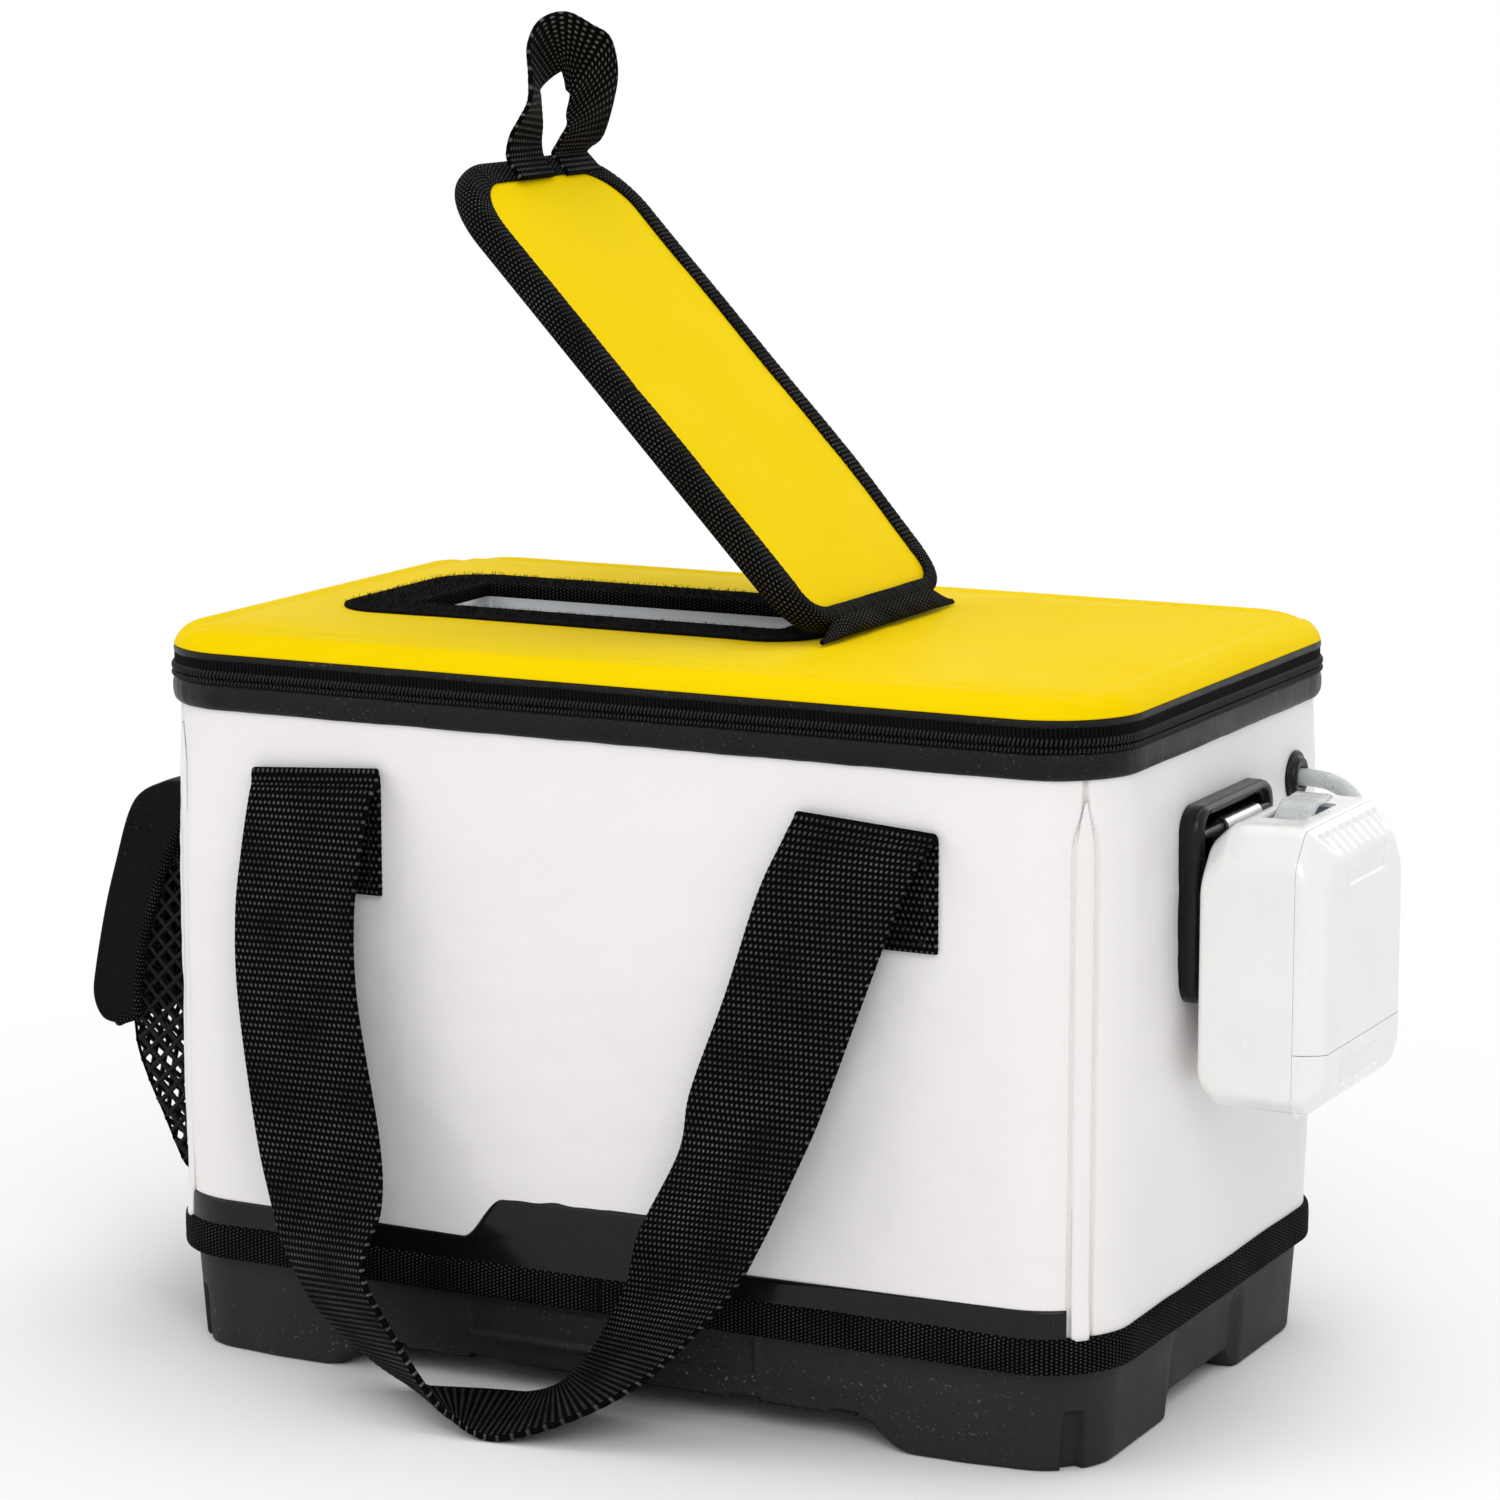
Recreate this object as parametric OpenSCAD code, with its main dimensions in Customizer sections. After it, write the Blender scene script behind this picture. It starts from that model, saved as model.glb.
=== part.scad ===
// Soft-sided insulated bait box with a zipped lid, a lift-up hatch flap, webbing handles,
// a net side pocket and a clip-on battery air pump. Millimetres, +Z up.
// The origin is on the floor under the middle of the body; +X is the air pump's side.

/* [Body] */
// Length of the body, left to right
body_l = 354; // [320:1:400]
// Depth of the body, front to back
body_d = 217; // [190:1:250]
// Corner radius of the body
body_r = 30; // [24:1:36]
// Height of the top edge of the walls
wall_top = 228.6; // [222:0.1:250]
// Thickness of the coated wall fabric
skin = 1.5; // [1:0.1:2]
// Thickness of the wall foam
foam = 8; // [6:0.5:10]
// Thickness of the tank liner
liner = 1.2; // [0.8:0.1:2]
// How far the black trim stands proud of the walls
trim_proud = 2; // [1:0.1:3]

/* [Base] */
// Clear height under the middle of the base
foot_h = 9.5; // [7:0.5:12]
// Thickness of the moulded floor
tray_floor = 3.5; // [2.5:0.5:5]
// Thickness of the moulded side wall
tray_wall = 6; // [4:0.5:7]
// Height of the top edge of the moulded base
tray_top = 40; // [36:1:44]
// How far the feet are drawn in from the walls
foot_inset = 5; // [3:0.5:7]
// Half length of the flat top of the front arch
arch_half = 90; // [70:1:100]
// Half length of the flat top of the side arch
side_arch_half = 24; // [18:1:30]
// Width of the binding tape over the base joint
band_h = 11.6; // [9:0.1:14]
// Thickness of the foam under the tank
floor_foam_t = 12; // [8:1:15]

/* [Lid] */
// Height of the black rim below the zip
rim_lower_h = 9.8; // [8:0.1:12]
// Height of the black rim above the zip
rim_upper_h = 8.5; // [7:0.1:12]
// Gap between the lid and the body
split_gap = 0.4; // [0.3:0.1:0.8]
// Rise of the padded lid above its rim
crown_h = 7.9; // [6:0.1:12]
// Length of the hatch opening
hatch_l = 144; // [120:1:160]
// Width of the hatch opening
hatch_w = 54; // [40:1:60]
// Distance of the middle of the hatch to the left of the middle of the lid
hatch_shift = 47; // [40:1:52]
// Width of the fastener strip round the hatch
loop_w = 20; // [14:1:20]

/* [Flap] */
// Length of the hatch flap from its hinge
flap_len = 200; // [190:1:210]
// Width of the hatch flap
flap_w = 110; // [104:1:116]
// Thickness of the hatch flap
flap_t = 9; // [8:0.5:10]
// Angle at which the flap stands open
flap_open = 46.5; // [30:0.5:60]
// Width of the flap's binding on each face
flap_band = 10; // [8:0.5:12]

/* [Handles] */
// Width of the handle webbing
handle_w = 50; // [38:1:52]
// Thickness of the handle webbing
handle_t = 2.5; // [1.5:0.1:3]
// Distance between the middles of a handle's two ends
handle_span = 205.5; // [190:0.5:220]
// Height of the top of the sewn ends
patch_top = 208; // [200:1:215]
// Length of the sewn ends
patch_h = 39; // [30:1:45]

/* [Side pocket] */
// Width of the net pocket
pocket_w = 160; // [140:1:160]
// Distance between the net's crossings
net_pitch = 13; // [12:0.5:20]
// Width of the net's strands
net_strand = 1.6; // [1.2:0.1:2.4]

/* [Air pump] */
// Width of the pump case
pump_w = 82; // [76:1:86]
// Depth of the pump case
pump_d = 43; // [42:0.5:48]
// Height of the pump case
pump_h = 94; // [93:0.5:100]
// Wall thickness of the pump case
pump_wall = 2; // [1.5:0.1:2.5]
// Width of the bracket frame
bracket_w = 76; // [70:1:84]
// Height of the bracket frame
bracket_h = 66; // [62:1:72]
// Depth of the bracket frame
bracket_d = 7.5; // [7:0.1:8.5]
// Outside diameter of the air tube
tube_d = 6; // [4:0.5:6.4]

/* [Hidden] */
eps = 0.01;
seat = 0.1;
corner_steps = 8;

// Levels of the body
floor_top = foot_h + tray_floor;
tank_floor = floor_top + floor_foam_t;
band_low = tray_top - 5.4;
band_high = band_low + band_h;
rim_top = wall_top + rim_lower_h;
lid_low = rim_top + split_gap;
lid_edge = lid_low + rim_upper_h;
lid_top = lid_edge + crown_h;
lid_skin = 1.5;
lid_liner_t = 1.2;
foam_top = rim_top - 2.2;
foam_inner = skin + foam;
tank_inset = foam_inner + liner;

// Hatch and flap
loop_t = 1.2;
sleeve_t = 1.2;
hatch_bind_h = 4;
hatch_x0 = -hatch_shift - hatch_l / 2;
hatch_x1 = -hatch_shift + hatch_l / 2;
flap_clear = 0.4;
flap_axis_x = hatch_x1 + loop_w - 0.4;
flap_axis_z = lid_top + loop_t + flap_clear;
flap_bevel = 0.611 * flap_t;
flap_tip_r = 29;
flap_root_r = 13;
flap_skin = 1;
flap_root_in = 7;
tip_x = flap_axis_x - flap_len * cos(flap_open) + flap_t * sin(flap_open);
tip_z = flap_axis_z + flap_len * sin(flap_open) + flap_t * cos(flap_open);

// Rounded rectangle in the plane, centred
module rounded(l, d, r) {
    square([l - 2 * r, d], center = true);
    square([l, d - 2 * r], center = true);
    for (sx = [-1, 1], sy = [-1, 1])
        translate([sx * (l / 2 - r), sy * (d / 2 - r)])
            circle(r = r, $fn = 48);
}

// Solid of the body's outline, drawn in by inset, between two heights
module layer(inset, z0, z1)
    translate([0, 0, z0])
        linear_extrude(z1 - z0)
            rounded(body_l - 2 * inset, body_d - 2 * inset, body_r - inset);

// Wall of the body's outline between two insets
module wall(outer, inner, z0, z1)
    difference() {
        layer(outer, z0, z1);
        layer(inner, z0 - 1, z1 + 1);
    }

// Points round a rounded rectangle at height z, anticlockwise from above
function ring_points(l, d, r, z) = [
    for (q = [0 : 3], i = [0 : corner_steps])
        let (a = q * 90 + i * 90 / corner_steps,
             sx = (q == 0 || q == 3) ? 1 : -1,
             sy = (q < 2) ? 1 : -1)
        [sx * (l / 2 - r) + r * cos(a), sy * (d / 2 - r) + r * sin(a), z]];

// Closed skin over a stack of rings that have n points each
module loft(rings) {
    n = len(rings[0]);
    last = len(rings) - 1;
    points = [for (ring = rings) for (p = ring) p];
    sides = [for (k = [0 : last - 1], j = [0 : n - 1])
        [k * n + j, (k + 1) * n + j, (k + 1) * n + (j + 1) % n, k * n + (j + 1) % n]];
    bottom = [for (j = [0 : n - 1]) j];
    top = [for (j = [n - 1 : -1 : 0]) last * n + j];
    polyhedron(points, concat([bottom], sides, [top]), convexity = 6);
}

// Catmull-Rom curve through the list p, which may hold vectors of any length
function between(a, b, c, d, t) =
    0.5 * ((2 * b) + (c - a) * t + (2 * a - 5 * b + 4 * c - d) * t * t
        + (3 * b - a - 3 * c + d) * t * t * t);
function smooth(p, steps) = concat(
    [for (i = [0 : len(p) - 2], s = [0 : steps - 1])
        between(p[max(i - 1, 0)], p[i], p[i + 1], p[min(i + 2, len(p) - 1)], s / steps)],
    [p[len(p) - 1]]);
function unit(v) = v / norm(v);

// Flat strap of thickness t whose two edges are given as a list of [left, right] points
module ribbon(edges, t) {
    last = len(edges) - 1;
    middle = [for (e = edges) (e[0] + e[1]) / 2];
    rings = [for (i = [0 : last])
        let (along = unit(middle[min(i + 1, last)] - middle[max(i - 1, 0)]),
             n = unit(cross(along, edges[i][1] - edges[i][0])) * t / 2)
        [edges[i][0] + n, edges[i][1] + n, edges[i][1] - n, edges[i][0] - n]];
    loft(rings);
}

// Band of width t along a line in the plane
function turned(v) = [-v[1], v[0]];
function side_of(line, i, t) =
    let (last = len(line) - 1)
    line[i] + turned(unit(line[min(i + 1, last)] - line[max(i - 1, 0)])) * t;
function band(line, t) = concat(
    [for (i = [0 : len(line) - 1]) side_of(line, i, t / 2)],
    [for (i = [len(line) - 1 : -1 : 0]) side_of(line, i, -t / 2)]);

// Turns a drawing in (y, z) into a solid that runs along +X from x
module along_x(x, length)
    translate([x, 0, 0]) rotate([90, 0, 90]) linear_extrude(length) children();

// Turns a drawing in (x, z) into a solid that runs along +Y from y
module along_y(y, length)
    translate([0, y + length, 0]) rotate([90, 0, 0]) linear_extrude(length) children();

// ---- Base ----

// Opening under the base: flat top, with S-curved ends that run down to the floor
module arch(half, run, rise) {
    steps = 6;
    right = [for (i = [0 : steps]) [half + run * i / steps, rise * (1 + cos(180 * i / steps)) / 2]];
    left = [for (i = [steps : -1 : 0]) [-right[i][0], right[i][1]]];
    polygon(concat(left, right, [[half + run, -1], [-half - run, -1]]));
}

foot_pocket = [46, 50];
plate_recess = [107, 13];
plate_z = 20;

module base_tray() {
    color("#2f3032")
    difference() {
        union() {
            hull() {
                layer(foot_inset, 0, 1);
                layer(foot_inset / 2, band_low - 1, band_low);
            }
            layer(0, band_low, tray_top);
        }
        layer(tray_wall, floor_top, tray_top + 1);
        along_y(-body_d, 2 * body_d) arch(arch_half, 19, foot_h);
        along_x(-body_l, 2 * body_l) arch(side_arch_half, 8, foot_h - 2);
        for (sx = [-1, 1], sy = [-1, 1])
            translate([sx * (body_l / 2 - 38), sy * (body_d / 2 - 42), 3])
                linear_extrude(floor_top) rounded(foot_pocket[0], foot_pocket[1], 10);
        for (sy = [-1, 1])
            translate([-plate_recess[0] / 2, sy * (body_d / 2 - 3.4) - 1, plate_z])
                cube([plate_recess[0], 2, plate_recess[1]]);
    }
}

module base_binding() {
    color("#1b1b1c")
    wall(-trim_proud, -seat, band_low, band_high);
}

// ---- Walls and tank ----

grommet_y = 64.5;
grommet_z = 203;
grommet_r = 5.5;
bracket_y = -5;
bracket_z = 177;
rivet_dy = 26;
rivet_dz = 19;
rivet_r = 1.5;

module grommet_bore(r) {
    translate([body_l / 2 - tank_inset - 5, grommet_y, grommet_z])
        rotate([0, 90, 0]) cylinder(r = r, h = tank_inset + 10, $fn = 48);
}

module rivet_bores()
    for (sy = [-1, 1], sz = [-1, 1])
        translate([body_l / 2 - skin - 1, bracket_y + sy * rivet_dy, bracket_z + sz * rivet_dz])
            rotate([0, 90, 0]) cylinder(r = rivet_r + seat, h = skin + 3.5, $fn = 24);

module outer_shell() {
    color("#eeeae8")
    difference() {
        wall(0, skin, tray_top, wall_top);
        grommet_bore(grommet_r + seat);
        rivet_bores();
    }
}

skirt_t = 0.6;
skirt_low = 9;
skirt_tab = 24;
skirt_tab_half = 38;
skirt_tab_run = 16;
skirt_end = 16;
skirt_end_rise = 3;

// Right half of the skirt's outline in (x, z), from its foot to the middle tab
skirt_half = [[body_l / 2 - skirt_end, band_high - 1],
              [body_l / 2 - skirt_end, band_high + skirt_low + skirt_end_rise],
              [skirt_tab_half + skirt_tab_run, band_high + skirt_low],
              [skirt_tab_half, band_high + skirt_tab]];

module front_skirt() {
    color("#141414")
    intersection() {
        wall(-skirt_t - seat, -seat, band_high, band_high + skirt_tab);
        along_y(-body_d, body_d / 2 + 12)
            polygon(concat([for (p = skirt_half) [-p[0], p[1]]],
                           [for (i = [len(skirt_half) - 1 : -1 : 0]) skirt_half[i]]));
    }
}

piping_w = 6.5;
piping_t = 1.6;

module corner_piping() {
    color("#e6e2e2")
    for (sx = [-1, 1], sy = [-1, 1])
        mirror([sx < 0 ? 1 : 0, 0, 0]) mirror([0, sy < 0 ? 1 : 0, 0])
            translate([body_l / 2 - body_r, body_d / 2 - body_r, band_high + seat])
                rotate([0, 0, 45])
                    translate([body_r + seat, -piping_w / 2, 0])
                        cube([piping_t, piping_w, wall_top - 8 - band_high]);
}

module floor_foam() {
    color("#f2f2ee")
    layer(tray_wall + seat, floor_top, tank_floor);
}

module wall_foam() {
    color("#f2f2ee")
    difference() {
        union() {
            layer(tray_wall + seat, tank_floor, tray_top);
            layer(skin, tray_top, foam_top);
        }
        layer(foam_inner, tank_floor - 1, foam_top + 1);
        grommet_bore(grommet_r + seat);
    }
}

// The tank is welded from a floor sheet, a wall sheet and a flange that covers the foam's top edge
module liner_floor() {
    color("#c4c6c8")
    layer(foam_inner, tank_floor, tank_floor + liner);
}

module inner_liner() {
    color("#c4c6c8")
    difference() {
        wall(foam_inner, tank_inset, tank_floor + liner, foam_top);
        grommet_bore(grommet_r + seat);
    }
}

module liner_flange() {
    color("#c4c6c8")
    wall(skin, tank_inset, foam_top, rim_top - eps);
}

// ---- Rim, zip and lid ----

tooth_proud = 1;
tooth_h = 1.1;

module rim_lower() {
    color("#161616")
    wall(-trim_proud, skin, wall_top, rim_top);
}

module zip_lower_teeth() {
    color("#0c0c0c")
    wall(-trim_proud - tooth_proud, -trim_proud - 0.02, rim_top - tooth_h, rim_top + 0.1);
}

hinge_tape_half = 140;
hinge_tape_t = 0.8;

module lid_hinge_tape() {
    color("#161616")
    translate([-hinge_tape_half, body_d / 2 + trim_proud + 0.02, wall_top])
        cube([2 * hinge_tape_half, hinge_tape_t, rim_lower_h - tooth_h - 0.2]);
}

module rim_upper() {
    color("#161616")
    wall(-trim_proud, skin, lid_low, lid_edge);
}

module zip_upper_teeth() {
    color("#0c0c0c")
    intersection() {
        wall(-trim_proud - tooth_proud, -trim_proud - 0.02, lid_low - 0.1, lid_low + tooth_h);
        translate([-body_l, -body_d, 0]) cube([2 * body_l, 1.5 * body_d - 8, 2 * lid_top]);
    }
}

module hatch_hole(grow, z0, z1)
    translate([hatch_x0 - grow, -hatch_w / 2 - grow, z0])
        cube([hatch_l + 2 * grow, hatch_w + 2 * grow, z1 - z0]);

module lid_liner() {
    color("#c4c6c8")
    difference() {
        layer(skin + seat, lid_low, lid_low + lid_liner_t);
        hatch_hole(sleeve_t + seat, lid_low - 1, lid_top);
    }
}

// The padded top: each step is [inset, share of the rise]
crown_steps = [[0, 0], [1.2, 0.33], [3.5, 0.62], [7, 0.81], [12, 0.89], [24, 0.95], [36, 1]];

module crown(inset, base, drop)
    loft(concat(
        [ring_points(body_l + 2 * trim_proud - 2 * inset, body_d + 2 * trim_proud - 2 * inset,
                     body_r + trim_proud - inset, base)],
        [for (s = crown_steps)
            let (i = inset + s[0])
            ring_points(body_l + 2 * trim_proud - 2 * i, body_d + 2 * trim_proud - 2 * i,
                        max(body_r + trim_proud - i, 1), lid_edge + crown_h * s[1] - drop + eps)]));

module lid_panel() {
    color("#f3d700")
    difference() {
        crown(0, lid_edge, 0);
        crown(lid_skin + trim_proud, lid_edge - 1, lid_skin);
        hatch_hole(sleeve_t + seat, lid_edge - 2, lid_top + 2);
    }
}

module lid_foam() {
    color("#f2f2ee")
    difference() {
        crown(lid_skin + trim_proud + seat, lid_low + lid_liner_t, lid_skin + seat);
        hatch_hole(sleeve_t + seat, lid_low, lid_top + 2);
    }
}

module hatch_sleeve() {
    color("#bfc1c3")
    difference() {
        hatch_hole(sleeve_t, lid_low, lid_top - hatch_bind_h);
        hatch_hole(0, lid_low - 1, lid_top);
    }
}

module hatch_binding() {
    color("#1b1b1c")
    difference() {
        hatch_hole(sleeve_t, lid_top - hatch_bind_h, lid_top);
        hatch_hole(0, lid_low, lid_top + 1);
    }
}

module hatch_loop_ring() {
    color("#101010")
    difference() {
        translate([(hatch_x0 + hatch_x1) / 2 - 3, 0, lid_top + eps])
            linear_extrude(loop_t) rounded(hatch_l + 2 * loop_w + 2, hatch_w + 2 * loop_w + 2, loop_w);
        hatch_hole(0, lid_low, lid_top + 5);
    }
}

module flap_hinge_strip() {
    color("#161616")
    translate([flap_axis_x + 0.6, -flap_w / 2 + 2, lid_top + eps])
        cube([15, flap_w - 4, loop_t]);
}

// ---- Hatch flap ----

// Places a flap drawn closed, hinge line at the origin and tip towards -X
module flap_frame()
    translate([flap_axis_x, 0, flap_axis_z]) rotate([0, flap_open, 0]) children();

// Outline of the flap drawn in by inset, with its hinge end at -root
module flap_outline(inset, root) {
    half = flap_w / 2 - inset;
    tip = -flap_len + inset;
    rt = flap_tip_r - inset;
    rr = max(flap_root_r - inset, 1);
    polygon([[tip, -half + rt], [tip, half - rt], [tip + rt, half], [-root - rr, half],
             [-root, half - rr], [-root, -half + rr], [-root - rr, -half], [tip + rt, -half]]);
    for (s = [-1, 1]) {
        translate([tip + rt, s * (half - rt)]) circle(r = rt, $fn = 48);
        translate([-root - rr, s * (half - rr)]) circle(r = rr, $fn = 48);
    }
}

module flap_layer(inset, root, z0, z1)
    translate([0, 0, z0]) linear_extrude(z1 - z0) flap_outline(inset, root);

module flap_binding() {
    color("#1b1b1c")
    flap_frame() difference() {
        flap_layer(0, 0, 0, flap_t);
        flap_layer(flap_skin, flap_root_in, flap_skin, flap_t - flap_skin);
        flap_layer(flap_band, flap_band + 2, -1, flap_t + 1);
        along_y(-flap_w, 2 * flap_w)
            polygon([[0, 0], [5, -1], [5, flap_t + 1], [-flap_bevel * (1 + 1 / flap_t), flap_t + 1]]);
    }
}

module flap_panel() {
    color("#f3d700")
    flap_frame()
        flap_layer(flap_skin + seat, flap_root_in + seat, flap_t - flap_skin - 1.3, flap_t - flap_skin);
}

module flap_core() {
    color("#f2f2ee")
    flap_frame()
        flap_layer(flap_skin + seat, flap_root_in + seat, flap_skin + 1.2, flap_t - flap_skin - 1.3);
}

module flap_underside() {
    color("#191919")
    flap_frame()
        flap_layer(flap_skin + seat, flap_root_in + seat, flap_skin, flap_skin + 1.2);
}

module flap_hook_strip() {
    color("#101010")
    flap_frame() difference() {
        flap_layer(flap_band + 0.3, flap_band + 2.3, 0, flap_skin);
        translate([hatch_x0 - flap_axis_x, -hatch_w / 2, -1])
            cube([hatch_l, hatch_w, flap_skin + 2]);
    }
}

// Pull loop on the flap's tip: edge pairs measured from the middle of the tip's top edge
loop_edges = [
    [[2, -12.4, 0.3], [1.2, 12.4, 0.3]], [[4, -12.4, 8], [2, 12.4, 5.5]],
    [[7.5, -12.2, 13.5], [2.5, 12.2, 11]], [[11, -11.6, 20], [2, 11.6, 20]],
    [[10, -9.2, 29], [1, 13.2, 23]], [[7, -4.8, 39], [4, 16.8, 27]],
    [[8, 1.6, 47], [7.5, 18.4, 29]], [[12.5, 13, 50], [8, 19, 26]],
    [[17.5, 22, 45.5], [8, 20, 22.5]], [[22.5, 28.5, 43], [8.5, 19.5, 19]],
    [[21.5, 33, 32.5], [8, 21, 15.5]], [[16, 40.5, 18.5], [10, 17.5, 10.5]],
    [[11.5, 42.4, 6], [9, 17.6, 4]], [[8, 43, -1.5], [4, 18.2, -0.5]]];
loop_strap_t = 2;

module flap_grab_loop() {
    color("#1b1b1c")
    translate([tip_x, 0, tip_z]) {
        left = smooth([for (e = loop_edges) e[0]], 2);
        right = smooth([for (e = loop_edges) e[1]], 2);
        ribbon([for (i = [0 : len(left) - 1]) [left[i], right[i]]], loop_strap_t);
    }
}

// ---- Handles ----

handle_mid = -5.75;
handle_gap = 0.35;
handle_axis_out = 4.1;
handle_axis_z = patch_top + handle_t / 2 + handle_gap;

// Stations of the hanging strap: [share of half the span, distance out from the wall,
// share of the axis height, yaw of the strap's width, tilt of the strap's width]
handle_route = [
    [-1, 4.1, 1, 0, 0], [-1.005, 8, 0.96, -5, 1], [-1.015, 11.5, 0.87, -9, 2], [-1.03, 15.5, 0.773, -12, 3],
    [-1.01, 18.5, 0.64, -10, 3], [-0.9, 21.5, 0.43, -2, 1], [-0.85, 25.5, 0.324, -10, 3],
    [-0.83, 28.5, 0.224, -29, 9], [-0.69, 31, 0.134, -35, 11], [-0.44, 28, 0.026, -51, 8],
    [-0.17, 22.5, 0.007, -73, 0], [0.15, 20.5, 0.083, -43, 8], [0.41, 21.5, 0.234, -23, 7],
    [0.51, 21.5, 0.339, -11, 4], [0.65, 21.5, 0.477, -13, 4], [0.69, 16.5, 0.568, -4, 1],
    [0.8, 13.5, 0.725, -4, 1], [0.9, 9, 0.883, 0, 0], [0.97, 6.8, 0.973, -3, 1], [1, 4.1, 1, 0, 0]];
floor_gap = 0.15;

function strap_edges(s) =
    let (way = [cos(s[3]) * cos(s[4]), sin(s[3]) * cos(s[4]), sin(s[4])] * handle_w / 2,
         low = handle_t / 2 + abs(way[2]) + floor_gap,
         mid = [handle_mid + s[0] * handle_span / 2, -body_d / 2 - s[1],
                max(s[2] * handle_axis_z, low)])
    [mid - way, mid + way];

module handle_strap()
    ribbon([for (s = smooth(handle_route, 3)) strap_edges(s)], handle_t);

module handle_patches()
    for (s = [-1, 1])
        translate([handle_mid + s * handle_span / 2 - handle_w / 2,
                   -body_d / 2 - handle_t - seat, patch_top - patch_h])
            cube([handle_w, handle_t, patch_h]);

module front_handle_patches() {
    color("#17181a")
    handle_patches();
}

module front_handle() {
    color("#17181a")
    handle_strap();
}

module rear_handle_patches() {
    color("#17181a")
    mirror([0, 1, 0]) handle_patches();
}

module rear_handle() {
    color("#17181a")
    mirror([0, 1, 0]) handle_strap();
}

// ---- Left side pocket: drawings in (distance out from the wall, height) ----

net_t = 1;
net_out = 32;
net_bend_z = 100;
net_top_z = 164;
net_foot = [12, 51];
gusset_in = 4;

// Turns a drawing in (out, z) into a solid on the left wall that runs along +Y from y
module on_left(y, length)
    translate([-body_l / 2, y + length, 0]) mirror([1, 0, 0])
        rotate([90, 0, 0]) linear_extrude(length) children();

// Diamonds between the strands over a field of size w by h, from its corner
module diamonds(w, h) {
    half = net_pitch / 2;
    hole = half - net_strand * 0.707;
    for (i = [1 : floor(w / half) - 1], j = [1 : floor(h / half) - 1])
        if ((i + j) % 2 == 0)
            translate([i * half, j * half])
                polygon([[hole, 0], [0, hole], [-hole, 0], [0, -hole]]);
}

module net_sheet(w, h)
    linear_extrude(net_t) difference() {
        square([w, h]);
        translate([(w - floor(w / net_pitch * 2) * net_pitch / 2) / 2,
                   (h - floor(h / net_pitch * 2) * net_pitch / 2) / 2])
            diamonds(w, h);
    }

net_w = pocket_w - 2 * gusset_in;
net_slope = [net_out - net_t / 2 - net_foot[0], net_bend_z - net_foot[1]];

module pocket_net_front() {
    color("#1d1d1d")
    translate([-body_l / 2 - net_out + net_t, net_w / 2, net_bend_z + 3 * seat])
        rotate([90, 0, -90])
            net_sheet(net_w, net_top_z - net_bend_z);
}

module pocket_net_bottom() {
    color("#1d1d1d")
    translate([-body_l / 2 - net_foot[0], net_w / 2, net_foot[1]])
        rotate([0, -atan2(net_slope[0], net_slope[1]), 0])
            rotate([90, 0, -90]) translate([0, 0, -net_t / 2])
                net_sheet(net_w, norm(net_slope));
}

module net_gusset(y) {
    foot = net_foot[1] - 1;
    outline = [[0.3, foot], [net_foot[0], foot], [net_out, net_bend_z], [net_out, net_top_z],
               [0.3, net_top_z + 6]];
    inside = [[2.3, foot + 2], [net_foot[0] - 1, foot + 2], [net_out - 2.2, net_bend_z + 0.5],
              [net_out - 2, net_top_z - 2], [2.3, net_top_z + 3.4]];
    on_left(y, net_t) difference() {
        polygon(outline);
        intersection() {
            polygon(inside);
            translate([0, foot]) diamonds(net_out + net_pitch, net_top_z - foot + net_pitch);
        }
    }
}

module pocket_net_gusset_front() {
    color("#1d1d1d")
    net_gusset(-net_w / 2 - net_t - seat);
}

module pocket_net_gusset_rear() {
    color("#1d1d1d")
    net_gusset(net_w / 2 + seat);
}

// Pocket cover: its line from the seam on the wall, in (distance out, height above its seam)
pocket_seam_z = 197.5;
flap_sheet = smooth([[0.7, 0], [8, -0.5], [16, -2], [28, -10.5], [36, -37.5], [43.4, -70.5],
                     [44.4, -82.5], [40.5, -89.5], [35, -90.5]], 3);
flap_sheet_t = 2.5;
gusset_edge = [[27, -88.5], [24, -62.5], [14, -32.5], [0.7, -7.5]];
gusset_t = 1.5;

module on_pocket_cover(y, length)
    translate([0, 0, pocket_seam_z]) on_left(y, length) children();

module pocket_flap() {
    color("#1a1a1a") {
        on_pocket_cover(-pocket_w / 2 + gusset_t, pocket_w - 2 * gusset_t)
            polygon(band(flap_sheet, flap_sheet_t));
        for (y = [-pocket_w / 2, pocket_w / 2 - gusset_t])
            on_pocket_cover(y, gusset_t)
                polygon(concat([for (i = [0 : len(flap_sheet) - 1]) side_of(flap_sheet, i, flap_sheet_t / 2)],
                               gusset_edge));
    }
}

// ---- Zip slider and pull ----

slider_y = 66;
slider_t = 3;
slider_x = -body_l / 2 - trim_proud - tooth_proud - 0.3;
pull_len = 16;
pull_w = 6;
pull_t = 1.2;
pull_x = slider_x - slider_t - 1.2;

module zip_slider() {
    color("#4a4a4c")
    difference() {
        union() {
            translate([slider_x - slider_t, slider_y - 5, rim_top + split_gap / 2 - 5])
                cube([slider_t, 10, 10]);
            for (s = [-1, 1])
                translate([pull_x - 1.2, slider_y + s * (pull_w / 2 + 1.1) - 0.8, rim_top - 1.6])
                    cube([2.4, 1.6, 3.6]);
        }
        translate([pull_x, slider_y - 6, rim_top + split_gap / 2])
            rotate([-90, 0, 0]) cylinder(r = 0.7, h = 12, $fn = 24);
    }
}

module zip_pull() {
    color("#4a4a4c")
    union() {
        translate([pull_x, slider_y - pull_w / 2 - 1.6, rim_top + split_gap / 2])
            rotate([-90, 0, 0]) cylinder(r = 0.64, h = pull_w + 3.2, $fn = 24);
        translate([pull_x - pull_t / 2, slider_y - pull_w / 2, rim_top + split_gap / 2 - pull_len])
            cube([pull_t, pull_w, pull_len]);
    }
}

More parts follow.
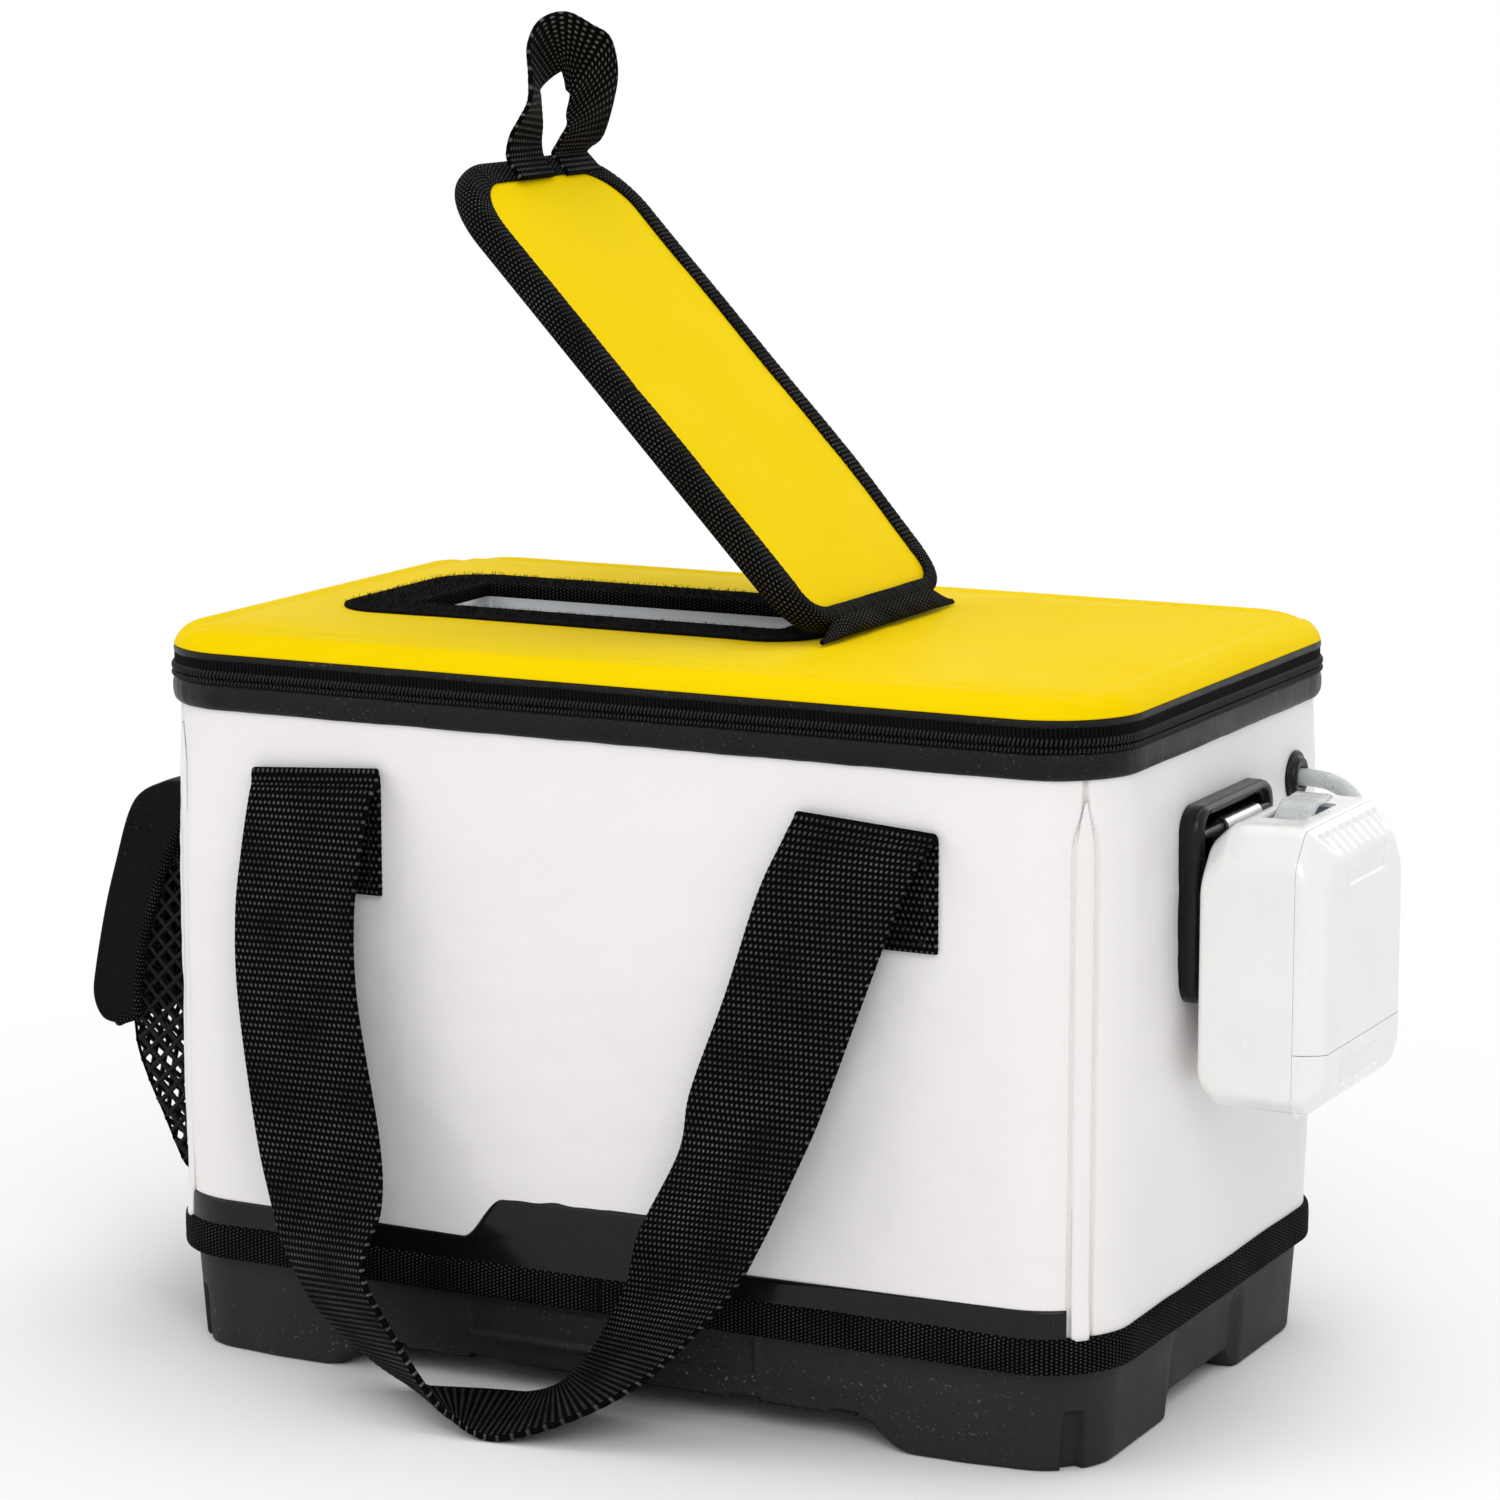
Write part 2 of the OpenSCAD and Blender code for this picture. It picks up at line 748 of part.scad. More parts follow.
// ---- Bracket and belt clip on the right side ----

wall_x = body_l / 2;
plate_t = 1.5;
bracket_bar = 8;
bracket_top_bar = 4.5;
hook_x = wall_x + 5.9;
hook_z = bracket_z + 23.5;
hook_r = 1.8;
window_h = bracket_h - bracket_bar - bracket_top_bar;

module bracket_frame() {
    color("#202123")
    difference() {
        union() {
            difference() {
                along_x(wall_x, bracket_d)
                    translate([bracket_y, bracket_z]) rounded(bracket_w, bracket_h, 9);
                along_x(wall_x + plate_t, bracket_d)
                    translate([bracket_y, bracket_z + (bracket_bar - bracket_top_bar) / 2])
                        rounded(bracket_w - 2 * bracket_bar, window_h, 4);
            }
            translate([hook_x, bracket_y - bracket_w / 2 + bracket_bar - 1, hook_z])
                rotate([-90, 0, 0]) cylinder(r = hook_r, h = bracket_w - 2 * bracket_bar + 2, $fn = 48);
        }
        rivet_bores();
    }
}

module bracket_rivets() {
    color("#8d8f92")
    for (sy = [-1, 1], sz = [-1, 1])
        translate([wall_x - skin, bracket_y + sy * rivet_dy, bracket_z + sz * rivet_dz])
            rotate([0, 90, 0]) {
                cylinder(r = rivet_r, h = skin + plate_t, $fn = 24);
                translate([0, 0, skin + plate_t]) cylinder(r = 3, h = 1.1, $fn = 32);
            }
}

clip_t = 0.9;
clip_gap = 0.3;
clip_w = 31;
clip_y = -4.5;
clip_r = hook_r + clip_gap;
clip_leaf = 38;
clip_leg = 22;
screw_r = 1.4;
screw_z = [hook_z - 8, hook_z - 17];
pump_back = hook_x + clip_r + clip_t + seat;

module belt_clip() {
    color("#c9cbcd")
    difference() {
        translate([0, clip_y - clip_w / 2, 0]) {
            difference() {
                translate([hook_x, 0, hook_z]) rotate([-90, 0, 0])
                    cylinder(r = clip_r + clip_t, h = clip_w, $fn = 48);
                translate([hook_x, -1, hook_z]) rotate([-90, 0, 0])
                    cylinder(r = clip_r, h = clip_w + 2, $fn = 48);
                translate([hook_x - 10, -1, hook_z - 20]) cube([20, clip_w + 2, 20]);
            }
            translate([hook_x - clip_r - clip_t, 0, hook_z - clip_leaf])
                cube([clip_t, clip_w, clip_leaf]);
            translate([hook_x + clip_r, 0, hook_z - clip_leg])
                cube([clip_t, clip_w, clip_leg]);
        }
        for (z = screw_z)
            translate([hook_x, clip_y, z]) rotate([0, 90, 0])
                cylinder(r = screw_r + seat, h = 10, $fn = 24);
    }
}

module clip_screws() {
    color("#8d8f92")
    for (z = screw_z)
        translate([hook_x + clip_r - 1.2, clip_y, z]) rotate([0, 90, 0]) {
            cylinder(r = 3, h = 1.2, $fn = 32);
            cylinder(r = screw_r, h = 1.2 + clip_t + seat + pump_wall, $fn = 24);
        }
}

// ---- Air pump case ----

pump_y = -6;
pump_z = 112;
pump_x1 = pump_back + pump_d;
part_x = pump_back + 33;
seam_z = pump_z + 21;
seam_gap = 0.2;
gasket_t = 0.5;

// Side view of the case drawn in by i, with its four corners cut off at 45 degrees
module case_side(i) {
    cut = 0.586 * i;
    x0 = pump_back + i;
    x1 = pump_x1 - i;
    z0 = pump_z + i;
    z1 = pump_z + pump_h - i;
    polygon([[x0, z0 + 5 - cut], [x0 + 5 - cut, z0], [x1 - 6 + cut, z0], [x1, z0 + 6 - cut],
             [x1, z1 - 12 + cut], [x1 - 12 + cut, z1], [x0 + 8 - cut, z1], [x0, z1 - 8 + cut]]);
}

module case_solid(i)
    intersection() {
        along_y(pump_y - pump_w / 2 + i, pump_w - 2 * i) case_side(i);
        translate([0, 0, pump_z - 5]) linear_extrude(pump_h + 10)
            polygon([[pump_back - 1, pump_y - pump_w / 2 + i], [pump_x1 - 7, pump_y - pump_w / 2 + i],
                     [pump_x1 - i, pump_y - pump_w / 2 + 5], [pump_x1 - i, pump_y + pump_w / 2 - 5],
                     [pump_x1 - 7, pump_y + pump_w / 2 - i], [pump_back - 1, pump_y + pump_w / 2 - i]]);
    }

module slab_x(x0, x1, z0, z1)
    translate([x0, pump_y - pump_w, z0]) cube([x1 - x0, 2 * pump_w, z1 - z0]);

nipple_x = pump_back + 21;
nipple_z = pump_z + 78;
switch_x = pump_back + 20;
switch_y = -8.5;
switch_l = 37;
switch_w = 16;

module pump_back_case() {
    color("#f4f3f2")
    difference() {
        case_solid(0);
        slab_x(part_x - gasket_t, pump_x1 + 1, 0, 2 * lid_top);
        case_solid(pump_wall);
        translate([nipple_x, pump_y, nipple_z])
            rotate([-90, 0, 0]) cylinder(r = nipple_r + seat, h = pump_w, $fn = 32);
        translate([switch_x - switch_w / 2, switch_y - switch_l / 2, pump_z + pump_h - 5])
            cube([switch_w, switch_l, 10]);
        for (z = screw_z)
            translate([pump_back - 1, clip_y, z]) rotate([0, 90, 0])
                cylinder(r = screw_r + seat, h = pump_wall + 2, $fn = 24);
    }
}

grip_ribs = 8;
grip_pitch = 6;

module pump_lower_front() {
    color("#f1f0ef")
    difference() {
        intersection() {
            case_solid(0);
            slab_x(part_x, pump_x1 + 1, 0, seam_z - seam_gap);
        }
        case_solid(pump_wall);
        for (i = [0 : grip_ribs - 2])
            translate([pump_x1 - 0.7, pump_y - 20 + i * grip_pitch, seam_z - 13])
                cube([2, grip_pitch - 2, 10]);
    }
}

module battery_door() {
    color("#f4f3f2")
    difference() {
        intersection() {
            case_solid(0);
            slab_x(part_x, pump_x1 + 1, seam_z + seam_gap, 2 * lid_top);
        }
        case_solid(pump_wall);
        translate([pump_x1 - 6, 0, pump_z + pump_h - 6]) rotate([0, 45, 0])
            for (i = [0 : grip_ribs - 1])
                translate([-5, pump_y - 23 + i * grip_pitch, -0.8])
                    cube([10, grip_pitch - 2, 3]);
    }
}

module case_gasket() {
    color("#3a3a3a")
    intersection() {
        difference() {
            case_solid(0.5);
            case_solid(pump_wall - 0.3);
        }
        slab_x(part_x - gasket_t + 0.02, part_x - 0.02, 0, 2 * lid_top);
    }
}

// ---- Inside the air pump ----

cell_d = 33.2;
cell_h = 60;
nub_h = 1.5;
cell_x = pump_back + pump_wall + 2 + cell_d / 2;
cell_gap = 35;
contact_t = 1;
cell_z = pump_z + pump_wall + contact_t + 1.2;
divider_z = cell_z + cell_h + nub_h + contact_t + 0.2;
divider_t = 1.5;
motor_x = pump_back + 15;
motor_z = divider_z + divider_t + 9;
motor_r = 8.6;
shaft_r = 1;
motor_y = pump_y - 36;
motor_len = 25;
head_y = motor_y + motor_len + 8;
head_d = 22;
nipple_r = 3;
barb_r = 2.4;
nipple_short = 21.5;

module cell(y) {
    translate([cell_x, pump_y + y, cell_z]) {
        cylinder(r = cell_d / 2, h = cell_h, $fn = 64);
        cylinder(r = 4.75, h = cell_h + nub_h, $fn = 32);
    }
}

module battery_left() {
    color("#3f4144")
    cell(-cell_gap / 2);
}

module battery_right() {
    color("#3f4144")
    cell(cell_gap / 2);
}

module battery_contacts() {
    color("#c0a060") {
        translate([cell_x - 8, pump_y - cell_gap / 2 - 8, pump_z + pump_wall])
            cube([16, cell_gap + 16, contact_t]);
        for (s = [-1, 1]) {
            translate([cell_x, pump_y + s * cell_gap / 2, pump_z + pump_wall + contact_t])
                cylinder(r = 5, h = 1.1, $fn = 32);
            translate([cell_x - 7, pump_y + s * cell_gap / 2 - 7, cell_z + cell_h + nub_h + 0.1])
                cube([14, 14, contact_t]);
        }
    }
}

module pump_divider() {
    color("#d9d9d7")
    translate([pump_back + pump_wall + seat, pump_y - pump_w / 2 + pump_wall + seat, divider_z])
        cube([part_x - pump_back - pump_wall - 2, pump_w - 2 * pump_wall - 2 * seat, divider_t]);
}

module pump_motor() {
    color("#b9bbbd")
    difference() {
        union() {
            translate([motor_x, motor_y, motor_z]) rotate([-90, 0, 0])
                cylinder(r = motor_r, h = motor_len, $fn = 48);
            translate([motor_x - 6, motor_y + 3, divider_z + divider_t])
                cube([12, motor_len - 6, 4]);
        }
        translate([motor_x, motor_y + 2, motor_z]) rotate([-90, 0, 0])
            cylinder(r = shaft_r + 0.06, h = motor_len, $fn = 48);
    }
}

module motor_shaft() {
    color("#c9cbcd")
    union() {
        translate([motor_x, motor_y + 3, motor_z]) rotate([-90, 0, 0])
            cylinder(r = shaft_r, h = motor_len + 4.7, $fn = 48);
        translate([motor_x + 1.2, motor_y + motor_len + 1, motor_z]) rotate([-90, 0, 0])
            cylinder(r = 4.5, h = 4, $fn = 48);
    }
}

module pump_head() {
    color("#5b5d60")
    translate([motor_x - 9, head_y, divider_z + divider_t])
        cube([nipple_x - motor_x + 14, head_d, 17]);
}

module outlet_nipple() {
    color("#5b5d60")
    translate([nipple_x, head_y + head_d, nipple_z]) rotate([-90, 0, 0])
        difference() {
            union() {
                cylinder(r = nipple_r, h = pump_y + pump_w / 2 + 2 - head_y - head_d, $fn = 32);
                cylinder(r = barb_r, h = grommet_y - nipple_short - head_y - head_d, $fn = 32);
            }
            translate([0, 0, 2]) cylinder(r = 1.2, h = pump_w, $fn = 32);
        }
}

cup_t = 1;
cup_depth = 6.4;
lever_z = pump_z + pump_h - 1.8;

module switch_cup() {
    color("#8fa0b4")
    difference() {
        translate([switch_x - switch_w / 2 + seat, switch_y - switch_l / 2 + seat,
                   pump_z + pump_h - 1 - cup_depth])
            cube([switch_w - 2 * seat, switch_l - 2 * seat, cup_depth]);
        translate([switch_x - switch_w / 2 + cup_t, switch_y - switch_l / 2 + cup_t,
                   pump_z + pump_h - cup_depth])
            cube([switch_w - 2 * cup_t, switch_l - 2 * cup_t, cup_depth]);
        translate([switch_x - switch_w / 2 - 1, switch_y, lever_z])
            rotate([0, 90, 0]) cylinder(r = 0.86, h = switch_w + 2, $fn = 24);
    }
}

lever_line = smooth([[-16.4, -1], [-10, -0.6], [-4, 1.6], [2, 2.4], [10, 2], [16.4, 2.8]], 4);

module switch_lever() {
    color("#cfd6da")
    union() {
        along_x(switch_x - switch_w / 2 + cup_t + 0.3, switch_w - 2 * cup_t - 0.6)
            translate([switch_y, lever_z]) {
                polygon(band(lever_line, 1.8));
                circle(r = 2, $fn = 32);
            }
        translate([switch_x - switch_w / 2 + seat, switch_y, lever_z])
            rotate([0, 90, 0]) cylinder(r = 0.8, h = switch_w - 2 * seat, $fn = 24);
    }
}

// ---- Air line ----

bore_gap = 0.4;

module grommet() {
    color("#151515")
    translate([wall_x - tank_inset - 1.5, grommet_y, grommet_z]) rotate([0, 90, 0])
        difference() {
            union() {
                cylinder(r = 8, h = 1.5 - 0.05, $fn = 48);
                cylinder(r = grommet_r, h = tank_inset + 1.5, $fn = 48);
                translate([0, 0, tank_inset + 1.5 + 0.05]) cylinder(r = 9, h = 1.6, $fn = 48);
                translate([0, 0, tank_inset + 1.5]) cylinder(r = 7, h = 3, $fn = 48);
            }
            translate([0, 0, -1]) cylinder(r = tube_d / 2 + bore_gap, h = tank_inset + 8, $fn = 48);
        }
}

stone_in = 36;
stone_h = 30;
stone_z = tank_floor + liner + 0.2;

// Route of the air tube from the pump's nipple through the wall to the air stone, measured from
// the middle of the wall's hole
tube_route = [[30, -21.3, -13], [30, -18, -13], [29, -12.5, -11.3], [26, -7, -7.8], [21, -2.8, -3.6],
              [14, -0.6, -0.9], [7, 0, 0], [0, 0, 0], [-12, 0, 0], [-16, 0, -0.1], [-22.5, 0, -1.7],
              [-29.6, 0, -6.3], [-34.3, 0, -13.4], [-36, 0, -22], [-36, 0, -43], [-36, 0, -83],
              [-36, 0, -118], [-36, 0, -139], [-36, 0, -146.4]];
tube_sides = 10;

// Rings round a route, each turned on from the one before so that the tube doesn't twist
function tube_rings(path, r) =
    let (last = len(path) - 1)
    [for (i = 0, along = unit(path[1] - path[0]), across = unit(cross(along, [0.3, 0.2, 1]));
          i <= last;
          i = i + 1,
          along = i > last ? along : unit(path[min(i + 1, last)] - path[i - 1]),
          across = unit(across - along * (across * along)))
        let (other = cross(along, across))
        [for (k = [0 : tube_sides - 1])
            path[i] + r * (cos(-360 * k / tube_sides) * across + sin(-360 * k / tube_sides) * other)]];

module air_tube() {
    color("#d5d8da")
    translate([wall_x, grommet_y, grommet_z])
        loft(tube_rings(smooth(tube_route, 3), tube_d / 2));
}

module air_stone() {
    color("#6d8ea8")
    translate([wall_x - stone_in, grommet_y, stone_z]) {
        cylinder(r = 8, h = stone_h - 4, $fn = 48);
        cylinder(r = 2.4, h = stone_h, $fn = 32);
    }
}

base_tray();
base_binding();
outer_shell();
front_skirt();
corner_piping();
floor_foam();
wall_foam();
liner_floor();
inner_liner();
liner_flange();
rim_lower();
zip_lower_teeth();
lid_hinge_tape();
rim_upper();
zip_upper_teeth();
lid_liner();
lid_foam();
lid_panel();
hatch_sleeve();
hatch_binding();
hatch_loop_ring();
flap_hinge_strip();
flap_binding();
flap_panel();
flap_core();
flap_underside();
flap_hook_strip();
flap_grab_loop();
front_handle_patches();
front_handle();
rear_handle_patches();
rear_handle();
pocket_net_front();
pocket_net_bottom();
pocket_net_gusset_front();
pocket_net_gusset_rear();
pocket_flap();
zip_slider();
zip_pull();
bracket_frame();
bracket_rivets();
belt_clip();
clip_screws();
pump_back_case();
pump_lower_front();
battery_door();
case_gasket();
pump_divider();
battery_contacts();
battery_left();
battery_right();
pump_motor();
motor_shaft();
pump_head();
outlet_nipple();
switch_cup();
switch_lever();
grommet();
air_tube();
air_stone();
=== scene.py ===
"""Looks of a soft-sided insulated bait box with a zipped lid, hatch flap, net pocket and clip-on air pump.

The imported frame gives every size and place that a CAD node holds. Lengths here are in millimetres and
become metres when a mesh is made. The front is -Y and the air pump's side is +X.
"""

import logging
import math
from collections.abc import Callable
from dataclasses import dataclass, field
from enum import Enum

import bmesh
import bpy
import numpy as np
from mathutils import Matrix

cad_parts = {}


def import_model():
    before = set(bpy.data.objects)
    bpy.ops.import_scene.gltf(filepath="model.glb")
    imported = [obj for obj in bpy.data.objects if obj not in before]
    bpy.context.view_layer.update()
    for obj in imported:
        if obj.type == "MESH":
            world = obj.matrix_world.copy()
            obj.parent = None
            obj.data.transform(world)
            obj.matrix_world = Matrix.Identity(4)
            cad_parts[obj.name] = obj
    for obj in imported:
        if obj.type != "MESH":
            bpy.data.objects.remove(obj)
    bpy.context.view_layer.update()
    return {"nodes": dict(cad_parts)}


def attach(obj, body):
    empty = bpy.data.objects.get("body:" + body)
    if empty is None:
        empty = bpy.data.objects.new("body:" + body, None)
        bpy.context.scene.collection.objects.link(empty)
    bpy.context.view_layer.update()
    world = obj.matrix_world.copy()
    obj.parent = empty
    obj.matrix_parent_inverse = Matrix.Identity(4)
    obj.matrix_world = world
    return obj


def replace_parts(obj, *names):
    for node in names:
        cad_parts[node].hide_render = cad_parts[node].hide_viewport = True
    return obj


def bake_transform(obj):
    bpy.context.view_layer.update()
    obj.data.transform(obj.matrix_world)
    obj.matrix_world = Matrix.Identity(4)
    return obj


log = logging.getLogger("bait_box")

MM = 0.001
Array = np.ndarray
Colour = tuple[float, float, float]


# ---------------------------------------------------------------- surfaces


class Slot(Enum):
    """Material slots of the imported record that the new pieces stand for."""

    SHELL = "white_shell"
    YELLOW = "yellow_vinyl"
    TRIM = "black_trim"
    VINYL = "black_vinyl"
    WEBBING = "webbing"
    BASE = "base_plastic"
    FASTENER = "fastener"
    NET = "net"
    ZIP = "zip_plastic"
    BRACKET = "bracket_plastic"
    CASE = "white_plastic"
    LEVER = "clear_lever"
    TUBE = "tube_plastic"
    RUBBER = "rubber"
    FOAM = "foam"


def smoothstep(x: Array, low: float, high: float) -> Array:
    """Share from 0 below low to 1 above high, with a flat start and end."""
    t = np.clip((x - low) / (high - low), 0.0, 1.0)
    return t * t * (3 - 2 * t)


def bump(x: Array, centre: float, half: float, soft: float) -> Array:
    """1 within half of centre, falling to 0 over soft on each side."""
    return 1 - smoothstep(np.abs(x - centre), half, half + soft)


def waves(a: Array, b: Array, seed: int, scale: float, octaves: int = 3) -> Array:
    """Smooth irregular field over two coordinates in millimetres.

    A sum of sine products whose directions and phases come from a seeded generator; each octave
    halves its wavelength and its height.

    Args:
        a: First coordinate.
        b: Second coordinate.
        seed: Seed of the generator.
        scale: Longest wavelength.
        octaves: Number of octaves.

    Returns:
        Values of about -1 to 1, of the shape of a and b.
    """
    rng = np.random.default_rng(seed)
    total = np.zeros(np.broadcast(a, b).shape)
    for k in range(octaves):
        for _ in range(4):
            turn, p, q = rng.uniform(0, 2 * math.pi, 3)
            rate = 2 * math.pi / (scale * 0.5**k) * rng.uniform(0.7, 1.3)
            along = a * math.cos(turn) + b * math.sin(turn)
            across = -a * math.sin(turn) + b * math.cos(turn)
            total = total + 0.25 * 0.5**k * np.sin(rate * along + p) * np.cos(0.6 * rate * across + q)
    return total


@dataclass(frozen=True)
class Outline:
    """Rounded rectangle run anticlockwise from the middle of its front side, in nine stretches.

    The stretches are half the front side, then a corner and a side in turn, and the other half of the
    front. The two corners at its left end may have a radius of their own.
    """

    length: float
    depth: float
    radius: float
    left: float | None = None
    centre: tuple[float, float] = (0.0, 0.0)

    @property
    def radii(self) -> tuple[float, float]:
        """Radius of the right and of the left corners."""
        return self.radius, self.radius if self.left is None else self.left

    def stretches(self) -> Array:
        """Lengths of the nine stretches."""
        r, q = self.radii
        ends = self.length / 2 - r, self.length / 2 - q
        sides = self.depth - 2 * r, self.depth - 2 * q
        turn = math.pi / 2
        return np.array([ends[0], turn * r, sides[0], turn * r, sum(ends), turn * q, sides[1], turn * q, ends[1]])

    @property
    def total(self) -> float:
        """Length of the whole outline."""
        return float(self.stretches().sum())

    def inset(self, by: float) -> "Outline":
        """The outline drawn in by a distance; below zero it grows."""
        r, q = (max(v - by, 0.02) for v in self.radii)
        return Outline(self.length - 2 * by, self.depth - 2 * by, r, q, self.centre)

    def place(self, s: Array) -> tuple[Array, Array]:
        """Stretch that holds each distance s, and the share of it that is run."""
        runs = self.stretches()
        starts = np.concatenate([[0], np.cumsum(runs)[:-1]])
        s = np.mod(s, runs.sum())
        leg = np.clip(np.searchsorted(starts, s, side="right") - 1, 0, 8)
        return leg, (s - starts[leg]) / np.maximum(runs[leg], 1e-9)

    def point(self, leg: Array, share: Array) -> tuple[Array, Array]:
        """Points and outward normals at shares of the stretches.

        A straight stretch moves its start along its side; a corner turns its radius about the corner's
        centre by the share of a right angle.

        Args:
            leg: Stretch of each point, 0 to 8.
            share: Share of the stretch.

        Returns:
            Points (n, 2) and unit normals (n, 2).
        """
        r, q = self.radii
        a, c, b, d = self.length / 2 - r, self.length / 2 - q, self.depth / 2 - r, self.depth / 2 - q
        centres = np.array([[0, -b], [a, -b], [a, -b], [a, b], [a, b], [-c, d], [-c, d], [-c, -d], [-c, -d]])
        go = np.array([[1, 0], [0, 0], [0, 1], [0, 0], [-1, 0], [0, 0], [0, -1], [0, 0], [1, 0]])
        size = np.where(leg <= 4, r, q)
        turn = np.radians(90 * (leg // 2 - 1) + np.where(leg % 2 == 1, 90 * share, 0.0))
        normal = np.stack([np.cos(turn), np.sin(turn)], -1)
        run = (share * self.stretches()[leg])[:, None]
        return np.array(self.centre) + centres[leg] + go[leg] * run + size[:, None] * normal, normal

    def at(self, s: Array) -> tuple[Array, Array]:
        """Points and outward normals at the distances s."""
        return self.point(*self.place(s))

    def samples(self, step: float) -> Array:
        """Distances about step apart round the whole outline."""
        n = max(int(round(self.total / step)), 8)
        return np.arange(n) * self.total / n


def rings(steps: list[tuple[Outline, float]], leg: Array, share: Array) -> Array:
    """Rings at matching shares of a list of outlines, each at its own height; (rings, points, 3)."""
    rows = [np.column_stack([outline.point(leg, share)[0], np.full(len(leg), z)]) for outline, z in steps]
    return np.array(rows)


def grid_faces(rows: int, cols: int, closed: bool = True, tall: bool = False) -> Array:
    """Quads of a grid whose columns run anticlockwise and whose rows run up, faces outwards.

    Args:
        rows: Number of rows of points.
        cols: Number of points in each row.
        closed: Joins the last column to the first.
        tall: Joins the last row to the first.

    Returns:
        Indices (n, 4).
    """
    r = np.arange(rows if tall else rows - 1)[:, None]
    c = np.arange(cols if closed else cols - 1)[None, :]
    r1, c1 = (r + 1) % rows, (c + 1) % cols
    return np.stack([r * cols + c, r * cols + c1, r1 * cols + c1, r1 * cols + c], -1).reshape(-1, 4)


def smooth_curve(points: Array, steps: int) -> Array:
    """Catmull-Rom curve through rows of numbers: a cubic whose slope at a point is half the step between its neighbours."""
    p = np.asarray(points, float)
    i = np.arange(len(p) - 1)
    a, b, c, d = p[np.maximum(i - 1, 0)], p[i], p[i + 1], p[np.minimum(i + 2, len(p) - 1)]
    t = (np.arange(steps) / steps)[None, :, None]
    a, b, c, d = (v[:, None, :] for v in (a, b, c, d))
    cubic = 0.5 * (2 * b + (c - a) * t + (2 * a - 5 * b + 4 * c - d) * t**2 + (3 * b - a - 3 * c + d) * t**3)
    return np.concatenate([cubic.reshape(-1, p.shape[1]), p[-1:]])


def respaced(line: Array, step: float, width: int = 3) -> tuple[Array, Array]:
    """The line with points a step apart along its first width numbers, and their distances along it."""
    run = np.concatenate([[0], np.cumsum(np.linalg.norm(np.diff(line[:, :width], axis=0), axis=1))])
    at = np.linspace(0, run[-1], max(int(round(run[-1] / step)), 2) + 1)
    return np.stack([np.interp(at, run, line[:, k]) for k in range(line.shape[1])], -1), at


def unit(v: Array) -> Array:
    """Vectors scaled to length 1."""
    return v / np.maximum(np.linalg.norm(v, axis=-1, keepdims=True), 1e-12)


def tangents(line: Array) -> Array:
    """Unit directions along a line of points."""
    return unit(np.gradient(line, axis=0))


@dataclass
class Mesh:
    """Points, faces and a UV map in millimetres, gathered from one or more surfaces."""

    points: list[Array] = field(default_factory=list)
    faces: list[Array] = field(default_factory=list)
    uvs: list[Array] = field(default_factory=list)
    count: int = 0

    def add(self, points: Array, faces: Array, uv: Array | None = None) -> "Mesh":
        """Adds a surface with its own numbering and, where a pattern follows it, its UVs per point."""
        points = np.asarray(points, float).reshape(-1, 3)
        self.points.append(points)
        self.faces.append(np.asarray(faces) + self.count)
        self.uvs.append(np.zeros((len(points), 2)) if uv is None else np.asarray(uv, float).reshape(-1, 2))
        self.count += len(points)
        return self

    def loft(self, rows: Array, closed: bool = True, tall: bool = False, uv: Array | None = None) -> "Mesh":
        """Adds a grid of points (rows, columns, 3)."""
        rows = np.asarray(rows, float)
        return self.add(rows, grid_faces(rows.shape[0], rows.shape[1], closed, tall), uv)

    def build(
        self, name: str, material: bpy.types.Material, body: str | None, slot: Slot | None = None, flat: bool = False
    ) -> bpy.types.Object:
        """Makes the object, in metres, and rides it on its body.

        Args:
            name: Name of the piece.
            material: Its finish.
            body: The body that it moves with, or None where it is blended later.
            slot: The record's material slot; not used.
            flat: Leaves the faces flat shaded.

        Returns:
            The object, at the origin.
        """
        data = bpy.data.meshes.new(name)
        points = np.concatenate(self.points) * MM
        faces = [tuple(f) for group in self.faces for f in group.tolist()]
        data.from_pydata(points.tolist(), [], faces)
        layer = data.uv_layers.new(name="UVMap")
        corner = np.zeros(len(data.loops), np.int32)
        data.loops.foreach_get("vertex_index", corner)
        layer.data.foreach_set("uv", np.concatenate(self.uvs)[corner].astype(np.float32).ravel())
        data.polygons.foreach_set("use_smooth", np.full(len(data.polygons), not flat))
        data.materials.append(material)
        data.validate()
        data.update()
        piece = bpy.data.objects.new(name, data)
        bpy.context.scene.collection.objects.link(piece)
        if body is not None:
            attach(piece, body)
        log.info("%s: %d faces", name, len(data.polygons))
        return piece


def modified(piece: bpy.types.Object, kind: str, **settings: object) -> bpy.types.Object:
    """Adds a modifier of that kind with these settings."""
    modifier = piece.modifiers.new(kind.title(), kind)
    for key, value in settings.items():
        setattr(modifier, key, value)
    return piece


def applied(piece: bpy.types.Object) -> bpy.types.Object:
    """Bakes a piece's modifiers into its mesh."""
    bpy.context.view_layer.update()
    evaluated = piece.evaluated_get(bpy.context.evaluated_depsgraph_get())
    data = bpy.data.meshes.new_from_object(evaluated)
    piece.modifiers.clear()
    piece.data = data
    return piece


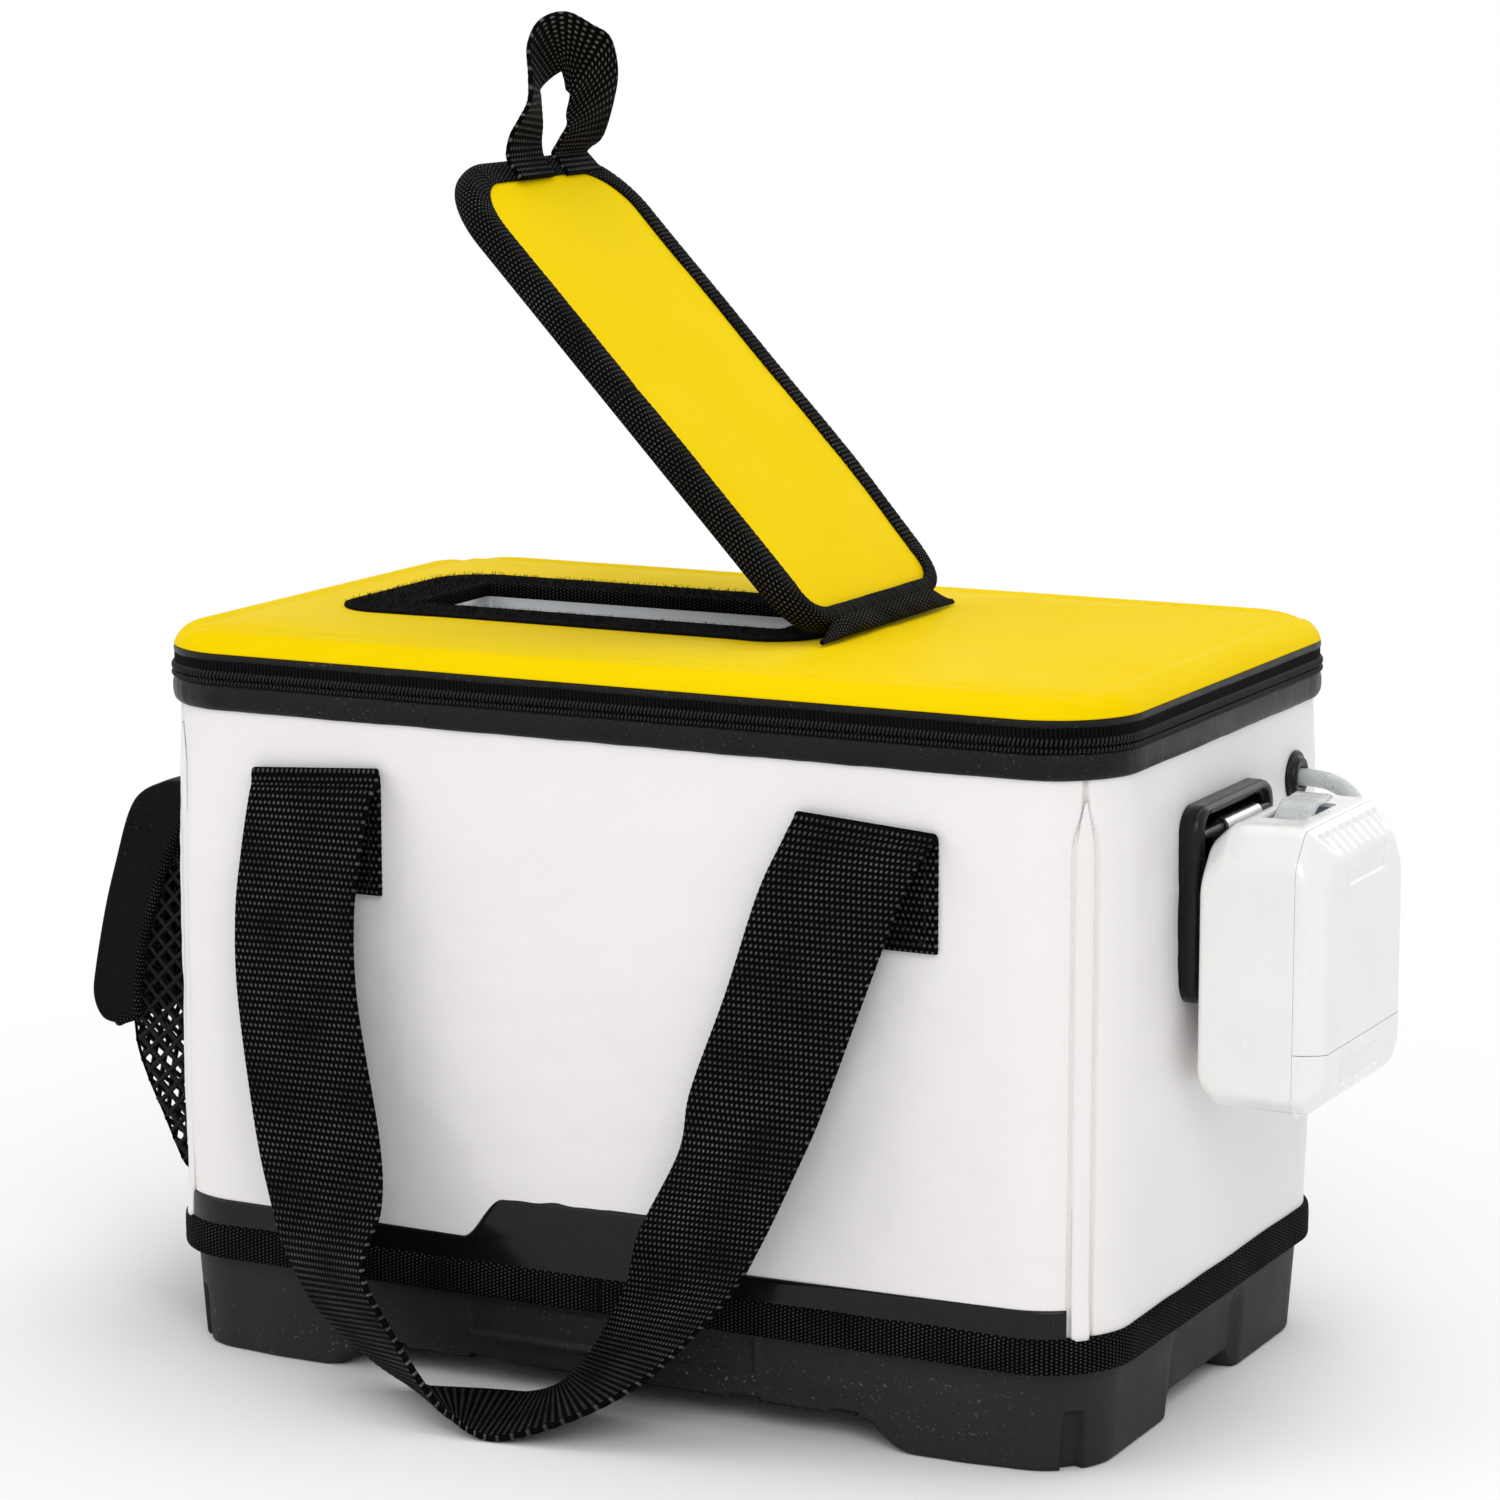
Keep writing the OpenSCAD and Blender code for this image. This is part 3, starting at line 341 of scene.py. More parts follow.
def tube_rows(line: Array, radius: Array | float, sides: int) -> Array:
    """Rings round a line of points.

    Each ring's first direction is the last one's, turned on so that it stays square to the line, and
    the ring's points are the cosine and sine of equal turns times the radius.

    Args:
        line: Points (n, 3).
        radius: One radius or one for each point.
        sides: Points in a ring.

    Returns:
        Points (n, sides, 3).
    """
    along = tangents(line)
    across = np.zeros_like(line)
    start = np.array([0.3, 0.2, 1.0])
    across[0] = unit(np.cross(along[0], start))
    for i in range(1, len(line)):
        across[i] = unit(across[i - 1] - along[i] * np.dot(across[i - 1], along[i]))
    other = np.cross(along, across)
    turn = 2 * math.pi * np.arange(sides) / sides
    size = np.broadcast_to(np.asarray(radius, float), (len(line),))[:, None, None]
    ring = np.cos(turn)[None, :, None] * across[:, None] + np.sin(turn)[None, :, None] * other[:, None]
    return line[:, None] + size * ring


def capped(mesh: Mesh, rows: Array, uv: Array | None = None) -> Mesh:
    """Adds closed rings with a flat cap on the first and the last ring, facing outwards."""
    rows = np.asarray(rows, float)
    n, m = rows.shape[:2]
    ends = np.stack([rows[0].mean(0), rows[-1].mean(0)])
    j = np.arange(m)
    k = (j + 1) % m
    base, top = n * m, n * m + 1
    low = np.stack([np.full(m, base), k, j, j], -1)
    high = np.stack([np.full(m, top), (n - 1) * m + j, (n - 1) * m + k, (n - 1) * m + k], -1)
    body = grid_faces(n, m)
    triangles = np.concatenate([low, high])[:, :3]
    points = np.concatenate([rows.reshape(-1, 3), ends])
    uvs = None if uv is None else np.concatenate([np.asarray(uv, float).reshape(-1, 2), np.zeros((2, 2))])
    start = mesh.count
    mesh.add(points, body, uvs)
    mesh.faces.append(triangles + start)
    return mesh


# ---------------------------------------------------------------- finishes


class Graph:
    """Short ways to place and link the nodes of one tree."""

    def __init__(self, tree: bpy.types.NodeTree) -> None:
        """Keeps the tree."""
        self.tree = tree

    def node(self, kind: str, **settings: object) -> bpy.types.Node:
        """Adds a node; a setting that names an input sets its value or links a socket to it."""
        made = self.tree.nodes.new(kind)
        for key, value in settings.items():
            if hasattr(made, key) and key not in ("inputs", "outputs"):
                setattr(made, key, value)
            else:
                self.put(made, key.replace("_", " "), value)
        return made

    def put(self, node: bpy.types.Node, name: str | int, value: object) -> None:
        """Sets an input's value, or links a socket to it."""
        socket = node.inputs[name]
        if isinstance(value, bpy.types.NodeSocket):
            self.tree.links.new(value, socket)
        else:
            socket.default_value = value

    def math(self, kind: str, a: object, b: object = 0.0, c: object = 0.0) -> bpy.types.NodeSocket:
        """Result of a Math node."""
        made = self.tree.nodes.new("ShaderNodeMath")
        made.operation = kind
        for i, value in enumerate((a, b, c)):
            self.put(made, i, value)
        return made.outputs[0]

    def ramp(self, value: object, low: float, high: float, to_low: float = 0.0, to_high: float = 1.0) -> bpy.types.NodeSocket:
        """Value carried from one range to another, held at its ends."""
        made = self.tree.nodes.new("ShaderNodeMapRange")
        for i, v in enumerate((value, low, high, to_low, to_high)):
            self.put(made, i, v)
        return made.outputs[0]

    def blend(self, share: object, a: object, b: object) -> bpy.types.NodeSocket:
        """Mix of two colours."""
        made = self.tree.nodes.new("ShaderNodeMix")
        made.data_type = "RGBA"
        for key, value in zip((0, 6, 7), (share, a, b)):
            self.put(made, key, value)
        return made.outputs[2]

    def noise(self, where: object, scale: float, detail: float = 3.0, rough: float = 0.5) -> bpy.types.NodeSocket:
        """Height of a noise texture."""
        made = self.node("ShaderNodeTexNoise", Scale=scale, Detail=detail, Roughness=rough)
        self.put(made, "Vector", where)
        return made.outputs[0]


def socket_group(name: str, inputs: dict[str, tuple[str, object]], outputs: dict[str, str]) -> bpy.types.NodeTree:
    """New shader node group with these named inputs, given as kind and default, and outputs."""
    group = bpy.data.node_groups.new(name, "ShaderNodeTree")
    for key, (kind, value) in inputs.items():
        made = group.interface.new_socket(key, in_out="INPUT", socket_type=kind)
        if value is not None:
            made.default_value = value
    for key, kind in outputs.items():
        group.interface.new_socket(key, in_out="OUTPUT", socket_type=kind)
    return group


def rib_group() -> bpy.types.NodeTree:
    """Woven ribs: rows across the tape, each row a line of rounded yarns, with every other row moved half a yarn.

    Height is the product of a cosine across the row and a cosine along it, each squared; Glint is the
    top of that height, where a yarn catches the light; Wander bends the rows a little.
    """
    tree = socket_group(
        "woven_ribs",
        {
            "Vector": ("NodeSocketVector", None),
            "Row": ("NodeSocketFloat", 2.3),
            "Yarn": ("NodeSocketFloat", 1.9),
            "Wander": ("NodeSocketFloat", 0.3),
        },
        {"Height": "NodeSocketFloat", "Glint": "NodeSocketFloat"},
    )
    g = Graph(tree)
    enter, leave = g.node("NodeGroupInput"), g.node("NodeGroupOutput")
    split = g.node("ShaderNodeSeparateXYZ")
    g.put(split, 0, enter.outputs["Vector"])
    stir = g.noise(enter.outputs["Vector"], 0.12, 2.0)
    stir = g.math("MULTIPLY", g.math("SUBTRACT", stir, 0.5), enter.outputs["Wander"])
    u = g.math("DIVIDE", g.math("ADD", split.outputs[0], stir), enter.outputs["Row"])
    row = g.math("FLOOR", u)
    shift = g.math("MULTIPLY", g.math("MODULO", row, 2.0), 0.5)
    v = g.math("ADD", g.math("DIVIDE", split.outputs[1], enter.outputs["Yarn"]), shift)
    across = g.math("ABSOLUTE", g.math("SINE", g.math("MULTIPLY", u, math.pi)))
    along = g.math("ABSOLUTE", g.math("SINE", g.math("MULTIPLY", v, math.pi)))
    height = g.math("MULTIPLY", g.math("POWER", across, 0.7), g.math("ADD", g.math("MULTIPLY", along, 0.75), 0.25))
    g.put(leave, "Height", height)
    g.put(leave, "Glint", g.ramp(height, 0.72, 0.98))
    return tree


def grain_group() -> bpy.types.NodeTree:
    """Leather or moulded grain: rounded cells with soft valleys over a slower unevenness.

    Height is the distance to the nearest cell edge, held at the top, plus a share of noise; Shade is
    the slow noise alone, for colour and gloss.
    """
    tree = socket_group(
        "surface_grain",
        {"Vector": ("NodeSocketVector", None), "Cell": ("NodeSocketFloat", 900.0), "Uneven": ("NodeSocketFloat", 0.3)},
        {"Height": "NodeSocketFloat", "Shade": "NodeSocketFloat"},
    )
    g = Graph(tree)
    enter, leave = g.node("NodeGroupInput"), g.node("NodeGroupOutput")
    cells = g.node("ShaderNodeTexVoronoi", feature="DISTANCE_TO_EDGE")
    g.put(cells, "Vector", enter.outputs["Vector"])
    g.put(cells, "Scale", enter.outputs["Cell"])
    slow = g.noise(enter.outputs["Vector"], 60.0, 4.0)
    fine = g.node("ShaderNodeTexNoise", Detail=2.0)
    g.put(fine, "Vector", enter.outputs["Vector"])
    g.put(fine, "Scale", enter.outputs["Cell"])
    mixed = g.math("ADD", g.ramp(cells.outputs[0], 0.0, 0.25), g.math("MULTIPLY", fine.outputs[0], enter.outputs["Uneven"]))
    g.put(leave, "Height", mixed)
    g.put(leave, "Shade", slow)
    return tree


def scrim_group() -> bpy.types.NodeTree:
    """Weave that shows through a coated cloth: two sets of crossing threads, laid at a slant, as a low relief."""
    tree = socket_group(
        "coated_scrim",
        {"Vector": ("NodeSocketVector", None), "Pitch": ("NodeSocketFloat", 1.1)},
        {"Height": "NodeSocketFloat", "Shade": "NodeSocketFloat"},
    )
    g = Graph(tree)
    enter, leave = g.node("NodeGroupInput"), g.node("NodeGroupOutput")
    split = g.node("ShaderNodeSeparateXYZ")
    g.put(split, 0, enter.outputs["Vector"])
    flat = g.math("ADD", split.outputs[0], split.outputs[1])
    rate = g.math("DIVIDE", 2000 * math.pi, enter.outputs["Pitch"])
    one = g.math("SINE", g.math("MULTIPLY", g.math("ADD", flat, g.math("MULTIPLY", split.outputs[2], 0.6)), rate))
    two = g.math("SINE", g.math("MULTIPLY", g.math("SUBTRACT", g.math("MULTIPLY", flat, 0.6), split.outputs[2]), rate))
    g.put(leave, "Height", g.math("MULTIPLY", g.math("ADD", one, two), 0.5))
    g.put(leave, "Shade", g.noise(enter.outputs["Vector"], 22.0, 4.0))
    return tree


def dust_group() -> bpy.types.NodeTree:
    """Handling marks: scattered pale specks over a slow cloud, for use as a mask."""
    tree = socket_group(
        "handling_dust",
        {"Vector": ("NodeSocketVector", None), "Amount": ("NodeSocketFloat", 0.5)},
        {"Mask": "NodeSocketFloat"},
    )
    g = Graph(tree)
    enter, leave = g.node("NodeGroupInput"), g.node("NodeGroupOutput")
    specks = g.ramp(g.noise(enter.outputs["Vector"], 900.0, 1.0), 0.66, 0.8)
    cloud = g.ramp(g.noise(enter.outputs["Vector"], 25.0, 3.0), 0.4, 0.7)
    g.put(leave, "Mask", g.math("MULTIPLY", g.math("MULTIPLY", specks, cloud), enter.outputs["Amount"]))
    return tree


class Groups:
    """The shared node groups, each built once."""

    def __init__(self) -> None:
        """Builds the four groups."""
        self.ribs = rib_group()
        self.grain = grain_group()
        self.scrim = scrim_group()
        self.dust = dust_group()


class Where(Enum):
    """Coordinates that a pattern reads."""

    OBJECT = "Object"
    MAP = "UV"


@dataclass(frozen=True)
class Finish:
    """What all finishes share: a name, a colour and a gloss, on a Principled shader."""

    name: str
    colour: Colour
    roughness: float = 0.5
    where: Where = Where.OBJECT
    mirror: float = 0.5

    def start(self) -> tuple[bpy.types.Material, Graph, bpy.types.Node, bpy.types.NodeSocket]:
        """Makes the material with its shader and coordinates."""
        material = bpy.data.materials.new(self.name)
        material.use_nodes = True
        g = Graph(material.node_tree)
        shader = next(n for n in material.node_tree.nodes if n.type == "BSDF_PRINCIPLED")
        shader.inputs["Base Color"].default_value = (*self.colour, 1)
        shader.inputs["Roughness"].default_value = self.roughness
        shader.inputs["Specular IOR Level"].default_value = self.mirror
        material.diffuse_color = (*self.colour, 1)
        place = g.node("ShaderNodeTexCoord").outputs[self.where.value]
        return material, g, shader, place

    @staticmethod
    def relief(g: Graph, shader: bpy.types.Node, height: object, depth: float, strength: float = 1.0) -> None:
        """Feeds a height, depth metres deep, to the shader's normal through a Bump node."""
        made = g.node("ShaderNodeBump", Strength=strength, Distance=depth)
        g.put(made, "Height", height)
        g.put(shader, "Normal", made.outputs[0])

    @staticmethod
    def group(g: Graph, tree: bpy.types.NodeTree, **values: object) -> bpy.types.Node:
        """Places a shared group with its own values."""
        made = g.node("ShaderNodeGroup", node_tree=tree)
        for key, value in values.items():
            g.put(made, key, value)
        return made


@dataclass(frozen=True)
class Woven(Finish):
    """Ribbed webbing or tape. Its UVs are millimetres along and across."""

    row: float = 2.3
    yarn: float = 1.9
    glint: float = 0.3
    depth: float = 0.0004

    def make(self, groups: Groups) -> bpy.types.Material:
        """Ribs as relief, with painted shade in the valleys between the ribs and a painted highlight on the yarns'
        tops, patchy over a slow cloud.
        """
        material, g, shader, place = self.start()
        ribs = self.group(g, groups.ribs, Vector=place, Row=self.row, Yarn=self.yarn)
        # Painted highlight: a pale grey is laid on the yarns' tops where Glint is high, in patches of a slow cloud.
        cloud = g.ramp(g.noise(place, 0.05, 3.0), 0.3, 0.75, 0.25, 1.0)
        share = g.math("MULTIPLY", g.math("MULTIPLY", ribs.outputs["Glint"], cloud), self.glint)
        # Painted shade: the valleys between the ribs are drawn at a third of the colour.
        dark = (*(c * 0.3 for c in self.colour), 1)
        base = g.blend(ribs.outputs["Height"], dark, (*self.colour, 1))
        g.put(shader, "Base Color", g.blend(share, base, (0.5, 0.49, 0.47, 1)))
        self.relief(g, shader, ribs.outputs["Height"], self.depth, 0.9)
        return material


@dataclass(frozen=True)
class Coated(Finish):
    """Vinyl-coated cloth whose weave shows faintly through."""

    pitch: float = 1.1
    depth: float = 0.00003
    tint: Colour = (0.8, 0.78, 0.77)
    tint_share: float = 0.12

    def make(self, groups: Groups) -> bpy.types.Material:
        """Weave as a very low relief, with a slow change of tone and gloss."""
        material, g, shader, place = self.start()
        scrim = self.group(g, groups.scrim, Vector=place, Pitch=self.pitch)
        share = g.ramp(scrim.outputs["Shade"], 0.35, 0.7, 0.0, self.tint_share)
        g.put(shader, "Base Color", g.blend(share, (*self.colour, 1), (*self.tint, 1)))
        g.put(shader, "Roughness", g.ramp(scrim.outputs["Shade"], 0.3, 0.7, self.roughness - 0.05, self.roughness + 0.06))
        self.relief(g, shader, scrim.outputs["Height"], self.depth, 0.6)
        return material


@dataclass(frozen=True)
class Grained(Finish):
    """Leather-like vinyl, or plastic from a grained mould."""

    cell: float = 900.0
    depth: float = 0.0001
    pale: float = 0.25
    coat: float = 0.0
    dust: float = 0.3

    def make(self, groups: Groups) -> bpy.types.Material:
        """Cells as relief, with a slow tone and a few pale specks."""
        material, g, shader, place = self.start()
        grain = self.group(g, groups.grain, Vector=place, Cell=self.cell)
        dust = self.group(g, groups.dust, Vector=place, Amount=self.dust)
        bright = (*(min(1.0, c * (1 + self.pale) + 0.01 * self.pale) for c in self.colour), 1)
        tone = g.blend(grain.outputs["Shade"], (*self.colour, 1), bright)
        g.put(shader, "Base Color", g.blend(dust.outputs["Mask"], tone, (0.4, 0.38, 0.34, 1)))
        g.put(shader, "Roughness", g.ramp(grain.outputs["Shade"], 0.3, 0.7, self.roughness - 0.06, self.roughness + 0.06))
        shader.inputs["Coat Weight"].default_value = self.coat
        shader.inputs["Coat Roughness"].default_value = 0.2
        self.relief(g, shader, grain.outputs["Height"], self.depth, 0.7)
        return material


@dataclass(frozen=True)
class Twill(Finish):
    """Glossy patch with a printed diagonal twill under its clear face."""

    pitch: float = 2.4

    def make(self, groups: Groups) -> bpy.types.Material:
        """Alternate dark and paler diagonal floats under a coat."""
        material, g, shader, place = self.start()
        split = g.node("ShaderNodeSeparateXYZ")
        g.put(split, 0, place)
        rate = 2000 * math.pi / self.pitch
        flat = g.math("SINE", g.math("MULTIPLY", g.math("ADD", split.outputs[0], split.outputs[2]), rate))
        rise = g.math("SINE", g.math("MULTIPLY", g.math("SUBTRACT", split.outputs[0], split.outputs[2]), rate))
        share = g.ramp(g.math("MULTIPLY", flat, rise), -0.2, 0.8, 0.0, 0.6)
        g.put(shader, "Base Color", g.blend(share, (*self.colour, 1), (0.014, 0.013, 0.011, 1)))
        shader.inputs["Coat Weight"].default_value = 0.3
        shader.inputs["Coat Roughness"].default_value = 0.12
        self.relief(g, shader, share, 0.00005, 0.4)
        return material


@dataclass(frozen=True)
class Fuzzy(Finish):
    """Brushed loop or hook pile."""

    def make(self, groups: Groups) -> bpy.types.Material:
        """Tangled fine relief with a soft sheen, and a painted highlight where the relief stands high."""
        material, g, shader, place = self.start()
        height = g.noise(place, 2600.0, 4.0, 0.8)
        # Painted highlight: the pile is drawn four times paler where the relief's height is high.
        bright = (*(c * 4 + 0.008 for c in self.colour), 1)
        g.put(shader, "Base Color", g.blend(g.ramp(height, 0.5, 0.75), (*self.colour, 1), bright))
        shader.inputs["Sheen Weight"].default_value = 0.02
        self.relief(g, shader, height, 0.0008, 1.0)
        return material


@dataclass(frozen=True)
class Moulded(Finish):
    """Smooth gloss or satin plastic, or rubber."""

    coat: float = 0.2
    uneven: float = 0.00002
    subsurface: float = 0.0

    def make(self, groups: Groups) -> bpy.types.Material:
        """A trace of unevenness and of handling marks over a plain colour."""
        material, g, shader, place = self.start()
        dust = self.group(g, groups.dust, Vector=place, Amount=0.04)
        slow = g.noise(place, 35.0, 3.0)
        shade = (*(c * 0.94 for c in self.colour), 1)
        tone = g.blend(g.ramp(slow, 0.35, 0.7, 0.0, 0.6), (*self.colour, 1), shade)
        g.put(shader, "Base Color", g.blend(dust.outputs["Mask"], tone, (*(0.8 * c + 0.06 for c in self.colour), 1)))
        g.put(shader, "Roughness", g.ramp(slow, 0.3, 0.7, self.roughness - 0.04, self.roughness + 0.05))
        shader.inputs["Coat Weight"].default_value = self.coat
        shader.inputs["Coat Roughness"].default_value = 0.15
        shader.inputs["Subsurface Weight"].default_value = self.subsurface
        shader.inputs["Subsurface Scale"].default_value = 0.002
        self.relief(g, shader, g.noise(place, 180.0, 2.0), self.uneven, 0.5)
        return material


@dataclass(frozen=True)
class Metal(Finish):
    """Brushed or plated metal."""

    brushed: float = 0.00002

    def make(self, groups: Groups) -> bpy.types.Material:
        """Fine lines along Z as relief, and a slow change of gloss."""
        material, g, shader, place = self.start()
        shader.inputs["Metallic"].default_value = 1.0
        stretch = g.node("ShaderNodeMapping")
        g.put(stretch, "Vector", place)
        stretch.inputs["Scale"].default_value = (1, 1, 0.03)
        lines = g.noise(stretch.outputs[0], 2500.0, 2.0)
        slow = g.noise(place, 70.0, 3.0)
        g.put(shader, "Base Color", g.blend(g.ramp(slow, 0.4, 0.7, 0.0, 0.4), (*self.colour, 1), (*(c * 0.8 for c in self.colour), 1)))
        g.put(shader, "Roughness", g.ramp(lines, 0.3, 0.7, self.roughness - 0.05, self.roughness + 0.08))
        self.relief(g, shader, lines, self.brushed, 0.4)
        return material


@dataclass(frozen=True)
class Clear(Finish):
    """Translucent moulded or extruded plastic."""

    clear: float = 0.7

    def make(self, groups: Groups) -> bpy.types.Material:
        """Cloudy glass-like plastic with a slow change of gloss."""
        material, g, shader, place = self.start()
        shader.inputs["Transmission Weight"].default_value = self.clear
        shader.inputs["IOR"].default_value = 1.42
        slow = g.noise(place, 120.0, 3.0)
        g.put(shader, "Roughness", g.ramp(slow, 0.3, 0.7, self.roughness, self.roughness + 0.1))
        self.relief(g, shader, slow, 0.00005, 0.3)
        return material


@dataclass(frozen=True)
class Porous(Finish):
    """Foam or sintered stone with open pores."""

    cell: float = 700.0
    depth: float = 0.0003

    def make(self, groups: Groups) -> bpy.types.Material:
        """Round pores as relief, with painted shade inside them."""
        material, g, shader, place = self.start()
        cells = g.node("ShaderNodeTexVoronoi", Scale=self.cell)
        g.put(cells, "Vector", place)
        pore = g.ramp(cells.outputs[0], 0.0, 0.5)
        # Painted shade: each pore is drawn at 0.7 of the colour towards its middle.
        g.put(shader, "Base Color", g.blend(pore, (*(c * 0.7 for c in self.colour), 1), (*self.colour, 1)))
        self.relief(g, shader, pore, self.depth, 0.6)
        return material


class Finishes:
    """Every finish of the object, made once."""

    def __init__(self) -> None:
        """Builds the shared groups and the materials."""
        groups = Groups()
        book: list[Finish] = [
            Coated("white_coated_cloth", (0.86, 0.84, 0.83), 0.36, mirror=0.3),
            Coated("yellow_coated_cloth", (0.90, 0.645, 0.0), 0.5, mirror=0.015, tint=(0.84, 0.58, 0.0), tint_share=0.25),
            Woven("handle_webbing", (0.004, 0.004, 0.004), 0.7, Where.MAP, mirror=0.02, glint=0.26),
            Woven("binding_tape", (0.004, 0.004, 0.004), 0.75, Where.MAP, mirror=0.02, row=1.5, yarn=1.2, glint=0.16, depth=0.0003),
            Woven("flap_tape", (0.004, 0.004, 0.004), 0.7, Where.MAP, mirror=0.02, row=1.7, yarn=1.4, glint=0.22, depth=0.0003),
            Moulded("black_thread", (0.008, 0.008, 0.008), 0.6, mirror=0.15, coat=0.0),
            Woven("zip_tape", (0.004, 0.004, 0.004), 0.6, Where.MAP, mirror=0.05, row=1.4, yarn=3.0, glint=0.12, depth=0.0003),
            Grained("rim_leathercloth", (0.003, 0.0028, 0.0026), 0.34, mirror=0.14, cell=1100.0, depth=0.00012, pale=0.5, dust=0.25),
            Grained("base_moulding", (0.014, 0.0143, 0.0147), 0.55, mirror=0.16, cell=1500.0, depth=0.00008, pale=0.35, dust=0.5),
            Grained("cover_cloth", (0.003, 0.003, 0.003), 0.5, mirror=0.03, cell=1400.0, depth=0.00012, pale=0.4, dust=0.1),
            Twill("twill_patch", (0.002, 0.002, 0.002), 0.3, mirror=0.1),
            Fuzzy("loop_pile", (0.003, 0.003, 0.003), 0.85, mirror=0.01),
            Moulded("coil_plastic", (0.005, 0.005, 0.005), 0.35, mirror=0.22, coat=0.0),
            Moulded("net_cord", (0.004, 0.004, 0.004), 0.5, mirror=0.15, coat=0.0),
            Moulded("liner_film", (0.52, 0.54, 0.56), 0.3, coat=0.3),
            Moulded("bracket_moulding", (0.004, 0.004, 0.0043), 0.3, mirror=0.22, coat=0.0),
            Moulded("case_moulding", (0.87, 0.87, 0.86), 0.24, coat=0.4, subsurface=0.05),
            # Painted shadow: the blue-grey of the switch cup stands for the shade under the clear lever.
            Moulded("switch_well", (0.30, 0.37, 0.45), 0.35),
            Moulded("grey_moulding", (0.13, 0.135, 0.14), 0.45),
            Moulded("soft_rubber", (0.004, 0.004, 0.004), 0.35, mirror=0.22, coat=0.0),
            Moulded("cell_jacket", (0.02, 0.022, 0.026), 0.25, coat=0.5),
            Metal("plated_spring", (0.55, 0.56, 0.58), 0.22),
            Metal("brushed_steel", (0.5, 0.51, 0.52), 0.32),
            Metal("dark_steel", (0.09, 0.09, 0.095), 0.35),
            Metal("contact_brass", (0.75, 0.55, 0.25), 0.3),
            Clear("clear_lever", (0.88, 0.9, 0.89), 0.22, clear=0.6),
            Clear("tube_silicone", (0.8, 0.83, 0.84), 0.25, clear=0.55),
            Porous("cut_foam", (0.85, 0.84, 0.8), 0.8, cell=900.0),
            Porous("air_stone", (0.16, 0.26, 0.38), 0.85),
        ]
        self.made = {finish.name: finish.make(groups) for finish in book}

    def __getitem__(self, name: str) -> bpy.types.Material:
        """The material of that name."""
        return self.made[name]


# ---------------------------------------------------------------- the box itself


@dataclass(frozen=True)
class Levels:
    """Sizes of the body, as the frame's source has them."""

    length: float = 354
    depth: float = 217
    radius: float = 30
    band_low: float = 34.6
    lid_edge: float = 247.3
    lid_top: float = 255.2

    @property
    def outline(self) -> Outline:
        """The walls' outline in plan."""
        return Outline(self.length, self.depth, self.radius)


LEVELS = Levels()


def around(s: Array, out: Array | float, z: Array | float) -> Array:
    """Points at distances s round the body, out from the walls, at height z; out and z may be rows by columns."""
    base, normal = LEVELS.outline.at(s)
    out, z = np.asarray(out, float), np.asarray(z, float)
    shape = np.broadcast(out, z, s).shape
    out, z = np.broadcast_to(out, shape), np.broadcast_to(z, shape)
    plan = base + out[..., None] * normal
    return np.concatenate([plan, z[..., None]], -1)


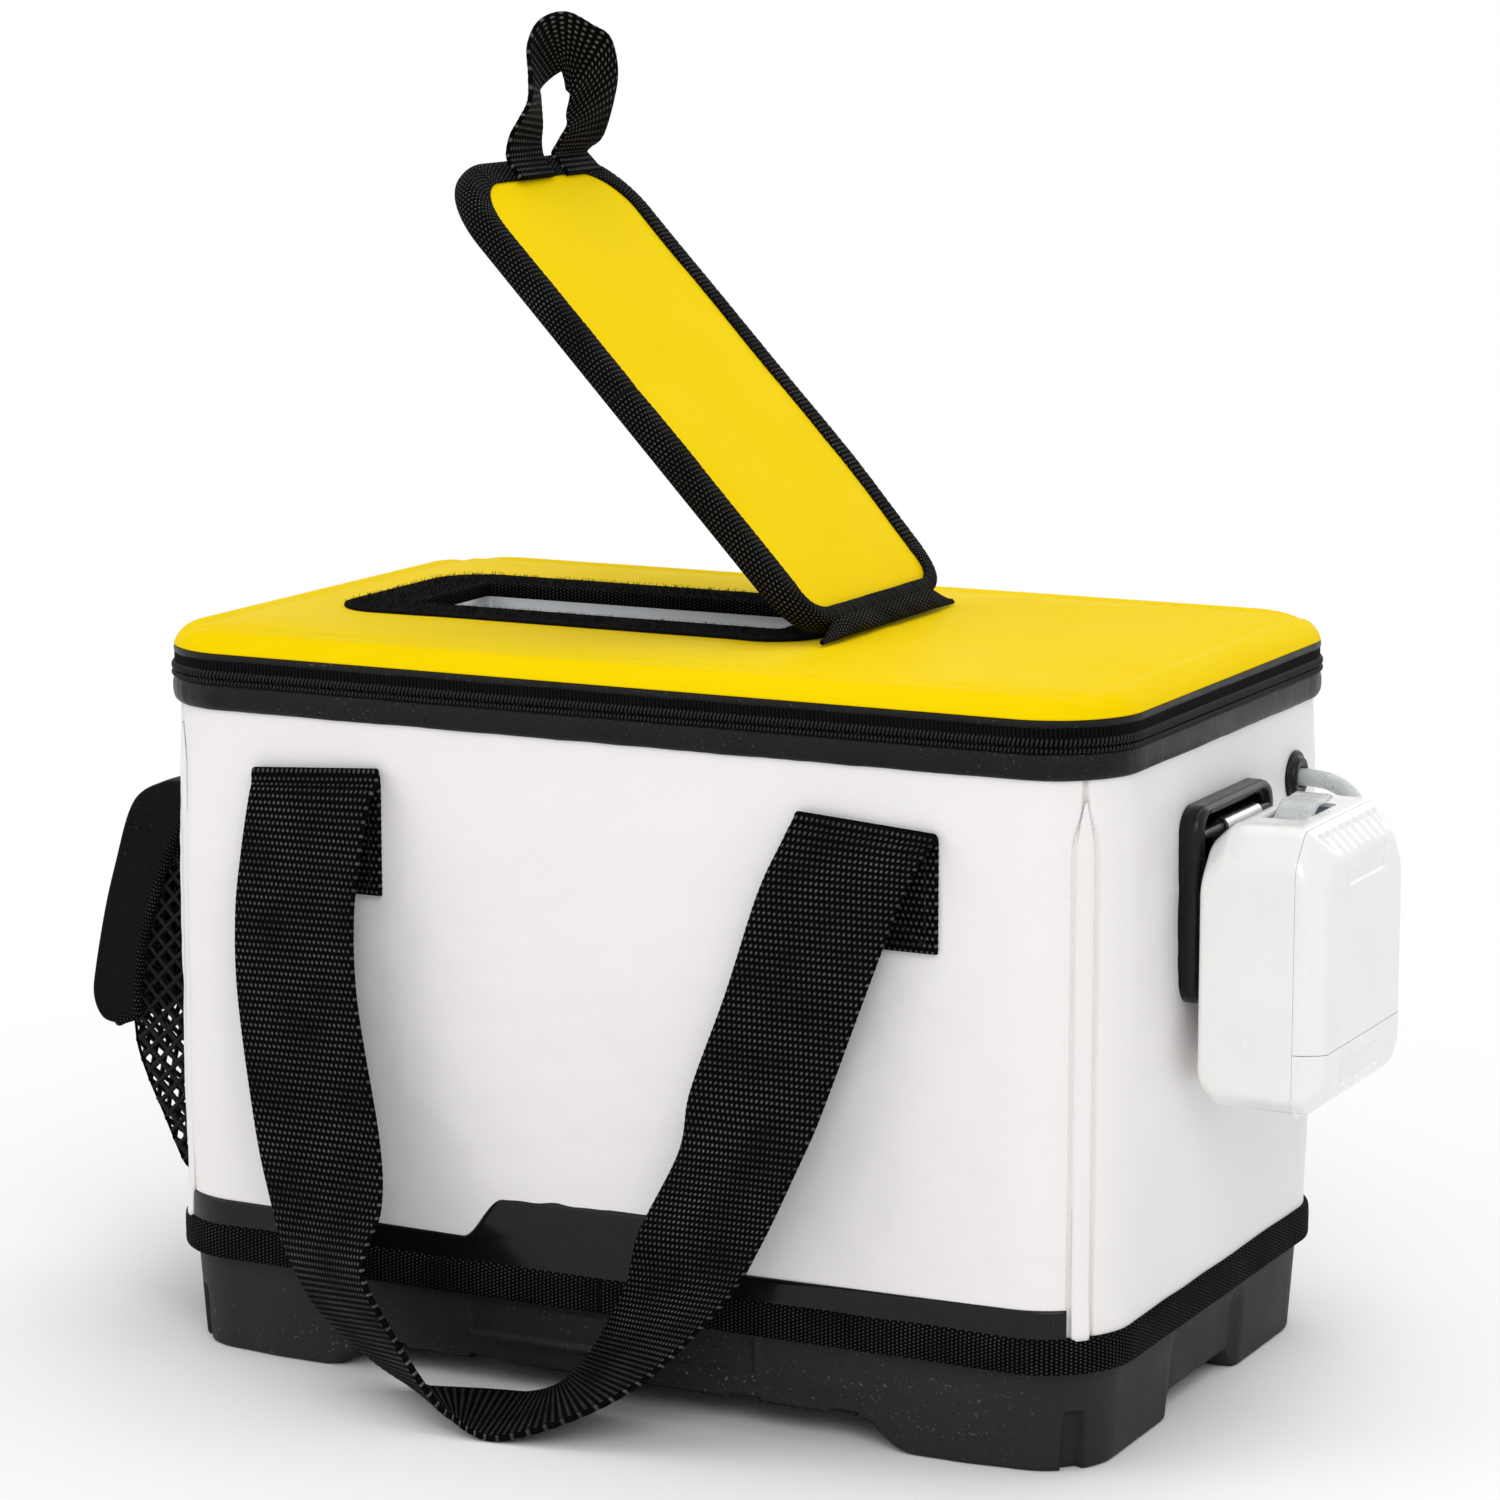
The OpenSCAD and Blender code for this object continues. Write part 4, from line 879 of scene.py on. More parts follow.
@dataclass
class MouldedBase:
    """Base with four corner feet, arches between them, corner slots and a bare framed panel."""

    finish: bpy.types.Material
    foot_inset: float = 5
    arch_height: float = 9.5
    arch_half: float = 90
    arch_run: float = 19
    side_height: float = 7.5
    side_half: float = 24
    side_run: float = 8
    foot_bulge: float = 1.8
    side_recess: float = 2.4
    slot_half: float = 4.6
    slot_depth: float = 3.2
    slot_top: float = 20
    panel_half: float = 53.5
    panel_low: float = 20
    panel_high: float = 31.5
    edge: float = 1.6

    @staticmethod
    def arch(x: Array, half: float, run: float, height: float) -> Array:
        """Height of an arch: level over the middle, then half a cosine wave down to the floor."""
        t = np.clip((np.abs(x) - half) / run, 0, 1)
        return height * (1 + np.cos(math.pi * t)) / 2

    def underside(self, x: Array, y: Array) -> Array:
        """Height of the underside: the higher of the front arch over x and the side arch over y."""
        low = np.maximum(
            self.arch(x, self.arch_half, self.arch_run, self.arch_height),
            self.arch(y, self.side_half, self.side_run, self.side_height),
        )
        steps = 1.3 * (bump(np.abs(x), 48, 5.5, 0.6) + bump(np.abs(x), 83.3, 5.2, 0.6))
        return low + np.where(np.abs(y) > LEVELS.depth / 2 - 14, steps, 0.0)

    def build(self) -> bpy.types.Object:
        """Skin of the base as rings of the outline.

        Rings climb from the middle of the underside outwards, round the lower edge and up the wall. A
        wall ring's distance in from the body shrinks with height, less the feet's bulge, plus the
        recesses of the side walls, the corner slots and the framed panel.
        """
        outline = LEVELS.outline
        s = outline.samples(0.9)
        base, _ = outline.at(s)
        x, y = base[:, 0], base[:, 1]
        a, b = LEVELS.length / 2 - LEVELS.radius, LEVELS.depth / 2 - LEVELS.radius
        quarter = math.pi * LEVELS.radius / 2
        front = np.minimum(np.mod(s, outline.total), outline.total - np.mod(s, outline.total))
        corners = [a + quarter / 2, a + 1.5 * quarter + 2 * b]
        to_slot = np.minimum(np.abs(front - corners[0]), np.abs(front - corners[1]))
        on_end = np.abs(x) > LEVELS.length / 2 - 1
        on_face = np.abs(y) > LEVELS.depth / 2 - 1
        rows = []
        for share in np.linspace(0.04, 0.94, 12):
            plan = np.stack([x, y], -1) * share
            rows.append(np.column_stack([plan, self.underside(plan[:, 0], plan[:, 1])]))
        low = self.underside(x * 0.97, y * 0.97)
        heights = np.concatenate([[0.0, 0.25, 0.6, 1.0], np.linspace(1.0, 34.6, 44)[1:]])
        for k, t in enumerate(heights):
            z = low + np.where(t <= 1.0, t * self.edge, self.edge + (t - 1) / 33.6 * (LEVELS.band_low + 1 - low - self.edge))
            inset = self.foot_inset - self.foot_inset / 2 * np.clip(z / LEVELS.band_low, 0, 1)
            inset = inset + self.edge * (1 - np.sqrt(np.clip(1 - (1 - min(t, 1.0)) ** 2, 0, 1)))
            lower = 1 - smoothstep(z, 20, 31)
            bulge = self.foot_bulge * lower * on_face * smoothstep(np.abs(x), 96, 108) * (1 - smoothstep(np.abs(x), 128, 150))
            recess = self.side_recess * on_end * (1 - smoothstep(np.abs(y), 26, 36)) * (1 - smoothstep(z, 22, 34))
            recess = recess + 1.2 * on_face * (1 - smoothstep(np.abs(x), 90, 99)) * (1 - smoothstep(z, 14, 20))
            taper = self.slot_half * (1 - 0.2 * np.clip(z / self.slot_top, 0, 1))
            slot = (1 - smoothstep(to_slot, taper - 0.4, taper + 0.5)) * (1 - smoothstep(z, self.slot_top - 0.6, self.slot_top + 0.6))
            panel = on_face * (1 - smoothstep(np.abs(x), self.panel_half - 0.5, self.panel_half + 0.5))
            panel = (
                panel
                * smoothstep(z, self.panel_low - 0.5, self.panel_low + 0.5)
                * (1 - smoothstep(z, self.panel_high - 0.5, self.panel_high + 0.5))
            )
            border = on_face * bump(np.abs(x), self.panel_half + 1.6, 0.6, 0.5) * bump(z, (self.panel_low + self.panel_high) / 2, 7.2, 0.6)
            rim = on_face * (1 - smoothstep(np.abs(x), self.panel_half + 1.8, self.panel_half + 2.4))
            border = np.maximum(border, rim * (bump(z, self.panel_low - 1.5, 0.5, 0.4) + bump(z, self.panel_high + 1.5, 0.5, 0.4)))
            inward = inset - bulge + recess + self.slot_depth * slot + 0.8 * panel - 0.35 * border
            rows.append(around(s, -inward, z))
        rows.append(around(s, -8.0, LEVELS.band_low + 1))
        mesh = Mesh().loft(np.array(rows))
        centre = np.array([[0, 0, self.arch_height]])
        n = len(s)
        fan = np.stack([np.full(n, n), (np.arange(n) + 1) % n, np.arange(n)], -1)
        mesh.add(np.concatenate([rows[0], centre]), np.zeros((0, 3), int))
        mesh.faces.append(fan + mesh.count - n - 1)
        piece = mesh.build("moulded_base", self.finish, "cooler_body", Slot.BASE)
        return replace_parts(piece, "base_tray")


@dataclass
class Walls:
    """Coated cloth walls with piped corners, the glossy skirt patch and the binding over the base joint."""

    finishes: Finishes
    piping_width: float = 6.5
    piping_top: float = 217
    dart_top: float = 222
    skirt_tab_half: float = 38
    skirt_tab_run: float = 16
    skirt_low: float = 54.4
    skirt_high: float = 70.2
    skirt_end: float = 165.3
    skirt_end_rise: float = 1.2

    def corners(self) -> Array:
        """Distances of the four corners' middles round the outline."""
        runs = np.cumsum(LEVELS.outline.stretches())
        return np.array([(runs[k - 1] + runs[k]) / 2 for k in (1, 3, 5, 7)])

    def samples(self) -> Array:
        """Distances round the walls, finer beside the piping."""
        coarse = LEVELS.outline.samples(2.2)
        fine = (self.corners()[:, None] + np.arange(-9, 9.01, 0.35)).ravel()
        far = np.abs(coarse[:, None] - self.corners()).min(1) > 9
        return np.sort(np.concatenate([coarse[far], fine]))

    def surface(self, s: Array, z: Array) -> Array:
        """How far the cloth stands out from its plain outline.

        Soft dents, a slight belly over the middle of each wall, two grooves beside each corner strip
        that close to a dart under the rim, and a pinch above the dart.
        """
        base, _ = LEVELS.outline.at(s)
        x, y = base[:, 0], base[:, 1]
        free = smoothstep(z, 48, 75) * (1 - smoothstep(z, 205, 226))
        dents = 0.85 * waves(x + 0.8 * y + 0 * z, z + 0 * x, 5, 120, 3)
        fine = 0.26 * waves(x - 0.6 * y + 0 * z, 1.4 * z + 0 * x, 9, 30, 2)
        belly = 0.8 * np.sin(math.pi * np.clip((z - 46) / 182, 0, 1))
        from_corner = np.abs(s[:, None] - self.corners()).min(1)[None, :]
        half = (self.piping_width / 2 + 0.7) * (1 - smoothstep(z, self.piping_top - 12, self.dart_top))
        below = 1 - smoothstep(z, self.dart_top - 1, self.dart_top + 1)
        groove = -2.0 * np.exp(-(((from_corner - half) / 0.62) ** 2)) * below
        strip = -0.2 * (1 - smoothstep(from_corner, half - 1.2, half - 0.4)) * below
        pinch = -2.4 * np.exp(-((from_corner / 0.8) ** 2)) * smoothstep(z, self.dart_top - 4, self.dart_top)
        swell = 0.5 * np.exp(-(((from_corner - 9) / 5) ** 2))
        return free * (dents + fine + belly) + groove + strip + pinch + swell * free

    def shell(self) -> bpy.types.Object:
        """The cloth from under the binding to under the rim, as rings of the outline, then a wall of 1.2."""
        s = self.samples()
        z = np.linspace(39, 231, 90)[:, None]
        mesh = Mesh().loft(around(s, self.surface(s, z), z + 0 * s))
        piece = mesh.build("wall_cloth", self.finishes["white_coated_cloth"], "cooler_body", Slot.SHELL)
        modified(piece, "SOLIDIFY", thickness=1.2 * MM, offset=-1)
        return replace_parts(piece, "outer_shell")

    def piping(self) -> list[bpy.types.Object]:
        """One strip on each corner: a low arch across its width, drawn to a point at its top."""
        made = []
        for k, corner in enumerate(self.corners()):
            z = np.linspace(45.5, self.dart_top - 1, 80)
            share = np.clip((z - (self.piping_top - 12)) / (self.dart_top - self.piping_top + 12), 0, 1)
            half = self.piping_width / 2 * (1 - share**1.3)
            lift = 0.25 + 1.2 * (1 - smoothstep(z, 46, 60))
            v = np.linspace(-1, 1, 17)
            flat = 1 - np.abs(v[None, :]) ** 7
            out = (1.15 * flat - 0.35 * np.exp(-(((v[None, :] + 0.72) / 0.09) ** 2))) * (1 - 0.5 * share[:, None]) + lift[:, None] * 0.5 - 0.25
            out = out + 0.12 * waves(z[:, None] + 40 * k, 0 * v[None, :], 3, 25, 2)
            places = (corner + half[:, None] * v[None, :]).ravel()
            rows = around(places, out.ravel(), np.repeat(z, len(v))).reshape(len(z), len(v), 3)
            mesh = Mesh().loft(rows, closed=False)
            name = ("front_right", "rear_right", "rear_left", "front_left")[k]
            piece = mesh.build(f"corner_piping_{name}", self.finishes["white_coated_cloth"], "cooler_body", Slot.SHELL)
            made.append(modified(piece, "SOLIDIFY", thickness=0.9 * MM, offset=-1))
        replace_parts(made[0], "corner_piping")
        return made

    def skirt_top(self, x: Array) -> Array:
        """Height of the patch's upper edge: a tab over the middle, a level run, and raised ends."""
        half = np.abs(x)
        tab = 1 - smoothstep(half, self.skirt_tab_half, self.skirt_tab_half + self.skirt_tab_run)
        ends = np.clip((half - 54) / (self.skirt_end - 54), 0, 1)
        return self.skirt_low + (self.skirt_high - self.skirt_low) * tab + self.skirt_end_rise * ends * (1 - tab)

    def skirt(self) -> bpy.types.Object:
        """The patch: columns along the front from the binding to its upper edge, on the cloth."""
        x = np.arange(-self.skirt_end, self.skirt_end + 0.1, 1.0)
        flat = LEVELS.length / 2 - LEVELS.radius
        s = np.where(np.abs(x) <= flat, x, np.sign(x) * (flat + LEVELS.radius * np.arcsin(np.clip((np.abs(x) - flat) / LEVELS.radius, 0, 1))))
        share = np.linspace(0, 1, 14)[:, None]
        z = 44.5 + share * (self.skirt_top(x)[None, :] - 44.5)
        wave = 0.22 * waves(x[None, :] + 0 * share, 3 * z, 21, 46, 2)
        out = 0.75 + wave * smoothstep(share, 0.1, 0.6) - 0.45 * smoothstep(share, 0.93, 1.0)
        mesh = Mesh().loft(around(s, out, z), closed=False)
        piece = mesh.build("front_skirt_patch", self.finishes["twill_patch"], "cooler_body", Slot.VINYL)
        modified(piece, "SOLIDIFY", thickness=0.55 * MM, offset=-1)
        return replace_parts(piece, "front_skirt")

    def binding(self) -> bpy.types.Object:
        """Tape over the base joint: one rounded profile carried round the outline, its edges wavering."""
        s = LEVELS.outline.samples(1.5)
        profile = np.array(
            [(-1.5, 34.3), (0.6, 34.2), (1.5, 34.5), (1.95, 35.4), (2.0, 38), (2.05, 42), (1.9, 44.9), (1.4, 45.9), (0.5, 46.3), (-1, 46.2)]
        )
        profile = smooth_curve(profile, 3)
        base, _ = LEVELS.outline.at(s)
        x, y = base[:, 0], base[:, 1]
        waver = 0.35 * waves(x - y, 0 * x, 31, 60, 2)
        upper = smoothstep(profile[:, 1], 38, 46)[:, None]
        z = profile[:, 1][:, None] + waver[None, :] * (0.4 + 0.6 * upper)
        out = profile[:, 0][:, None] + 0.15 * waves(x + 0.7 * y, 0 * x, 33, 24, 2)[None, :]
        uv = np.stack(np.broadcast_arrays(s[None, :], profile[:, 1][:, None]), -1)
        mesh = Mesh().loft(around(s, out, z), uv=uv)
        piece = mesh.build("base_binding_tape", self.finishes["binding_tape"], "cooler_body", Slot.TRIM)
        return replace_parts(piece, "base_binding")

    def build(self) -> list[bpy.types.Object]:
        """Makes every piece."""
        return [self.shell(), *self.piping(), self.skirt(), self.binding()]


@dataclass
class Tank:
    """Foam walls and floor with the welded tank liner over them."""

    finishes: Finishes
    wall_inset: float = 10.7
    floor: float = 26.2
    top: float = 238.3

    def liner(self) -> bpy.types.Object:
        """Liner film: from the flange's outer edge inwards, down the tank wall and over its floor to the middle."""
        outline = LEVELS.outline
        leg, share = outline.place(outline.samples(3))
        steps = [(1.6, self.top), (6, self.top), (9.6, self.top - 0.1), (10.4, self.top - 0.5), (10.7, self.top - 1.4)]
        steps += [(self.wall_inset, z) for z in np.linspace(230, 31, 42)]
        steps += [(self.wall_inset + a, self.floor + b) for a, b in ((0.5, 2.4), (1.4, 1.0), (3, 0.2), (6, 0.0))]
        steps += [(self.wall_inset + d, self.floor) for d in (12, 24, 40, 60, 80, 97.7)]
        rows = rings([(outline.inset(d), z) for d, z in steps], leg, share)
        z = rows[..., 2]
        _, normal = outline.point(leg, share)
        fold = 0.45 * waves(rows[..., 0] + 0.7 * rows[..., 1], 0.5 * z, 41, 60, 3) * smoothstep(z, 32, 60) * (1 - smoothstep(z, 215, 235))
        rows[..., :2] += fold[..., None] * normal[None]
        piece = Mesh().loft(rows).build("tank_liner", self.finishes["liner_film"], "cooler_body", Slot.TRIM)
        modified(piece, "SOLIDIFY", thickness=1.0 * MM, offset=-1)
        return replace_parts(piece, "inner_liner", "liner_floor", "liner_flange")

    def foam(self) -> list[bpy.types.Object]:
        """Foam wall and floor: closed rings of the outline."""
        outline = LEVELS.outline
        leg, share = outline.place(outline.samples(6))
        wall = [(9.3, 25.1), (9.3, 36.5), (2.6, 40.2), (2.6, 236.1), (10.4, 236.1), (10.4, 25.1)]
        rows = rings([(outline.inset(d), z) for d, z in wall], leg, share)
        cut = self.finishes["cut_foam"]
        side = Mesh().loft(rows, tall=True).build("foam_wall", cut, "cooler_body", Slot.FOAM, flat=True)
        floor = [(108.4, 13.1), (10.6, 13.1), (10.6, 24.9), (108.4, 24.9)]
        rows = rings([(outline.inset(d), z) for d, z in floor], leg, share)
        under = Mesh().loft(rows).build("foam_floor", cut, "cooler_body", Slot.FOAM, flat=True)
        return [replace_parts(side, "wall_foam"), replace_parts(under, "floor_foam")]

    def build(self) -> list[bpy.types.Object]:
        """Makes every piece."""
        return [self.liner(), *self.foam()]


@dataclass
class RimAndZip:
    """Leathercloth bands above and below the zip, its tape and coil, and the fabric hinge at the back."""

    finishes: Finishes
    pitch: float = 1.4
    coil_out: float = 2.5
    hinge_half: float = 140
    rear_free: float = 8

    def band(self, name: str, profile: list[tuple[float, float]], body: str, node: str, seed: int, fold: float) -> bpy.types.Object:
        """A leathercloth band: a rounded profile carried round the outline, puckered where it turns the corners."""
        s = LEVELS.outline.samples(1.2)
        line = smooth_curve(np.array(profile), 4)
        base, _ = LEVELS.outline.at(s)
        leg, _ = LEVELS.outline.place(s)
        x, y = base[:, 0], base[:, 1]
        near = np.exp(-((np.abs(s[:, None] - Walls(self.finishes).corners()).min(1) / 34) ** 2))
        pucker = fold * near * waves(s, 0 * s, seed, 13, 2)
        slow = 0.22 * waves(x + 0.8 * y, 0 * x, seed + 1, 55, 3)
        low, high = line[:, 1].min(), line[:, 1].max()
        middle = np.sin(math.pi * np.clip((line[:, 1] - low) / (high - low), 0, 1))[:, None]
        out = line[:, 0][:, None] + (pucker + slow)[None, :] * (0.25 + 0.75 * middle)
        edge = 0.3 * waves(x - 0.8 * y, 0 * x, seed + 2, 40, 3)[None, :] * (line[:, 1][:, None] < low + 2.2)
        z = line[:, 1][:, None] + edge
        mesh = Mesh().loft(around(s, out, z))
        piece = mesh.build(name, self.finishes["rim_leathercloth"], body, Slot.VINYL)
        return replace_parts(piece, node)

    def tape(self, name: str, low: float, high: float, body: str) -> bpy.types.Object:
        """Zip tape: upright comb ribs, whose height is a sine of the distance round the outline."""
        s = LEVELS.outline.samples(self.pitch / 4)
        rib = 0.22 * np.abs(np.sin(math.pi * s / self.pitch))
        share = np.array([0, 0.08, 0.5, 0.92, 1.0])[:, None]
        out = 1.75 + rib[None, :] * np.array([0, 1, 1, 1, 0])[:, None]
        uv = np.stack(np.broadcast_arrays(s[None, :], high * share), -1)
        mesh = Mesh().loft(around(s, out, low + (high - low) * share), uv=uv)
        return mesh.build(name, self.finishes["zip_tape"], body, Slot.ZIP)

    def coil(self, name: str, z: float, height: float, lean: float, body: str, node: str, whole: bool) -> bpy.types.Object:
        """Coil: a short bent link every pitch, each a ring-section arch from the tape and back.

        A link's line runs through an arch of half a turn, out by the sine and up by the cosine; the
        same link is placed at every step round the outline, and leans along it with height.
        """
        outline = LEVELS.outline
        count = int(outline.total / self.pitch)
        s = (np.arange(count) + 0.5) * outline.total / count
        base, normal = outline.at(s)
        if not whole:
            keep = base[:, 1] < LEVELS.depth / 2 - self.rear_free
            base, normal = base[keep], normal[keep]
        along = np.stack([-normal[:, 1], normal[:, 0]], -1)
        turn = np.linspace(-0.45 * math.pi, 0.45 * math.pi, 6)
        up, out = np.sin(turn) * height / 2, np.cos(turn) * 0.75
        ring = 2 * math.pi * np.arange(6) / 6
        size = 0.56
        link_out = out[:, None] + 0.55 * np.cos(ring)[None, :] * np.cos(turn)[:, None]
        link_up = up[:, None] + 0.55 * np.cos(ring)[None, :] * np.sin(turn)[:, None]
        link_on = size * np.sin(ring)[None, :] + lean * up[:, None]
        mid = self.coil_out - 0.75
        plan = base[:, None, None] + (mid + link_out)[None, ..., None] * normal[:, None, None] + link_on[None, ..., None] * along[:, None, None]
        points = np.concatenate([plan, np.broadcast_to(z + link_up, plan.shape[:3])[..., None]], -1)
        faces = grid_faces(6, 6)[:, ::-1]
        every = (faces[None] + 36 * np.arange(len(base))[:, None, None]).reshape(-1, 4)
        mesh = Mesh().add(points, every)
        piece = mesh.build(name, self.finishes["coil_plastic"], body, Slot.ZIP)
        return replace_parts(piece, node)

    def hinge(self) -> bpy.types.Object:
        """Fabric hinge over the back of the zip: a sheet from the lower band to the upper one, which bends."""
        x = np.linspace(self.hinge_half, -self.hinge_half, 141)
        line = smooth_curve(np.array([(0.9, 229.4), (2.3, 229.6), (2.9, 232), (3.05, 236), (3.1, 240), (2.9, 244), (2.2, 246.2), (1.0, 246.5)]), 4)
        base_y = LEVELS.depth / 2
        wave = 0.15 * waves(x, 0 * x, 51, 40, 2)
        rows = np.stack(np.broadcast_arrays(x[None, :], base_y + line[:, 0][:, None] + wave[None, :], line[:, 1][:, None]), -1)
        uv = np.stack(np.broadcast_arrays(-x[None, :], line[:, 1][:, None]), -1)
        piece = Mesh().loft(rows, closed=False, uv=uv).build("lid_hinge_fabric", self.finishes["binding_tape"], None, Slot.TRIM)
        applied(modified(piece, "SOLIDIFY", thickness=0.7 * MM, offset=-1))
        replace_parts(piece, "lid_hinge_tape")
        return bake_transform(piece)

    def build(self) -> list[bpy.types.Object]:
        """Makes every piece."""
        lower = [(-1.6, 228.0), (0.4, 227.8), (1.5, 228.4), (2.25, 230.0), (2.5, 232.6), (2.3, 235.2), (1.6, 236.8), (0.6, 237.2), (-1.4, 237.2)]
        upper = [(-1.4, 244.4), (1.0, 244.5), (1.9, 245.1), (2.2, 246.0), (2.0, 247.0), (1.1, 247.5), (-1.4, 247.5)]
        return [
            self.band("rim_band_lower", lower, "cooler_body", "rim_lower", 61, 0.5),
            self.band("rim_band_upper", upper, "lid", "rim_upper", 71, 0.3),
            self.tape("zip_tape_lower", 236.2, 238.5, "cooler_body"),
            self.tape("zip_tape_upper", 238.75, 245.0, "lid"),
            self.coil("zip_coil_lower", 237.65, 1.1, 0.3, "cooler_body", "zip_lower_teeth", True),
            self.coil("zip_coil_upper", 240.2, 2.1, 0.3, "lid", "zip_upper_teeth", False),
            self.hinge(),
        ]


@dataclass
class LidTop:
    """Padded yellow lid top with its liner, and the hatch hole with its lining, binding and loop strip."""

    finishes: Finishes
    hole: Outline = Outline(144, 54, 2.0, centre=(-47.0, 0.0))
    strip: Outline = Outline(186, 96, 20, centre=(-50.0, 0.0))
    liner_low: float = 238.85
    pad_low: float = 240.2
    strip_high: float = 256.3
    crown: tuple[tuple[float, float], ...] = (
        (0.0, 0.03), (0.5, 0.2), (1.2, 0.36), (2.2, 0.5), (3.5, 0.64), (5.2, 0.76), (7, 0.84), (9, 0.895), (12, 0.915), (16, 0.915),
        (20, 0.935), (25, 0.96), (30, 0.985),
    )

    def pad(self) -> bpy.types.Object:
        """The padded top: crown rings from the edge inwards, then rings that pass over to the hole's outline.

        The crown's height is a share of its rise for each distance in. Over the top lies an uneven
        softness and a faint valley behind the edge's lip.
        """
        proud = LEVELS.outline.inset(-2)
        leg, share = proud.place(proud.samples(1.8))
        rise = LEVELS.lid_top - LEVELS.lid_edge
        steps = [(proud.inset(4.2), self.pad_low), (proud.inset(4.2), 246.4), (proud.inset(1.4), 246.9)]
        steps += [(proud.inset(d), LEVELS.lid_edge + rise * h) for d, h in smooth_curve(np.array(self.crown), 2)]
        rows = rings(steps, leg, share)
        hole = rings([(self.hole.inset(-1.3), LEVELS.lid_top)], leg, share)[0]
        ways = np.linspace(0, 1, 16)[1:]
        inner = np.array([rows[-1] * (1 - w) + hole * w for w in ways])
        rows = np.concatenate([rows, inner])
        x, y, z = rows[..., 0], rows[..., 1], rows[..., 2]
        edge = np.minimum(LEVELS.length / 2 + 2 - np.abs(x), LEVELS.depth / 2 + 2 - np.abs(y))
        soft = 0.5 * waves(x, y, 81, 90, 3) * smoothstep(edge, 4, 30)
        lip = 0.4 * np.exp(-(((edge - 6.5) / 3) ** 2)) - 0.8 * np.exp(-(((edge - 13) / 2.4) ** 2))
        near = smoothstep(np.abs(x + 50) / 105 + np.abs(y) / 150, 0.7, 1.0)
        top = smoothstep(z, 249, 254)
        rows[..., 2] = z + top * (soft * (0.35 + 0.65 * near) + lip)
        down = rings([(self.hole.inset(-1.3), self.pad_low)], leg, share)
        mesh = Mesh().loft(np.concatenate([rows, down]), tall=True)
        piece = mesh.build("lid_pad", self.finishes["yellow_coated_cloth"], "lid", Slot.YELLOW)
        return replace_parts(piece, "lid_panel", "lid_foam")

    def ring(
        self, name: str, finish: str, steps: list[tuple[Outline, float]], slot: str, nodes: tuple[str, ...], step: float = 1.5
    ) -> bpy.types.Object:
        """A closed ring: matching outlines, up the outside, over the top and down the inside."""
        base = steps[0][0]
        leg, share = base.place(base.samples(step))
        rows = rings(steps, leg, share)
        run = np.cumsum(np.concatenate([[0], np.linalg.norm(np.diff(rows[:, 0], axis=0), axis=1)]))
        uv = np.stack(np.broadcast_arrays((leg * 0 + np.arange(len(leg)) * step)[None, :], run[:, None]), -1)
        piece = Mesh().loft(rows, tall=True, uv=uv).build(name, self.finishes[finish], "lid")
        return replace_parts(piece, *nodes) if nodes else piece

    def pile(self) -> bpy.types.Object:
        """Loop pile: thousands of small bent fibres, each a thin three-sided stalk, set over the strip."""
        rng = np.random.default_rng(7)
        n = 9000
        x = rng.uniform(-142.6, 42.6, n)
        y = rng.uniform(-47.6, 47.6, n)
        in_hole = (np.abs(x + 47) < 72.8) & (np.abs(y) < 27.8)
        corner = np.hypot(np.maximum(np.abs(x + 50) - 73, 0), np.maximum(np.abs(y) - 28, 0)) > 19.6
        x, y = x[~in_hole & ~corner], y[~in_hole & ~corner]
        n = len(x)
        lean, bend = rng.uniform(0, 2 * math.pi, (2, n))
        high = rng.uniform(0.7, 1.7, n)
        steps = np.array([0, 0.5, 1.0])
        way = np.stack([np.cos(lean), np.sin(lean)], -1)
        turn = np.stack([np.cos(bend), np.sin(bend)], -1)
        plan = (
            np.stack([x, y], -1)[:, None]
            + (way[:, None] * steps[None, :, None] + turn[:, None] * (steps**2)[None, :, None]) * (0.7 * high)[:, None, None]
        )
        z = self.strip_high - 0.3 + high[:, None] * np.sin(steps * 1.9)[None, :]
        spine = np.concatenate([plan, z[..., None]], -1)
        ring = 2 * math.pi * np.arange(3) / 3
        around_it = np.stack([np.cos(ring), np.sin(ring), 0 * ring], -1) * 0.09
        points = spine[:, :, None] + around_it[None, None] * np.array([1, 0.9, 0.5])[None, :, None, None]
        faces = grid_faces(3, 3)
        every = (faces[None] + 9 * np.arange(n)[:, None, None]).reshape(-1, 4)
        piece = Mesh().add(points, every).build("hatch_loop_pile", self.finishes["loop_pile"], "lid")
        return piece

